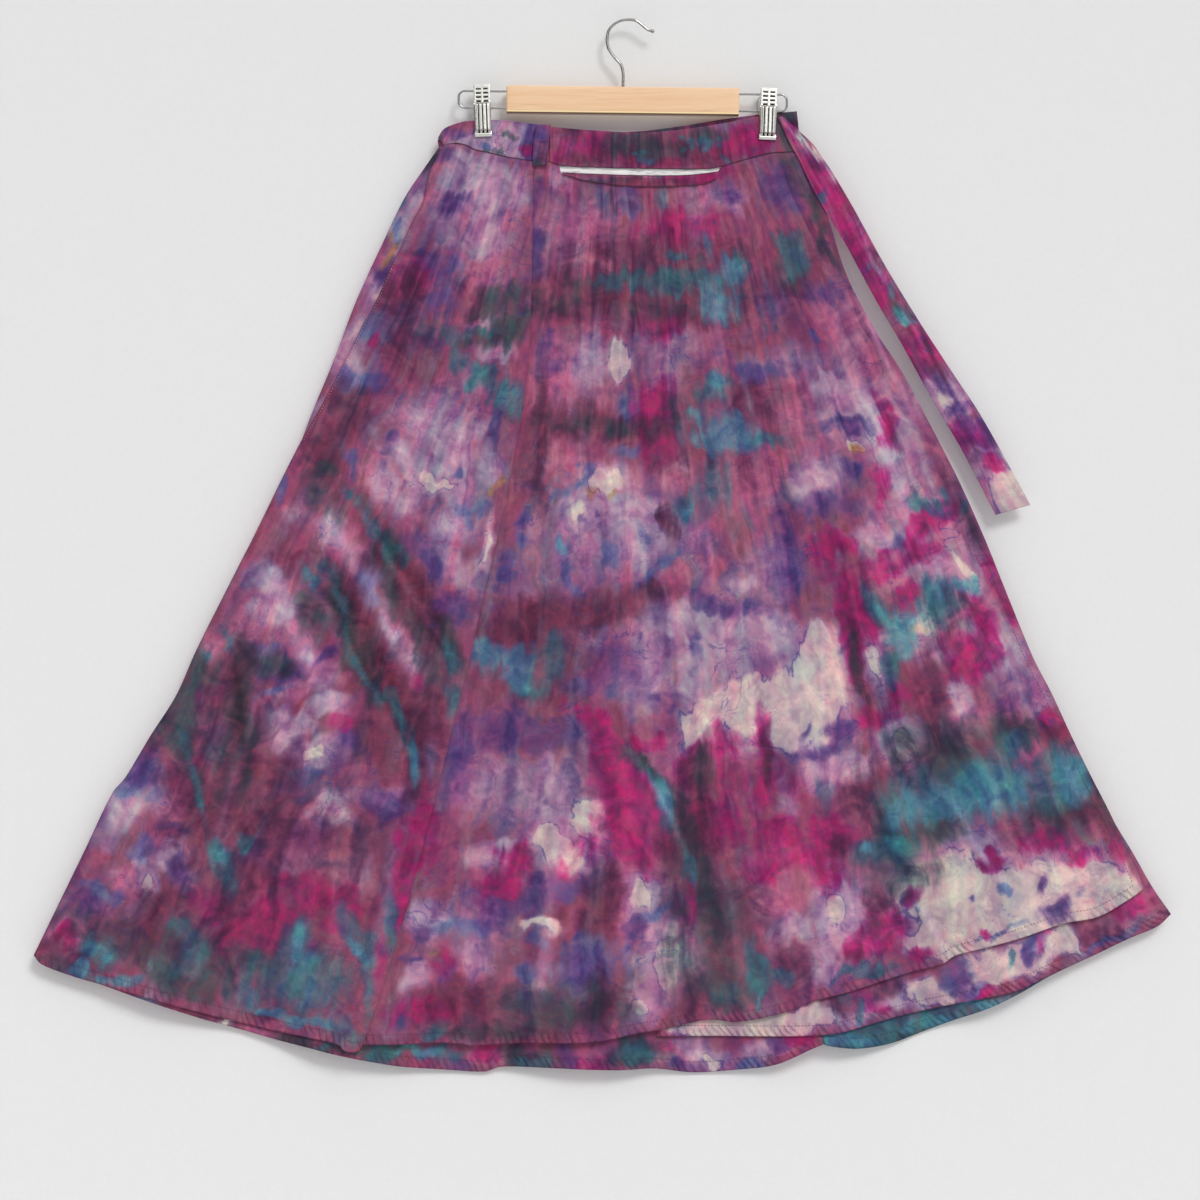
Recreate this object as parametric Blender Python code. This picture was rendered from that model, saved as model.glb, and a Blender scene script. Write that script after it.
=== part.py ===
"""A long wrap skirt of tie-dyed cotton, held flat by the two clips of a wooden hanger.

The inside of the hook's bend rests on its support at the origin. +X is the viewer's right, +Z is up,
and the skirt's front faces -Y. Lengths are in metres. Outlines are short tables of stations, each
with its x and its drop, which is how far it lies below the support.
"""

import math
from collections import namedtuple

import bmesh
import bpy
from mathutils import Vector

Station = namedtuple("Station", "x drop")
Layer = namedtuple("Layer", "waist settled waist_left settled_left")
Fold = namedtuple("Fold", "top_x hem_x start depth width")
Clip = namedtuple("Clip", "name x top_drop tilt grip")

# Cloth
WALL = 0.0012
SEAM_GAP = 0.0007
LAP = 0.010
WAIST_DROP = 0.150
SETTLED_DROP = 0.320
HEM_DROP = 1.080

# Hanger
BAR_LENGTH = 0.2440
BAR_HEIGHT = 0.0290
BAR_DEPTH = 0.0130
BAR_EDGE = 0.0018
BAR_CENTRE_X = -0.0065
BAR_CENTRE_DROP = 0.0842
BAR_TILT = math.radians(0.68)
TOUCH_GAP = 0.0003
LOOP_WIRE = 0.0024
LOOP_REACH = 0.0515
LOOP_SPACING = 0.0177
LOOP_CORNER = 0.0065
LOOP_CORNER_STEPS = 4
HOOK_WIRE = 0.0030
HOOK_BEND = 0.0220
HOOK_X = -0.0015
STEM_X = -0.0063
HOOK_START_DEGREES = 222
HOOK_END_DEGREES = 49
HOOK_STEPS = 34
HOOK_NECK = (
    Station(STEM_X, 0.0560),
    Station(-0.0082, 0.0465),
)
HOOK_TIP = (
    Station(0.0200, 0.0088),
    Station(0.0250, 0.0106),
)
CLIP_WIDTH = 0.0172
CLIP_HEIGHT = 0.0545
CLIP_PLATE_HEIGHT = 0.0195
CLIP_SHEET = 0.0011
CLIP_BULGE = 0.0062
CLIP_LIP = 0.0024
CLIP_LIP_HEIGHT = 0.0060
CLIP_STEP = 0.0010
CLIP_SLOPE = 0.0022
CLIP_FLOOR_RISE = 0.0050
CLIP_PLATE_PLAY = 0.0004

# Depth of each layer's mid-surface, from the front (-) to the back (+). The left columns hold where
# nothing lies between the side gore and the back.
LAYERS = {
    "over": Layer(-0.0040, -0.0058, -0.0008, -0.0014),
    "front": Layer(-0.0024, -0.0032, -0.0008, -0.0014),
    "lining": Layer(-0.0008, -0.0008, -0.0008, -0.0008),
    "under": Layer(0.0008, 0.0006, 0.0008, 0.0006),
    "back": Layer(0.0024, 0.0040, 0.0008, 0.0014),
}
LEFT_FADE = 0.030
LEFT_FADE_INSET = 0.013

# The largest folds, from left to right: a negative depth is a ridge towards the viewer.
FOLDS = (
    Fold(top_x=-0.180, hem_x=-0.520, start=0.45, depth=-0.0070, width=0.050),
    Fold(top_x=-0.150, hem_x=-0.405, start=0.40, depth=0.0080, width=0.055),
    Fold(top_x=-0.115, hem_x=-0.300, start=0.30, depth=-0.0080, width=0.055),
    Fold(top_x=-0.070, hem_x=-0.170, start=0.40, depth=0.0070, width=0.060),
    Fold(top_x=-0.020, hem_x=-0.040, start=0.45, depth=-0.0075, width=0.060),
    Fold(top_x=0.030, hem_x=0.080, start=0.35, depth=0.0075, width=0.055),
    Fold(top_x=0.075, hem_x=0.200, start=0.30, depth=-0.0085, width=0.055),
    Fold(top_x=0.115, hem_x=0.310, start=0.40, depth=0.0080, width=0.050),
    Fold(top_x=0.150, hem_x=0.420, start=0.25, depth=-0.0090, width=0.050),
)

# Edges of the skirt
SKIRT_LEFT = (
    Station(-0.1995, 0.1335),
    Station(-0.2352, 0.1848),
    Station(-0.2552, 0.2258),
    Station(-0.3108, 0.3581),
    Station(-0.3602, 0.4820),
    Station(-0.4274, 0.6069),
    Station(-0.4757, 0.7088),
    Station(-0.5418, 0.8096),
    Station(-0.6248, 0.9807),
)
ROLLED_LEFT = (
    Station(-0.1947, 0.1323),
    Station(-0.2100, 0.1617),
    Station(-0.2289, 0.2142),
    Station(-0.2793, 0.3192),
    Station(-0.3056, 0.3700),
    Station(-0.3497, 0.4515),
    *SKIRT_LEFT[5:],
)
SIDE_SEAM = (
    Station(-0.1003, 0.1476),
    Station(-0.1040, 0.3350),
    Station(-0.1134, 0.4190),
    Station(-0.1365, 0.5387),
    Station(-0.1659, 0.6678),
    Station(-0.1985, 0.7991),
    Station(-0.2373, 0.9471),
    Station(-0.2804, 1.0770),
)
WRAP_EDGE = (
    Station(0.1796, 0.1376),
    Station(0.2069, 0.2016),
    Station(0.2279, 0.2657),
    Station(0.2583, 0.3255),
    Station(0.2856, 0.3675),
    Station(0.3455, 0.4820),
    Station(0.3990, 0.6080),
    Station(0.4442, 0.7077),
    Station(0.5040, 0.8306),
    Station(0.5403, 0.9108),
)
UNDER_EDGE = (
    Station(0.1770, 0.1360),
    Station(0.2249, 0.2657),
    Station(0.2826, 0.3675),
    Station(0.3425, 0.4820),
    Station(0.3960, 0.6080),
    Station(0.4412, 0.7077),
    Station(0.5145, 0.8495),
    Station(0.5691, 0.9377),
)
UNDER_INNER_EDGE = (
    Station(-0.0305, 0.1544),
    Station(0.0300, 1.0664),
)
BACK_SEAM = (
    Station(0.0640, 0.1517),
    Station(0.1220, 0.5200),
    Station(0.2040, 1.0740),
)
BACK_EDGE = (
    Station(0.1795, 0.1330),
    Station(0.2239, 0.2657),
    Station(0.2816, 0.3675),
    Station(0.3415, 0.4820),
    Station(0.3950, 0.6080),
    Station(0.4402, 0.7077),
    Station(0.5130, 0.8495),
    Station(0.5640, 0.9350),
)

# Hems
SIDE_HEM = (
    Station(-0.6248, 0.9807),
    Station(-0.5838, 1.0028),
    Station(-0.4851, 1.0311),
    Station(-0.3717, 1.0605),
    Station(-0.3035, 1.0742),
    Station(-0.2888, 1.0810),
    Station(-0.2804, 1.0770),
)
CENTRE_HEM = (
    Station(-0.2904, 1.0735),
    Station(-0.1943, 1.0731),
    Station(-0.1670, 1.0763),
    Station(-0.0557, 1.0721),
    Station(0.0368, 1.0584),
    Station(0.0830, 1.0490),
    Station(0.1134, 1.0510),
    Station(0.1900, 1.0290),
    Station(0.2940, 0.9996),
    Station(0.3728, 0.9723),
    Station(0.4914, 0.9404),
    Station(0.5403, 0.9108),
)
UNDER_HEM = (
    Station(0.0300, 1.0664),
    Station(0.1533, 1.0658),
    Station(0.2289, 1.0600),
    Station(0.3329, 1.0343),
    Station(0.4064, 1.0175),
    Station(0.5240, 0.9639),
    Station(0.5691, 0.9377),
)
BACK_LEFT_HEM = (
    Station(-0.6248, 0.9807),
    Station(-0.5166, 1.0248),
    Station(-0.4053, 1.0605),
    Station(-0.3003, 1.0868),
    Station(-0.1512, 1.1043),
    Station(-0.1355, 1.0990),
    Station(-0.0126, 1.1015),
    Station(0.0672, 1.1052),
    Station(0.1533, 1.0962),
    Station(0.2040, 1.0740),
)
BACK_RIGHT_HEM = (
    Station(0.2040, 1.0740),
    Station(0.2405, 1.0791),
    Station(0.3108, 1.0616),
    Station(0.4116, 1.0196),
    Station(0.4900, 0.9800),
    Station(0.5640, 0.9350),
)

# Waistband
FRONT_BAND_TOP = (
    Station(-0.2010, 0.1240),
    Station(-0.1927, 0.1124),
    Station(-0.1754, 0.1061),
    Station(-0.1407, 0.1040),
    Station(-0.0935, 0.1092),
    Station(-0.0305, 0.1155),
    Station(0.0116, 0.1176),
    Station(0.0536, 0.1145),
    Station(0.0956, 0.1082),
    Station(0.1344, 0.1008),
    Station(0.1575, 0.0998),
)
WAIST_SEAM = (
    Station(-0.1950, 0.1310),
    Station(-0.1796, 0.1286),
    Station(-0.1628, 0.1349),
    Station(-0.1323, 0.1423),
    Station(-0.1003, 0.1476),
    Station(-0.0714, 0.1523),
    Station(0.0116, 0.1554),
    Station(0.0872, 0.1554),
    Station(0.1276, 0.1443),
    Station(0.1476, 0.1393),
    Station(0.1796, 0.1376),
)
BACK_BAND_TOP = (
    Station(-0.2010, 0.1250),
    Station(-0.1754, 0.1075),
    Station(-0.1407, 0.1056),
    Station(-0.0935, 0.1104),
    Station(-0.0305, 0.1166),
    Station(0.0116, 0.1155),
    Station(0.0536, 0.1103),
    Station(0.0956, 0.1035),
    Station(0.1344, 0.0982),
    Station(0.1764, 0.0945),
)
BACK_BAND_FOOT = (
    Station(-0.2000, 0.1320),
    Station(-0.1628, 0.1349),
    Station(-0.1003, 0.1476),
    Station(-0.0305, 0.1520),
    Station(0.0640, 0.1515),
    Station(0.1276, 0.1430),
    Station(0.1800, 0.1323),
)
BAND_LEFT_X = -0.2005
BAND_FOOT_LEFT_X = -0.1945
BAND_JOINT_X = -0.0840
BAND_RIGHT_X = 0.1575
BAND_RIGHT_SLANT = 0.0200
UNDER_BAND_LEFT_X = -0.0305
UNDER_BAND_INSET = 0.0015
UNDER_BAND_DROP = 0.0030

# Slot pocket
POCKET_CORNER = 0.0030
POCKET_MOUTH = (
    Station(-0.0704, 0.1596),
    Station(0.0116, 0.1628),
    Station(0.0930, 0.1632),
)
WELT_FOOT = (
    Station(-0.0680, 0.1632),
    Station(-0.0494, 0.1674),
    Station(-0.0074, 0.1733),
    Station(0.0368, 0.1743),
    Station(0.0773, 0.1720),
    Station(0.0900, 0.1664),
)
LINING_MARGIN = 0.006
LINING_TOP_DROP = 0.1470
LINING_FOOT_DROP = 0.1760

# Belt loop
LOOP_LEFT = (
    Station(-0.0970, 0.1096),
    Station(-0.1000, 0.1300),
    Station(-0.1012, 0.1528),
)
LOOP_WIDTH = 0.0152
LOOP_BOW = 0.0012
LOOP_CLEARANCE = 0.0032

# Tie
TIE_INNER = (
    Station(0.1568, 0.1020),
    Station(0.1680, 0.1271),
    Station(0.1922, 0.1754),
    Station(0.2279, 0.2363),
    Station(0.2882, 0.3434),
    Station(0.3486, 0.4494),
    Station(0.3850, 0.5190),
)
TIE_OUTER = (
    Station(0.1610, 0.1005),
    Station(0.1948, 0.1323),
    Station(0.2279, 0.1838),
    Station(0.2699, 0.2594),
    Station(0.3066, 0.3192),
    Station(0.3665, 0.4100),
    Station(0.4211, 0.5082),
)
TIE_WALL = 0.0016
TIE_FRONT = -0.0043
TIE_SETTLED = -0.0020
TIE_CREASE = 0.0012
TIE_FREE_DROP = 0.260

EDGE_LIFT = 0.0040
EDGE_LIFT_SHARE = 0.12
EDGE_LIFT_END = 0.36
EDGE_LIFT_FADE = 0.10
FREE_EDGE_LIFT = 0.0015
FREE_EDGE_START = 0.88

CURVE_SAMPLES = 400


def clear_scene():
    """Remove every object of the opened file."""
    for item in list(bpy.data.objects):
        bpy.data.objects.remove(item)


def make_material(name, colour, roughness, metallic=0.0):
    """Return a Principled material for one sub-part."""
    material = bpy.data.materials.new(name)
    material.use_nodes = True
    shader = material.node_tree.nodes["Principled BSDF"]
    shader.inputs["Base Color"].default_value = (*colour, 1.0)
    shader.inputs["Roughness"].default_value = roughness
    shader.inputs["Metallic"].default_value = metallic
    return material


def add_object(name, mesh, material):
    """Link a mesh as a named object with its own material."""
    mesh.materials.append(material)
    item = bpy.data.objects.new(name, mesh)
    bpy.context.scene.collection.objects.link(item)
    return item


def mix(start, end, share):
    """Return the value that lies the given share of the way from start to end."""
    return start + (end - start) * share


def smooth_step(start, end, value):
    """Rise smoothly from 0 at start to 1 at end."""
    share = min(1.0, max(0.0, (value - start) / (end - start)))
    return share * share * (3.0 - 2.0 * share)


def shifted(stations, across=0.0, down=0.0):
    """Return the stations moved sideways and down."""
    return tuple(Station(row.x + across, row.drop + down) for row in stations)


def curve_through(stations):
    """Return a function from 0..1 to a point on the smooth curve through the stations."""
    points = [Vector((row.x, row.drop)) for row in stations]
    steps = [(after - before).length for before, after in zip(points, points[1:])]
    total = sum(steps)

    def slope(index):
        if index == 0:
            return (points[1] - points[0]) / steps[0]
        if index == len(points) - 1:
            return (points[-1] - points[-2]) / steps[-1]
        return (points[index + 1] - points[index - 1]) / (steps[index] + steps[index - 1])

    def point_at(share):
        run = share * total
        index = 0
        while index < len(steps) - 1 and run > steps[index]:
            run -= steps[index]
            index += 1
        step = steps[index]
        part = min(1.0, run / step)
        pull = part * (1.0 - part)
        bow = slope(index) * (step * pull * (1.0 - part)) - slope(index + 1) * (step * pull * part)
        ease = part * part * (3.0 - 2.0 * part)
        return points[index].lerp(points[index + 1], ease) + bow

    return point_at


def cut_at(stations, start_x, end_x, samples=9):
    """Return stations on the smooth curve between two x values, read from left to right."""
    curve = curve_through(stations)
    fine = [curve(index / CURVE_SAMPLES) for index in range(CURVE_SAMPLES + 1)]

    def drop_at(x):
        for before, after in zip(fine, fine[1:]):
            if before.x <= x <= after.x:
                return mix(before.y, after.y, (x - before.x) / (after.x - before.x))
        return fine[0].y if x < fine[0].x else fine[-1].y

    marks = (mix(start_x, end_x, index / (samples - 1)) for index in range(samples))
    return tuple(Station(x, drop_at(x)) for x in marks)


def seam_x(drop):
    """Return the x of the line where the side gore laps over the centre gore."""
    rows = SIDE_SEAM
    for above, below in zip(rows, rows[1:]):
        if drop <= below.drop:
            share = max(0.0, (drop - above.drop) / (below.drop - above.drop))
            return mix(above.x, below.x, share)
    return rows[-1].x


def layer_depth(name, x, drop):
    """Return how far back a layer's mid-surface lies, without the folds."""
    layer = LAYERS[name]
    fall = smooth_step(WAIST_DROP, SETTLED_DROP, drop)
    middle = mix(layer.waist, layer.settled, fall)
    left = mix(layer.waist_left, layer.settled_left, fall)
    edge = seam_x(drop) - LEFT_FADE_INSET
    return mix(left, middle, smooth_step(edge - LEFT_FADE, edge, x))


def fold_depth(x, drop):
    """Return how far the large folds push every layer back, or forward where negative."""
    fall = min(1.0, max(0.0, (drop - WAIST_DROP) / (HEM_DROP - WAIST_DROP)))
    depth = 0.0
    for fold in FOLDS:
        line = mix(fold.top_x, fold.hem_x, fall)
        reach = fold.width * mix(0.45, 1.0, fall)
        depth += fold.depth * smooth_step(fold.start, HEM_DROP, drop) * math.exp(-(((x - line) / reach) ** 2))
    return depth


def no_lift(across, down, drop):
    """Leave a panel on its layer."""
    return 0.0


def side_gore_lift(across, down, drop):
    """Roll the side gore's upper left edge towards the viewer."""
    near_edge = 1.0 - smooth_step(0.0, EDGE_LIFT_SHARE, across)
    return -EDGE_LIFT * near_edge * (1.0 - smooth_step(EDGE_LIFT_END, EDGE_LIFT_END + EDGE_LIFT_FADE, drop))


def wrap_edge_lift(across, down, drop):
    """Ease the outer wrap's free edge off the under wrap."""
    near_edge = smooth_step(FREE_EDGE_START, 1.0, across)
    return -FREE_EDGE_LIFT * near_edge * smooth_step(WAIST_DROP, SETTLED_DROP, drop)


def even_marks(count, edge_share=0.0):
    """Return count + 1 rising marks from 0 to 1, the outer ones set in by edge_share."""
    if not edge_share:
        return [index / count for index in range(count + 1)]
    inner = count - 2
    middle = [mix(edge_share, 1.0 - edge_share, index / inner) for index in range(inner + 1)]
    return [0.0, *middle, 1.0]


def wall_from_grid(name, columns, rows, place, wall, material):
    """Build a closed wall: a grid whose points are placed by place(across, down), thickened in y."""
    mesh_maker = bmesh.new()
    bmesh.ops.create_grid(
        mesh_maker, x_segments=len(columns) - 1, y_segments=len(rows) - 1, size=0.5
    )
    for vert in mesh_maker.verts:
        column = round((vert.co.x + 0.5) * (len(columns) - 1))
        row = round((0.5 - vert.co.y) * (len(rows) - 1))
        vert.co = place(columns[column], rows[row]) + Vector((0.0, wall / 2.0, 0.0))
    back = bmesh.ops.extrude_face_region(mesh_maker, geom=mesh_maker.faces[:], use_keep_orig=True)
    front_verts = [part for part in back["geom"] if isinstance(part, bmesh.types.BMVert)]
    bmesh.ops.translate(mesh_maker, verts=front_verts, vec=(0.0, -wall, 0.0))
    bmesh.ops.recalc_face_normals(mesh_maker, faces=mesh_maker.faces[:])
    mesh = bpy.data.meshes.new(name)
    mesh_maker.to_mesh(mesh)
    mesh_maker.free()
    mesh.shade_smooth()
    mesh.set_sharp_from_angle(angle=math.radians(50.0))
    return add_object(name, mesh, material)


def patch(top, foot, left, right):
    """Return a function from (across, down) to (x, drop) on the sheet between four edges."""
    top_at, foot_at = curve_through(top), curve_through(foot)
    left_at, right_at = curve_through(left), curve_through(right)
    corners = (top_at(0.0), top_at(1.0), foot_at(0.0), foot_at(1.0))

    def point_at(across, down):
        rails = mix(top_at(across), foot_at(across), down)
        sides = mix(left_at(down), right_at(down), across)
        flat_top = mix(corners[0], corners[1], across)
        flat_foot = mix(corners[2], corners[3], across)
        return rails + sides - mix(flat_top, flat_foot, down)

    return point_at


def build_panel(name, layer, edges, grid, material, lift=no_lift, edge_share=0.0, wall=WALL):
    """Build one piece of cloth on its layer, from its four edges."""
    sheet = patch(*edges)

    def place(across, down):
        flat = sheet(across, down)
        depth = layer_depth(layer, flat.x, flat.y) + fold_depth(flat.x, flat.y)
        return Vector((flat.x, depth + lift(across, down, flat.y), -flat.y))

    columns, rows = grid
    return wall_from_grid(
        name, even_marks(columns, edge_share), even_marks(rows, edge_share / 2.0), place, wall, material
    )


def straight(start, end):
    """Return the edge that joins two stations."""
    return (start, end)


def centre_gore_top():
    """Return the centre gore's top edge, cut down along the pocket's mouth."""
    left = cut_at(WAIST_SEAM, SIDE_SEAM[0].x - LAP, POCKET_MOUTH[0].x - POCKET_CORNER, 4)
    right = cut_at(WAIST_SEAM, POCKET_MOUTH[-1].x + POCKET_CORNER, WRAP_EDGE[0].x, 5)
    return shifted(left, down=SEAM_GAP) + POCKET_MOUTH + shifted(right, down=SEAM_GAP)


def build_skirt(cloth):
    """Build the skirt's panels."""
    side_top = shifted(cut_at(WAIST_SEAM, WAIST_SEAM[0].x, SIDE_SEAM[0].x), down=SEAM_GAP)
    build_panel(
        "front_side_gore",
        "over",
        (side_top, SIDE_HEM, (side_top[0], *ROLLED_LEFT[1:]), (side_top[-1], *SIDE_SEAM[1:])),
        (15, 20),
        cloth["gore"],
        side_gore_lift,
        edge_share=0.05,
    )
    centre_top = centre_gore_top()
    hidden_seam = shifted(SIDE_SEAM[1:-1], across=-LAP)
    build_panel(
        "front_centre_gore",
        "front",
        (
            centre_top,
            CENTRE_HEM,
            (centre_top[0], *hidden_seam, CENTRE_HEM[0]),
            (centre_top[-1], *WRAP_EDGE[1:]),
        ),
        (25, 20),
        cloth["gore"],
        wrap_edge_lift,
        edge_share=0.03,
    )
    under_top = shifted(cut_at(WAIST_SEAM, UNDER_INNER_EDGE[0].x, UNDER_EDGE[0].x), down=SEAM_GAP)
    build_panel(
        "front_under_wrap",
        "under",
        (under_top, UNDER_HEM, (under_top[0], UNDER_INNER_EDGE[1]), (under_top[-1], *UNDER_EDGE[1:])),
        (18, 20),
        cloth["under"],
        edge_share=0.03,
    )
    build_back_gores(cloth["back"])


def build_back_gores(material):
    """Build the two back gores, side by side with a gap at their seam."""
    seam_left = shifted(BACK_SEAM, across=-TOUCH_GAP)
    seam_right = shifted(BACK_SEAM, across=TOUCH_GAP)
    foot = shifted(BACK_BAND_FOOT, down=SEAM_GAP)
    left_top = cut_at(foot, SKIRT_LEFT[0].x, seam_left[0].x)
    right_top = cut_at(foot, seam_right[0].x, BACK_EDGE[0].x)
    left_hem = (*BACK_LEFT_HEM[:-1], seam_left[-1])
    right_hem = (seam_right[-1], *BACK_RIGHT_HEM[1:])
    build_panel(
        "back_gore_left",
        "back",
        (left_top, left_hem, (left_top[0], *SKIRT_LEFT[1:]), (left_top[-1], *seam_left[1:])),
        (26, 20),
        material,
        edge_share=0.02,
    )
    build_panel(
        "back_gore_right",
        "back",
        (right_top, right_hem, (right_top[0], *seam_right[1:]), (right_top[-1], *BACK_EDGE[1:])),
        (12, 20),
        material,
    )


def build_band_section(name, layer, top, foot, grid, material):
    """Build a section of the waistband between its top edge and its foot."""
    edges = (top, foot, straight(top[0], foot[0]), straight(top[-1], foot[-1]))
    build_panel(name, layer, edges, grid, material)


def build_waistband(cloth):
    """Build the sections of the waistband."""
    side_top = cut_at(FRONT_BAND_TOP, BAND_LEFT_X, BAND_JOINT_X - TOUCH_GAP)
    side_foot = cut_at(WAIST_SEAM, BAND_FOOT_LEFT_X, BAND_JOINT_X - TOUCH_GAP)
    build_band_section("waistband_front_side", "front", side_top, side_foot, (10, 3), cloth["band"])
    centre_top = cut_at(FRONT_BAND_TOP, BAND_JOINT_X + TOUCH_GAP, BAND_RIGHT_X)
    centre_foot = cut_at(WAIST_SEAM, BAND_JOINT_X + TOUCH_GAP, BAND_RIGHT_X + BAND_RIGHT_SLANT)
    build_band_section("waistband_front_centre", "front", centre_top, centre_foot, (18, 3), cloth["band"])
    under_right = BAND_RIGHT_X - UNDER_BAND_INSET
    under_top = shifted(cut_at(FRONT_BAND_TOP, UNDER_BAND_LEFT_X, under_right), down=UNDER_BAND_DROP)
    under_foot = cut_at(WAIST_SEAM, UNDER_BAND_LEFT_X, under_right + BAND_RIGHT_SLANT)
    build_band_section("waistband_under", "under", under_top, under_foot, (12, 2), cloth["band"])
    build_band_section("waistband_back", "back", BACK_BAND_TOP, BACK_BAND_FOOT, (22, 3), cloth["band"])


def build_pocket(cloth):
    """Build the slot pocket's welt and the lining that shows in its mouth."""
    edges = (POCKET_MOUTH, WELT_FOOT, straight(POCKET_MOUTH[0], WELT_FOOT[0]),
             straight(POCKET_MOUTH[-1], WELT_FOOT[-1]))
    build_panel("pocket_welt", "over", edges, (12, 2), cloth["gore"])
    left, right = POCKET_MOUTH[0].x - LINING_MARGIN, POCKET_MOUTH[-1].x + LINING_MARGIN
    top = straight(Station(left, LINING_TOP_DROP), Station(right, LINING_TOP_DROP))
    foot = straight(Station(left, LINING_FOOT_DROP), Station(right, LINING_FOOT_DROP))
    edges = (top, foot, straight(top[0], foot[0]), straight(top[1], foot[1]))
    build_panel("pocket_lining", "lining", edges, (12, 2), cloth["lining"])


def build_belt_loop(cloth):
    """Build the belt loop, bowed a little off the waistband."""
    right = shifted(LOOP_LEFT, across=LOOP_WIDTH)
    edges = (straight(LOOP_LEFT[0], right[0]), straight(LOOP_LEFT[-1], right[-1]), LOOP_LEFT, right)

    def bow(across, down, drop):
        return -LOOP_CLEARANCE - LOOP_BOW * math.sin(math.pi * down)

    build_panel("belt_loop", "front", edges, (2, 6), cloth["band"], bow)


def build_tie(cloth):
    """Build the tie, a folded band with one lengthwise crease, slanting clear of the skirt."""
    edges = (straight(TIE_INNER[0], TIE_OUTER[0]), straight(TIE_INNER[-1], TIE_OUTER[-1]),
             TIE_INNER, TIE_OUTER)
    sheet = patch(*edges)

    def place(across, down):
        flat = sheet(across, down)
        depth = mix(TIE_FRONT, TIE_SETTLED, smooth_step(TIE_FREE_DROP, TIE_INNER[-1].drop, flat.y))
        crease = TIE_CREASE * math.sin(math.pi * across) * smooth_step(WAIST_DROP, TIE_FREE_DROP, flat.y)
        return Vector((flat.x, depth - crease, -flat.y))

    wall_from_grid("tie", even_marks(4), even_marks(20), place, TIE_WALL, cloth["band"])


def bar_point(across, up):
    """Return a point of the tilted bar, from its own centre."""
    turn_cos, turn_sin = math.cos(BAR_TILT), math.sin(BAR_TILT)
    return Vector((
        BAR_CENTRE_X + across * turn_cos + up * turn_sin,
        0.0,
        -BAR_CENTRE_DROP - across * turn_sin + up * turn_cos,
    ))


def build_bar(material):
    """Build the wooden bar with eased edges."""
    mesh_maker = bmesh.new()
    bmesh.ops.create_cube(mesh_maker, size=1.0)
    bmesh.ops.scale(mesh_maker, vec=(BAR_LENGTH, BAR_DEPTH, BAR_HEIGHT), verts=mesh_maker.verts[:])
    mesh = bpy.data.meshes.new("hanger_bar")
    mesh_maker.to_mesh(mesh)
    mesh_maker.free()
    bar = add_object("hanger_bar", mesh, material)
    bar.location = (BAR_CENTRE_X, 0.0, -BAR_CENTRE_DROP)
    bar.rotation_euler.y = BAR_TILT
    edge = bar.modifiers.new("eased edges", "BEVEL")
    edge.width = BAR_EDGE
    edge.segments = 2


def build_wire(name, points, wire, material):
    """Build a bent wire through the points, with flat ends."""
    curve = bpy.data.curves.new(name, "CURVE")
    curve.dimensions = "3D"
    curve.bevel_depth = wire / 2.0
    curve.bevel_resolution = 2
    curve.use_fill_caps = True
    spline = curve.splines.new("POLY")
    spline.points.add(len(points) - 1)
    for place, point in zip(spline.points, points):
        place.co = (*point, 1.0)
    curve.materials.append(material)
    item = bpy.data.objects.new(name, curve)
    bpy.context.scene.collection.objects.link(item)


def build_hook(material):
    """Build the hook: a stem, a short swan neck, a round bend and a tip that flares out."""
    centre = Vector((HOOK_X, HOOK_WIRE / 2.0 - HOOK_BEND))
    foot = bar_point(STEM_X - BAR_CENTRE_X, BAR_HEIGHT / 2.0 + TOUCH_GAP)
    guides = [Station(STEM_X, -foot.z), *HOOK_NECK]
    for degrees in range(HOOK_START_DEGREES, HOOK_END_DEGREES, -14):
        turn = math.radians(degrees)
        guides.append(
            Station(centre.x + HOOK_BEND * math.cos(turn), -centre.y - HOOK_BEND * math.sin(turn))
        )
    guides += HOOK_TIP
    path = curve_through(guides)
    points = [path(index / HOOK_STEPS) for index in range(HOOK_STEPS + 1)]
    build_wire("hanger_hook", [(point.x, 0.0, -point.y) for point in points], HOOK_WIRE, material)


def build_wire_loop(name, side, material):
    """Build one wire loop, which stands out of an end of the bar."""
    face = side * (BAR_LENGTH / 2.0 + TOUCH_GAP)
    tip = side * (BAR_LENGTH / 2.0 + LOOP_REACH - LOOP_WIRE / 2.0)
    points = []
    for half in (1.0, -1.0):
        corner = Vector((tip - side * LOOP_CORNER, half * (LOOP_SPACING / 2.0 - LOOP_CORNER)))
        arc = []
        for step in range(LOOP_CORNER_STEPS + 1):
            turn = math.radians(90.0 * step / LOOP_CORNER_STEPS)
            arc.append((
                corner.x + side * LOOP_CORNER * math.sin(turn),
                corner.y + half * LOOP_CORNER * math.cos(turn),
            ))
        points += arc if half > 0 else arc[::-1]
    ends = (face, LOOP_SPACING / 2.0), (face, -LOOP_SPACING / 2.0)
    outline = [ends[0], *points, ends[1]]
    build_wire(name, [bar_point(x, up) for x, up in outline], LOOP_WIRE, material)


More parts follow.
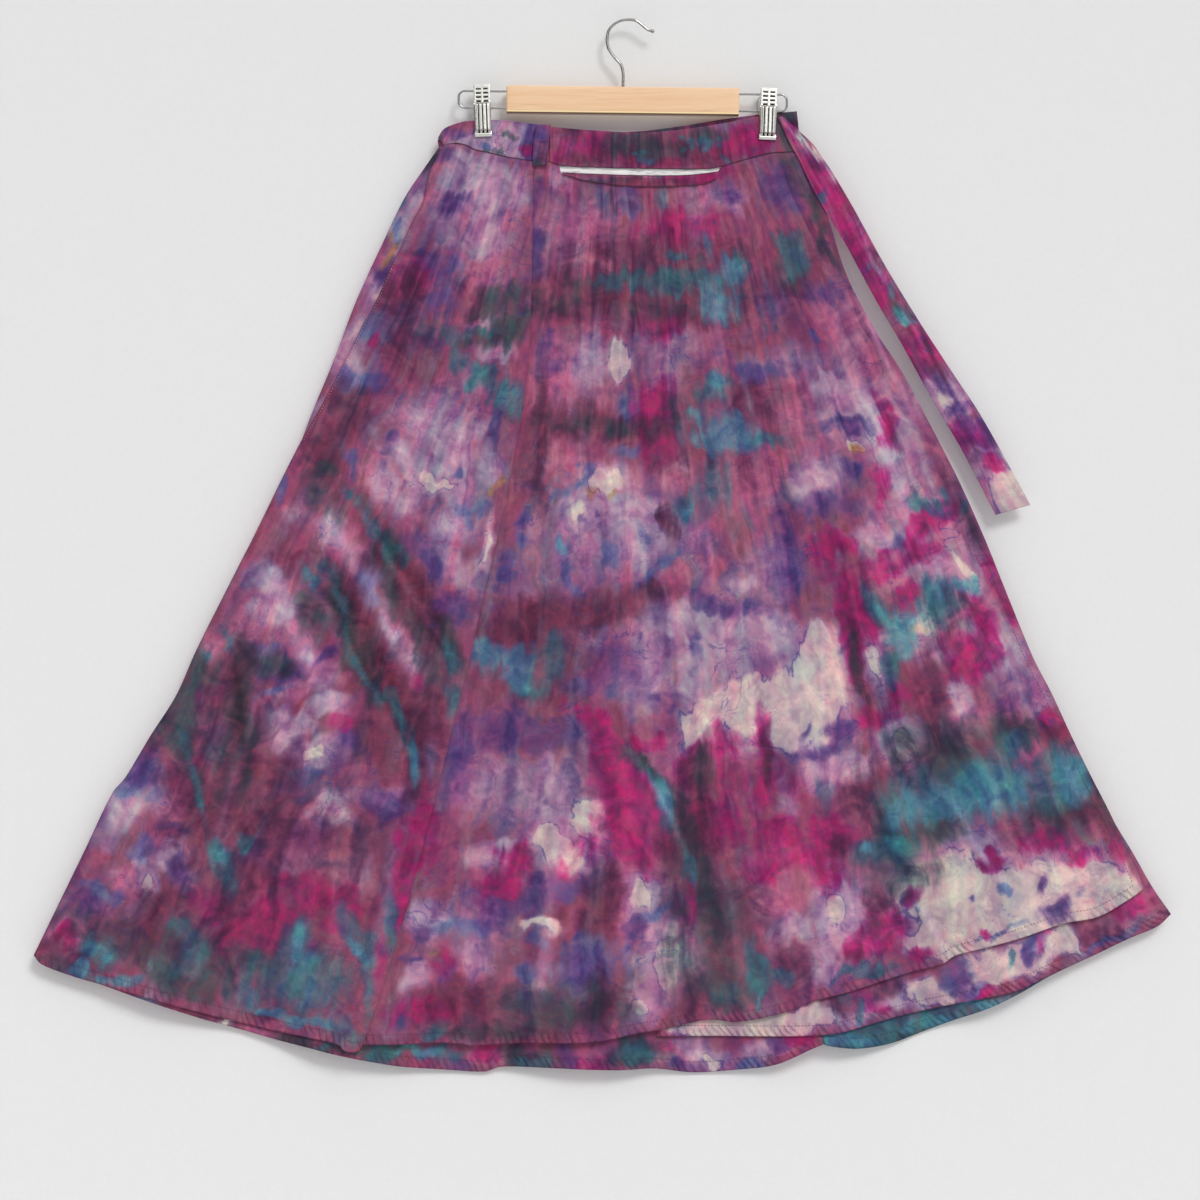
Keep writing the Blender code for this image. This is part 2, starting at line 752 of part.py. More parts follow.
def build_jaw(name, clip, side, material):
    """Build one jaw: a flat plate on the wires, and a hollow ribbed shell that ends in the lip."""
    plate_back = LOOP_WIRE / 2.0 + CLIP_PLATE_PLAY
    plate_face = plate_back + CLIP_SHEET
    grip = max(clip.grip / 2.0 + TOUCH_GAP, plate_back)
    bulge = grip + CLIP_BULGE - CLIP_SHEET
    foot = -CLIP_HEIGHT
    shoulder = -CLIP_PLATE_HEIGHT
    profile = (
        (plate_back, 0.0),
        (plate_face, 0.0),
        (plate_face, shoulder + CLIP_STEP),
        (bulge, shoulder - CLIP_SLOPE),
        (bulge, foot + CLIP_LIP_HEIGHT),
        (grip + CLIP_LIP, foot),
        (grip, foot),
        (grip, shoulder - CLIP_SLOPE),
        (plate_back, shoulder - CLIP_STEP),
    )
    mesh_maker = bmesh.new()
    corners = [mesh_maker.verts.new((-CLIP_WIDTH / 2.0, side * depth, up)) for depth, up in profile]
    face = mesh_maker.faces.new(corners)
    swept = bmesh.ops.extrude_face_region(mesh_maker, geom=[face], use_keep_orig=True)
    far = [part for part in swept["geom"] if isinstance(part, bmesh.types.BMVert)]
    bmesh.ops.translate(mesh_maker, verts=far, vec=(CLIP_WIDTH, 0.0, 0.0))
    bmesh.ops.recalc_face_normals(mesh_maker, faces=mesh_maker.faces[:])
    inner = max(
        (part for part in mesh_maker.faces if part.normal.y * side < -0.9),
        key=lambda part: part.calc_area() if part.calc_center_median().z < shoulder else 0.0,
    )
    bmesh.ops.inset_region(mesh_maker, faces=[inner], thickness=CLIP_SHEET, use_even_offset=True)
    depth = CLIP_BULGE - 2.0 * CLIP_SHEET
    floor = bmesh.ops.extrude_discrete_faces(mesh_maker, faces=[inner])["faces"][0]
    bmesh.ops.translate(mesh_maker, verts=floor.verts[:], vec=(0.0, side * depth, 0.0))
    lowest = sorted(floor.verts, key=lambda vert: vert.co.z)[:2]
    bmesh.ops.translate(mesh_maker, verts=lowest, vec=(0.0, 0.0, CLIP_FLOOR_RISE))
    mesh = bpy.data.meshes.new(name)
    mesh_maker.to_mesh(mesh)
    mesh_maker.free()
    jaw = add_object(name, mesh, material)
    jaw.location = (clip.x, 0.0, -clip.top_drop)
    jaw.rotation_euler.y = clip.tilt


def build_hanger(steel, wood):
    """Build the bar, the hook, the wire loops and the two clips."""
    build_bar(wood)
    build_hook(steel)
    build_wire_loop("hanger_wire_left", -1.0, steel)
    build_wire_loop("hanger_wire_right", 1.0, steel)
    clips = (
        Clip("clip_left", x=-0.1548, top_drop=0.0672, tilt=math.radians(-2.2), grip=0.0028),
        Clip("clip_right", x=0.1472, top_drop=0.0706, tilt=math.radians(2.2), grip=0.0060),
    )
    for clip in clips:
        build_jaw(clip.name + "_front_jaw", clip, -1.0, steel)
        build_jaw(clip.name + "_back_jaw", clip, 1.0, steel)


def main():
    """Build the skirt and its hanger."""
    clear_scene()
    cloth = {
        "gore": make_material("tie-dyed cotton, front", (0.39, 0.12, 0.26), 0.85),
        "under": make_material("tie-dyed cotton, under wrap", (0.33, 0.16, 0.27), 0.85),
        "back": make_material("tie-dyed cotton, back", (0.21, 0.17, 0.25), 0.85),
        "band": make_material("tie-dyed cotton, band", (0.36, 0.10, 0.24), 0.85),
        "lining": make_material("white lining", (0.80, 0.80, 0.80), 0.60),
    }
    steel = make_material("plated steel", (0.62, 0.62, 0.60), 0.28, metallic=1.0)
    wood = make_material("pale wood", (0.80, 0.56, 0.35), 0.50)
    build_skirt(cloth)
    build_waistband(cloth)
    build_pocket(cloth)
    build_belt_loop(cloth)
    build_tie(cloth)
    build_hanger(steel, wood)


main()
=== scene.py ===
"""Looks of a long tie-dyed wrap skirt that hangs from the two clips of a wooden hanger.

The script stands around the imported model, in metres, with the hook's seat at the origin, +Z up and
the skirt's front facing -Y. Outlines are tables of stations: x, and the drop below the hook's seat.
"""

import logging
import math
from dataclasses import dataclass, field
from enum import Enum
from typing import Callable, Optional, Sequence, Union

import bmesh
import bpy
import numpy as np
from mathutils import Matrix, Vector


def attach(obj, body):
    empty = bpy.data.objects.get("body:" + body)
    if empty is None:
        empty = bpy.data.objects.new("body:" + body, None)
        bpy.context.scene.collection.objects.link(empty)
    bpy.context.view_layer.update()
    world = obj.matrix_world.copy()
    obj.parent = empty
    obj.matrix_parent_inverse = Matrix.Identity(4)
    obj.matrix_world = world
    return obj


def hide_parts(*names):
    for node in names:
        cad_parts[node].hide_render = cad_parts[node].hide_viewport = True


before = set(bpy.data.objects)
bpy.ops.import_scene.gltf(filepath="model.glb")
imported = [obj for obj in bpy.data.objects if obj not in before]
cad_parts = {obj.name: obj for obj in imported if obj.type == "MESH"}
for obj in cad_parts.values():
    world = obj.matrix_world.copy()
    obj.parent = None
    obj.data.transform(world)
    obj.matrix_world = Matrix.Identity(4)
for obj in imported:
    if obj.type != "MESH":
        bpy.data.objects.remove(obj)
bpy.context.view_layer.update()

LOG = logging.getLogger("wrap_skirt")

BODY = "root"
CLOTH_SHELL = 0.0007
WAIST_DROP = 0.150
SETTLED_DROP = 0.320
HEM_DROP = 1.080
LAP = 0.010
HEM_DEPTH = 0.011
RIDGE_GAIN = 2.2
TROUGH_GAIN = 1.35
CREASE_ROOM = 0.0011
CREASE_REACH = 0.0034

Number = Union[float, np.ndarray]
Tree = bpy.types.NodeTree
Socket = bpy.types.NodeSocket
Input = Union[bpy.types.NodeSocket, float, tuple]


# Plain geometry


@dataclass(frozen=True)
class Station:
    """A point of an outline: x, and the drop below the hook's seat."""

    x: float
    drop: float


def stations(*rows: tuple) -> tuple:
    """Return stations from pairs of x and drop."""
    return tuple(Station(*row) for row in rows)


def mix(start: Number, end: Number, share: Number) -> Number:
    """Return the value that lies the given share of the way from start to end."""
    return start + (end - start) * share


def smooth_step(start: float, end: float, value: Number) -> Number:
    """Rise smoothly from 0 at start to 1 at end, for a number or an array.

    Args:
        start: where it is 0.
        end: where it is 1.
        value: the number or the array.

    Returns:
        The share, from 0 to 1.
    """
    share = np.clip((value - start) / (end - start), 0.0, 1.0)
    return share * share * (3.0 - 2.0 * share)


def shifted(stations: Sequence[Station], across: float = 0.0, down: float = 0.0) -> tuple:
    """Return the stations moved sideways and down."""
    return tuple(Station(row.x + across, row.drop + down) for row in stations)


class SmoothEdge:
    """A smooth curve through stations, read by its share of the length."""

    def __init__(self, stations: Sequence[Station]) -> None:
        """Keep the stations, the run to each and the slope at each.

        Args:
            stations: the points that it runs through.
        """
        self.points = np.array([(row.x, row.drop) for row in stations])
        steps = np.linalg.norm(np.diff(self.points, axis=0), axis=1)
        self.runs = np.concatenate([[0.0], np.cumsum(steps)])
        inner = (self.points[2:] - self.points[:-2]) / (steps[1:] + steps[:-1])[:, None]
        first = (self.points[1] - self.points[0]) / steps[0]
        last = (self.points[-1] - self.points[-2]) / steps[-1]
        self.slopes = np.vstack([first, inner.reshape(-1, 2), last])

    @property
    def length(self) -> float:
        """Return the length of the chords."""
        return float(self.runs[-1])

    def at(self, shares: np.ndarray) -> np.ndarray:
        """Return the points at the shares.

        Args:
            shares: numbers from 0 to 1.

        Returns:
            An array of (x, drop) rows.
        """
        run = np.clip(shares, 0.0, 1.0) * self.length
        index = np.clip(np.searchsorted(self.runs, run, side="right") - 1, 0, len(self.runs) - 2)
        step = (self.runs[index + 1] - self.runs[index])[:, None]
        part = (run[:, None] - self.runs[index][:, None]) / step
        ease = part * part * (3.0 - 2.0 * part)
        pull = part * (1.0 - part) * step
        bow = self.slopes[index] * pull * (1.0 - part) - self.slopes[index + 1] * pull * part
        return mix(self.points[index], self.points[index + 1], ease) + bow


def cut_at(stations: Sequence[Station], start_x: float, end_x: float, samples: int = 24) -> tuple:
    """Return stations on the smooth curve between two x values, read from left to right.

    Args:
        stations: the curve's stations.
        start_x: where the part starts.
        end_x: where it ends.
        samples: how many stations it has.

    Returns:
        The part's stations.
    """
    fine = SmoothEdge(stations).at(np.linspace(0.0, 1.0, 800))
    marks = np.linspace(start_x, end_x, samples)
    drops = np.interp(marks, fine[:, 0], fine[:, 1])
    return tuple(Station(float(x), float(drop)) for x, drop in zip(marks, drops))


@dataclass
class Sheet:
    """A flat sheet between four edges, read by how far across and down it is."""

    top: Sequence[Station]
    foot: Sequence[Station]
    left: Sequence[Station]
    right: Sequence[Station]

    def points(self, across: np.ndarray, down: np.ndarray) -> tuple[np.ndarray, np.ndarray]:
        """Return the x and the drop of each mark.

        Args:
            across: shares from the left edge to the right one.
            down: shares from the top edge to the foot.

        Returns:
            Two arrays, x and drop.
        """
        rails = mix(SmoothEdge(self.top).at(across), SmoothEdge(self.foot).at(across), down[:, None])
        sides = mix(SmoothEdge(self.left).at(down), SmoothEdge(self.right).at(down), across[:, None])
        ends = (self.top[0], self.top[-1], self.foot[0], self.foot[-1])
        corners = [np.array([row.x, row.drop]) for row in ends]
        flat_top = mix(corners[0], corners[1], across[:, None])
        flat_foot = mix(corners[2], corners[3], across[:, None])
        flat = rails + sides - mix(flat_top, flat_foot, down[:, None])
        return flat[:, 0], flat[:, 1]

    def cut_size(self) -> tuple[float, float, float]:
        """Return the width, the length and the area of the flat cut."""
        marks = np.linspace(0.0, 1.0, 41)
        across, down = (grid.ravel() for grid in np.meshgrid(marks, marks))
        x, drop = self.points(across, down)
        x, drop = x.reshape(41, 41), drop.reshape(41, 41)
        diagonal_1 = np.stack([x[1:, 1:] - x[:-1, :-1], drop[1:, 1:] - drop[:-1, :-1]])
        diagonal_2 = np.stack([x[1:, :-1] - x[:-1, 1:], drop[1:, :-1] - drop[:-1, 1:]])
        area = 0.5 * np.abs(diagonal_1[0] * diagonal_2[1] - diagonal_1[1] * diagonal_2[0]).sum()
        widths = np.hypot(np.diff(x, axis=1), np.diff(drop, axis=1)).sum(axis=1)
        lengths = np.hypot(np.diff(x, axis=0), np.diff(drop, axis=0)).sum(axis=0)
        return float(widths.max()), float(lengths.max()), float(area)


# How the cloth hangs


class Layer(Enum):
    """Depth of a layer: at the waist, settled lower down, and both again left of the side seam."""

    TIE = (-0.0043, -0.0020, -0.0043, -0.0020)
    OVER = (-0.0040, -0.0058, -0.0008, -0.0014)
    FRONT = (-0.0024, -0.0032, -0.0008, -0.0014)
    LINING = (-0.0008, -0.0008, -0.0008, -0.0008)
    UNDER = (0.0008, 0.0006, 0.0008, 0.0006)
    BACK = (0.0024, 0.0040, 0.0008, 0.0014)


@dataclass(frozen=True)
class Fold:
    """A large fold that every layer shares. A negative depth is a ridge towards the viewer."""

    top_x: float
    hem_x: float
    start: float
    depth: float
    width: float


@dataclass(frozen=True)
class Crease:
    """A soft crease in one layer, along a short path. A positive depth is a trough."""

    path: tuple
    depth: float
    width: float

    def relief(self, x: np.ndarray, drop: np.ndarray) -> np.ndarray:
        """Return how far the crease pushes each point back.

        Args:
            x: the points' x.
            drop: their drop below the hook's seat.

        Returns:
            How far back each point is pushed, or forward where negative.
        """
        points = np.array(self.path)
        steps = np.linalg.norm(np.diff(points, axis=0), axis=1)
        runs = np.concatenate([[0.0], np.cumsum(steps)])
        best = np.full(x.shape, 1.0e3)
        along = np.zeros(x.shape)
        for index, step in enumerate(steps):
            start, way = points[index], (points[index + 1] - points[index]) / step
            run = np.clip((x - start[0]) * way[0] + (drop - start[1]) * way[1], 0.0, step)
            gap = np.hypot(x - start[0] - way[0] * run, drop - start[1] - way[1] * run)
            nearer = gap < best
            best = np.where(nearer, gap, best)
            along = np.where(nearer, (runs[index] + run) / runs[-1], along)
        taper = np.sin(np.pi * np.clip(along, 0.02, 0.98)) ** 0.6
        core = np.exp(-((best / self.width) ** 2))
        shoulder = np.exp(-((best / (2.6 * self.width)) ** 2))
        gain = RIDGE_GAIN if self.depth < 0.0 else TROUGH_GAIN
        return self.depth * gain * taper * (1.25 * core - 0.35 * shoulder)


FOLDS = (
    Fold(top_x=-0.180, hem_x=-0.520, start=0.45, depth=-0.0070, width=0.050),
    Fold(top_x=-0.150, hem_x=-0.405, start=0.40, depth=0.0080, width=0.055),
    Fold(top_x=-0.115, hem_x=-0.300, start=0.30, depth=-0.0080, width=0.055),
    Fold(top_x=-0.070, hem_x=-0.170, start=0.40, depth=0.0070, width=0.060),
    Fold(top_x=-0.020, hem_x=-0.040, start=0.45, depth=-0.0075, width=0.060),
    Fold(top_x=0.030, hem_x=0.080, start=0.35, depth=0.0075, width=0.055),
    Fold(top_x=0.075, hem_x=0.200, start=0.30, depth=-0.0085, width=0.055),
    Fold(top_x=0.115, hem_x=0.310, start=0.40, depth=0.0080, width=0.050),
    Fold(top_x=0.150, hem_x=0.420, start=0.25, depth=-0.0090, width=0.050),
)

# Edges of the skirt's pieces
SKIRT_LEFT = stations(
    (-0.1995, 0.1335), (-0.2160, 0.1560), (-0.2352, 0.1848), (-0.2552, 0.2258), (-0.2856, 0.2919),
    (-0.3108, 0.3581), (-0.3339, 0.4137), (-0.3602, 0.4820), (-0.3948, 0.5429), (-0.4274, 0.6069),
    (-0.4541, 0.6605), (-0.4757, 0.7088), (-0.5019, 0.7497), (-0.5292, 0.7949), (-0.5418, 0.8096),
    (-0.5702, 0.8684), (-0.6248, 0.9807),
)
ROLLED_LEFT = (*stations(
    (-0.1947, 0.1323), (-0.2042, 0.1486), (-0.2100, 0.1617), (-0.2153, 0.1880), (-0.2289, 0.2142),
    (-0.2415, 0.2426), (-0.2510, 0.2615), (-0.2656, 0.2951), (-0.2793, 0.3192), (-0.2919, 0.3455),
    (-0.3045, 0.3700), (-0.3200, 0.3990), (-0.3497, 0.4515)
), *SKIRT_LEFT[8:])
SIDE_SEAM = stations(
    (-0.1003, 0.1476), (-0.1040, 0.3350), (-0.1134, 0.4190), (-0.1260, 0.4851), (-0.1365, 0.5387),
    (-0.1523, 0.6017), (-0.1659, 0.6678), (-0.1827, 0.7319), (-0.1985, 0.7991), (-0.2195, 0.8789),
    (-0.2373, 0.9471), (-0.2625, 1.0280), (-0.2804, 1.0770),
)
WRAP_EDGE = stations(
    (0.1796, 0.1376), (0.2069, 0.2016), (0.2279, 0.2657), (0.2583, 0.3255), (0.2856, 0.3675),
    (0.3182, 0.4284), (0.3455, 0.4820), (0.3728, 0.5429), (0.3990, 0.6080), (0.4242, 0.6689),
    (0.4442, 0.7077), (0.4631, 0.7487), (0.4830, 0.7896), (0.5040, 0.8306), (0.5313, 0.8883),
    (0.5403, 0.9108),
)
UNDER_EDGE = stations(
    (0.1770, 0.1360), (0.2249, 0.2657), (0.2826, 0.3675), (0.3425, 0.4820), (0.3960, 0.6080),
    (0.4412, 0.7077), (0.4990, 0.8240), (0.5145, 0.8495), (0.5292, 0.8736), (0.5492, 0.9088),
    (0.5691, 0.9377),
)
UNDER_INNER_EDGE = stations((-0.0305, 0.1544), (0.0300, 1.0664))
BACK_SEAM = stations((0.0640, 0.1517), (0.1220, 0.5200), (0.2040, 1.0740))
BACK_EDGE = stations(
    (0.1795, 0.1330), (0.2239, 0.2657), (0.2816, 0.3675), (0.3415, 0.4820), (0.3950, 0.6080),
    (0.4402, 0.7077), (0.5130, 0.8495), (0.5640, 0.9350),
)

# Hems
SIDE_HEM = stations(
    (-0.6248, 0.9807), (-0.6170, 0.9900), (-0.5838, 1.0028), (-0.5470, 1.0133), (-0.4851, 1.0311),
    (-0.4179, 1.0500), (-0.3717, 1.0605), (-0.3318, 1.0679), (-0.3035, 1.0742), (-0.2990, 1.0794),
    (-0.2888, 1.0815), (-0.2830, 1.0795), (-0.2804, 1.0770),
)
CENTRE_HEM = stations(
    (-0.2904, 1.0735), (-0.2394, 1.0742), (-0.1943, 1.0731), (-0.1733, 1.0752), (-0.1670, 1.0763),
    (-0.1176, 1.0731), (-0.0557, 1.0721), (-0.0252, 1.0694), (0.0063, 1.0626), (0.0368, 1.0584),
    (0.0830, 1.0490), (0.1134, 1.0510), (0.1596, 1.0411), (0.1900, 1.0290), (0.2215, 1.0211),
    (0.2426, 1.0154), (0.2940, 0.9996), (0.3297, 0.9896), (0.3413, 0.9812), (0.3728, 0.9723),
    (0.4116, 0.9618), (0.4568, 0.9471), (0.4914, 0.9404), (0.5219, 0.9235), (0.5403, 0.9108),
)
UNDER_HEM = stations(
    (0.0300, 1.0664), (0.0672, 1.0664), (0.1134, 1.0664), (0.1533, 1.0658), (0.1900, 1.0647),
    (0.2153, 1.0626), (0.2289, 1.0600), (0.2793, 1.0469), (0.3329, 1.0343), (0.4064, 1.0175),
    (0.4368, 1.0038), (0.4820, 0.9839), (0.5240, 0.9639), (0.5555, 0.9503), (0.5691, 0.9377),
)
BACK_LEFT_HEM = stations(
    (-0.6248, 0.9807), (-0.5800, 1.0020), (-0.5166, 1.0248), (-0.4799, 1.0374), (-0.4420, 1.0500),
    (-0.4053, 1.0605), (-0.3675, 1.0710), (-0.3318, 1.0791), (-0.3003, 1.0868), (-0.2699, 1.0930),
    (-0.2405, 1.0983), (-0.1943, 1.1020), (-0.1512, 1.1043), (-0.1355, 1.0990), (-0.0861, 1.0993),
    (-0.0126, 1.1015), (0.0273, 1.1004), (0.0672, 1.1052), (0.1134, 1.1020), (0.1533, 1.0962),
    (0.1911, 1.0794), (0.2040, 1.0740),
)
BACK_RIGHT_HEM = stations(
    (0.2040, 1.0740), (0.2100, 1.0760), (0.2405, 1.0791), (0.2762, 1.0742), (0.3108, 1.0616),
    (0.3413, 1.0500), (0.3780, 1.0364), (0.4116, 1.0196), (0.4400, 1.0038), (0.4900, 0.9800),
    (0.5640, 0.9350),
)

# Waistband and pocket
FRONT_BAND_TOP = stations(
    (-0.2010, 0.1240), (-0.1980, 0.1180), (-0.1927, 0.1124), (-0.1754, 0.1061), (-0.1649, 0.1050),
    (-0.1407, 0.1040), (-0.0935, 0.1092), (-0.0840, 0.1113), (-0.0305, 0.1155), (0.0116, 0.1176),
    (0.0536, 0.1145), (0.0956, 0.1082), (0.1344, 0.1008), (0.1575, 0.0998),
)
WAIST_SEAM = stations(
    (-0.1950, 0.1310), (-0.1869, 0.1289), (-0.1796, 0.1286), (-0.1685, 0.1313), (-0.1628, 0.1349),
    (-0.1502, 0.1376), (-0.1323, 0.1423), (-0.1124, 0.1460), (-0.1003, 0.1476), (-0.0840, 0.1481),
    (-0.0714, 0.1523), (-0.0305, 0.1544), (0.0116, 0.1554), (0.0872, 0.1554), (0.1071, 0.1502),
    (0.1276, 0.1443), (0.1476, 0.1393), (0.1796, 0.1376),
)
BACK_BAND_TOP = stations(
    (-0.2010, 0.1250), (-0.1754, 0.1075), (-0.1407, 0.1056), (-0.0935, 0.1104), (-0.0305, 0.1166),
    (0.0116, 0.1155), (0.0536, 0.1103), (0.0956, 0.1035), (0.1344, 0.0982), (0.1764, 0.0945),
)
BACK_BAND_FOOT = stations(
    (-0.2000, 0.1320), (-0.1628, 0.1349), (-0.1003, 0.1476), (-0.0305, 0.1520), (0.0640, 0.1515),
    (0.1276, 0.1430), (0.1800, 0.1323),
)
POCKET_MOUTH = stations(
    (-0.0704, 0.1596), (-0.0305, 0.1612), (0.0116, 0.1624), (0.0536, 0.1624), (0.0760, 0.1608),
    (0.0930, 0.1584),
)
WELT_FOOT = stations(
    (-0.0690, 0.1622), (-0.0567, 0.1649), (-0.0494, 0.1674), (-0.0074, 0.1733), (0.0368, 0.1743),
    (0.0773, 0.1720), (0.0914, 0.1664),
)
LOOP_LEFT = stations((-0.0970, 0.1096), (-0.1000, 0.1300), (-0.1012, 0.1528))
TIE_INNER = stations(
    (0.1568, 0.1020), (0.1680, 0.1271), (0.1796, 0.1481), (0.1922, 0.1754), (0.2069, 0.2016),
    (0.2279, 0.2363), (0.2583, 0.2924), (0.2882, 0.3434), (0.3182, 0.3980), (0.3486, 0.4494),
    (0.3847, 0.5187),
)
TIE_OUTER = stations(
    (0.1610, 0.1005), (0.1764, 0.1145), (0.1948, 0.1323), (0.2279, 0.1838), (0.2699, 0.2594),
    (0.3066, 0.3192), (0.3423, 0.3738), (0.3665, 0.4100), (0.3938, 0.4578), (0.4211, 0.5082),
)
BAND_LEFT_X = -0.2005
BAND_FOOT_LEFT_X = -0.1945
BAND_JOINT_X = -0.0840
BAND_RIGHT_X = 0.1575
BAND_RIGHT_SLANT = 0.0200
UNDER_BAND_LEFT_X = -0.0305
UNDER_BAND_INSET = 0.0015
UNDER_BAND_DROP = 0.0030
SEAM_GAP = 0.0004
TOUCH_GAP = 0.0003
POCKET_CORNER = 0.0030


class SoftNoise:
    """Smooth random waves over a plane, the same on each run."""

    SIZE = 256

    def __init__(self, seed: int) -> None:
        """Fill the lattice that the waves run through.

        Args:
            seed: the seed of its lattice.
        """
        self.lattice = np.random.default_rng(seed).uniform(-1.0, 1.0, (self.SIZE, self.SIZE))

    def at(self, u: np.ndarray, v: np.ndarray) -> np.ndarray:
        """Return a value from -1 to 1 for each point.

        Args:
            u: the points' first coordinate, in waves.
            v: their second one.

        Returns:
            The values.
        """
        column, row = np.floor(u).astype(int), np.floor(v).astype(int)
        part_u, part_v = u - column, v - row
        part_u = part_u * part_u * (3.0 - 2.0 * part_u)
        part_v = part_v * part_v * (3.0 - 2.0 * part_v)
        column, row = column % self.SIZE, row % self.SIZE
        after_column, after_row = (column + 1) % self.SIZE, (row + 1) % self.SIZE
        upper = mix(self.lattice[row, column], self.lattice[row, after_column], part_u)
        lower = mix(self.lattice[after_row, column], self.lattice[after_row, after_column], part_u)
        return mix(upper, lower, part_v)


def seam_x(drop: np.ndarray) -> np.ndarray:
    """Return the x of the line where the side gore laps over the centre gore."""
    return np.interp(drop, [row.drop for row in SIDE_SEAM], [row.x for row in SIDE_SEAM])


# The layers change their order over a strip beside the lapped seam
LAP_CLEAR = 0.013
LAP_EASE = 0.030


def layer_depth(layer: Layer, x: np.ndarray, drop: np.ndarray) -> np.ndarray:
    """Return how far back a layer lies, without the folds.

    Args:
        layer: the layer.
        x: the points' x.
        drop: their drop below the hook's seat.

    Returns:
        The depths.
    """
    waist, settled, waist_left, settled_left = layer.value
    fall = smooth_step(WAIST_DROP, SETTLED_DROP, drop)
    edge = seam_x(drop) - LAP_CLEAR
    share = smooth_step(0.0, 1.0, (x - edge + LAP_EASE) / LAP_EASE)
    return mix(mix(waist_left, settled_left, fall), mix(waist, settled, fall), share)


def fold_depth(x: np.ndarray, drop: np.ndarray) -> np.ndarray:
    """Return how far the large folds push every layer back, or forward where negative.

    Args:
        x: the points' x.
        drop: their drop below the hook's seat.

    Returns:
        The depths.
    """
    fall = np.clip((drop - WAIST_DROP) / (HEM_DROP - WAIST_DROP), 0.0, 1.0)
    depth = np.zeros(x.shape)
    for fold in FOLDS:
        line = mix(fold.top_x, fold.hem_x, fall)
        reach = fold.width * mix(0.45, 1.0, fall)
        depth += fold.depth * smooth_step(fold.start, HEM_DROP, drop) * np.exp(-(((x - line) / reach) ** 2))
    return depth


# The squared plan: places on the cloth are read off it, one square for each 1.05 mm
PLAN_SQUARE = 0.00105
PLAN_X = 629.0
PLAN_DROP = 21.0
FAN_APEX_X = -0.004
FAN_APEX_DROP = -0.256
FAN_REACH = 0.90


def plan_x(column: Number) -> Number:
    """Return the x of a column of the plan."""
    return (column - PLAN_X) * PLAN_SQUARE


def plan_drop(row: Number) -> Number:
    """Return the drop of a row of the plan."""
    return (row - PLAN_DROP) * PLAN_SQUARE


def fan(x: np.ndarray, drop: np.ndarray) -> tuple[np.ndarray, np.ndarray]:
    """Return the cloth's grain, which fans out from above the waist: across it and along it.

    Args:
        x: the points' x.
        drop: their drop below the hook's seat.

    Returns:
        How far across the grain each point lies, and how far along it.
    """
    fall = drop - FAN_APEX_DROP
    return (x - FAN_APEX_X) / fall * FAN_REACH, np.hypot(x - FAN_APEX_X, fall)


@dataclass(frozen=True)
class DyeLook:
    """How a dye dries: its tones, how soft its rim is, what breaks it up, and its wet edge and halo."""

    tone: str
    second_tone: str
    rim: float = 0.7
    blot: float = 1.5
    mottle: float = 1.0
    streak: float = 0.8
    cover: float = 0.85
    wet_edge: float = 0.0
    halo: float = 0.0


class Dye(Enum):
    """The dyes, in the order in which they lie on each other."""

    PINK = DyeLook("#D08CAC", "#BA6A92", rim=1.2, blot=1.1, mottle=0.4, streak=0.8, cover=0.82)
    LILAC = DyeLook("#A08CB2", "#8E729E", rim=1.2, blot=1.2, mottle=0.4, streak=0.6, cover=0.78,
                    wet_edge=0.15)
    PALE = DyeLook("#CFBAC8", "#C49AB6", rim=1.3, blot=1.0, mottle=0.4, streak=0.8, cover=0.85,
                   wet_edge=0.16, halo=0.55)
    CREAM = DyeLook("#E8DCCC", "#DECCC4", rim=0.55, blot=0.9, mottle=0.5, streak=0.7, cover=1.02,
                    wet_edge=0.32, halo=0.50)
    BLUE = DyeLook("#505C9E", "#6478A6", rim=1.1, blot=1.2, mottle=0.6, streak=0.6, cover=0.80)
    PURPLE = DyeLook("#5E3C80", "#503A7C", rim=1.2, blot=1.2, mottle=0.5, streak=0.6, cover=0.80)
    MAGENTA = DyeLook("#B41468", "#96265E", rim=1.2, blot=1.2, mottle=0.4, streak=1.5, cover=0.86)
    MAROON = DyeLook("#682C48", "#562A44", rim=1.5, blot=1.2, mottle=0.3, streak=0.9, cover=0.85)
    DARK = DyeLook("#403C46", "#3A484E", rim=1.5, blot=1.2, mottle=0.3, streak=0.9, cover=0.82)
    TEAL = DyeLook("#3E7482", "#386472", rim=1.2, blot=1.3, mottle=0.6, streak=1.4, cover=0.80)
    AQUA = DyeLook("#5492A2", "#448096", rim=1.1, blot=1.3, mottle=0.6, streak=1.6, cover=0.84)
    FLECK = DyeLook("#B0804A", "#A0745C", rim=1.2, cover=0.75)


MASKS_EACH = 4
MASK_SETS = ("dye_light", "dye_deep", "dye_cool")


@dataclass(frozen=True)
class Stain:
    """A stain, in squares of the plan. A lean turns it, its foot to the right."""

    column: float
    row: float
    half_width: float
    half_height: float
    lean: float = 0.0
    strength: float = 1.0


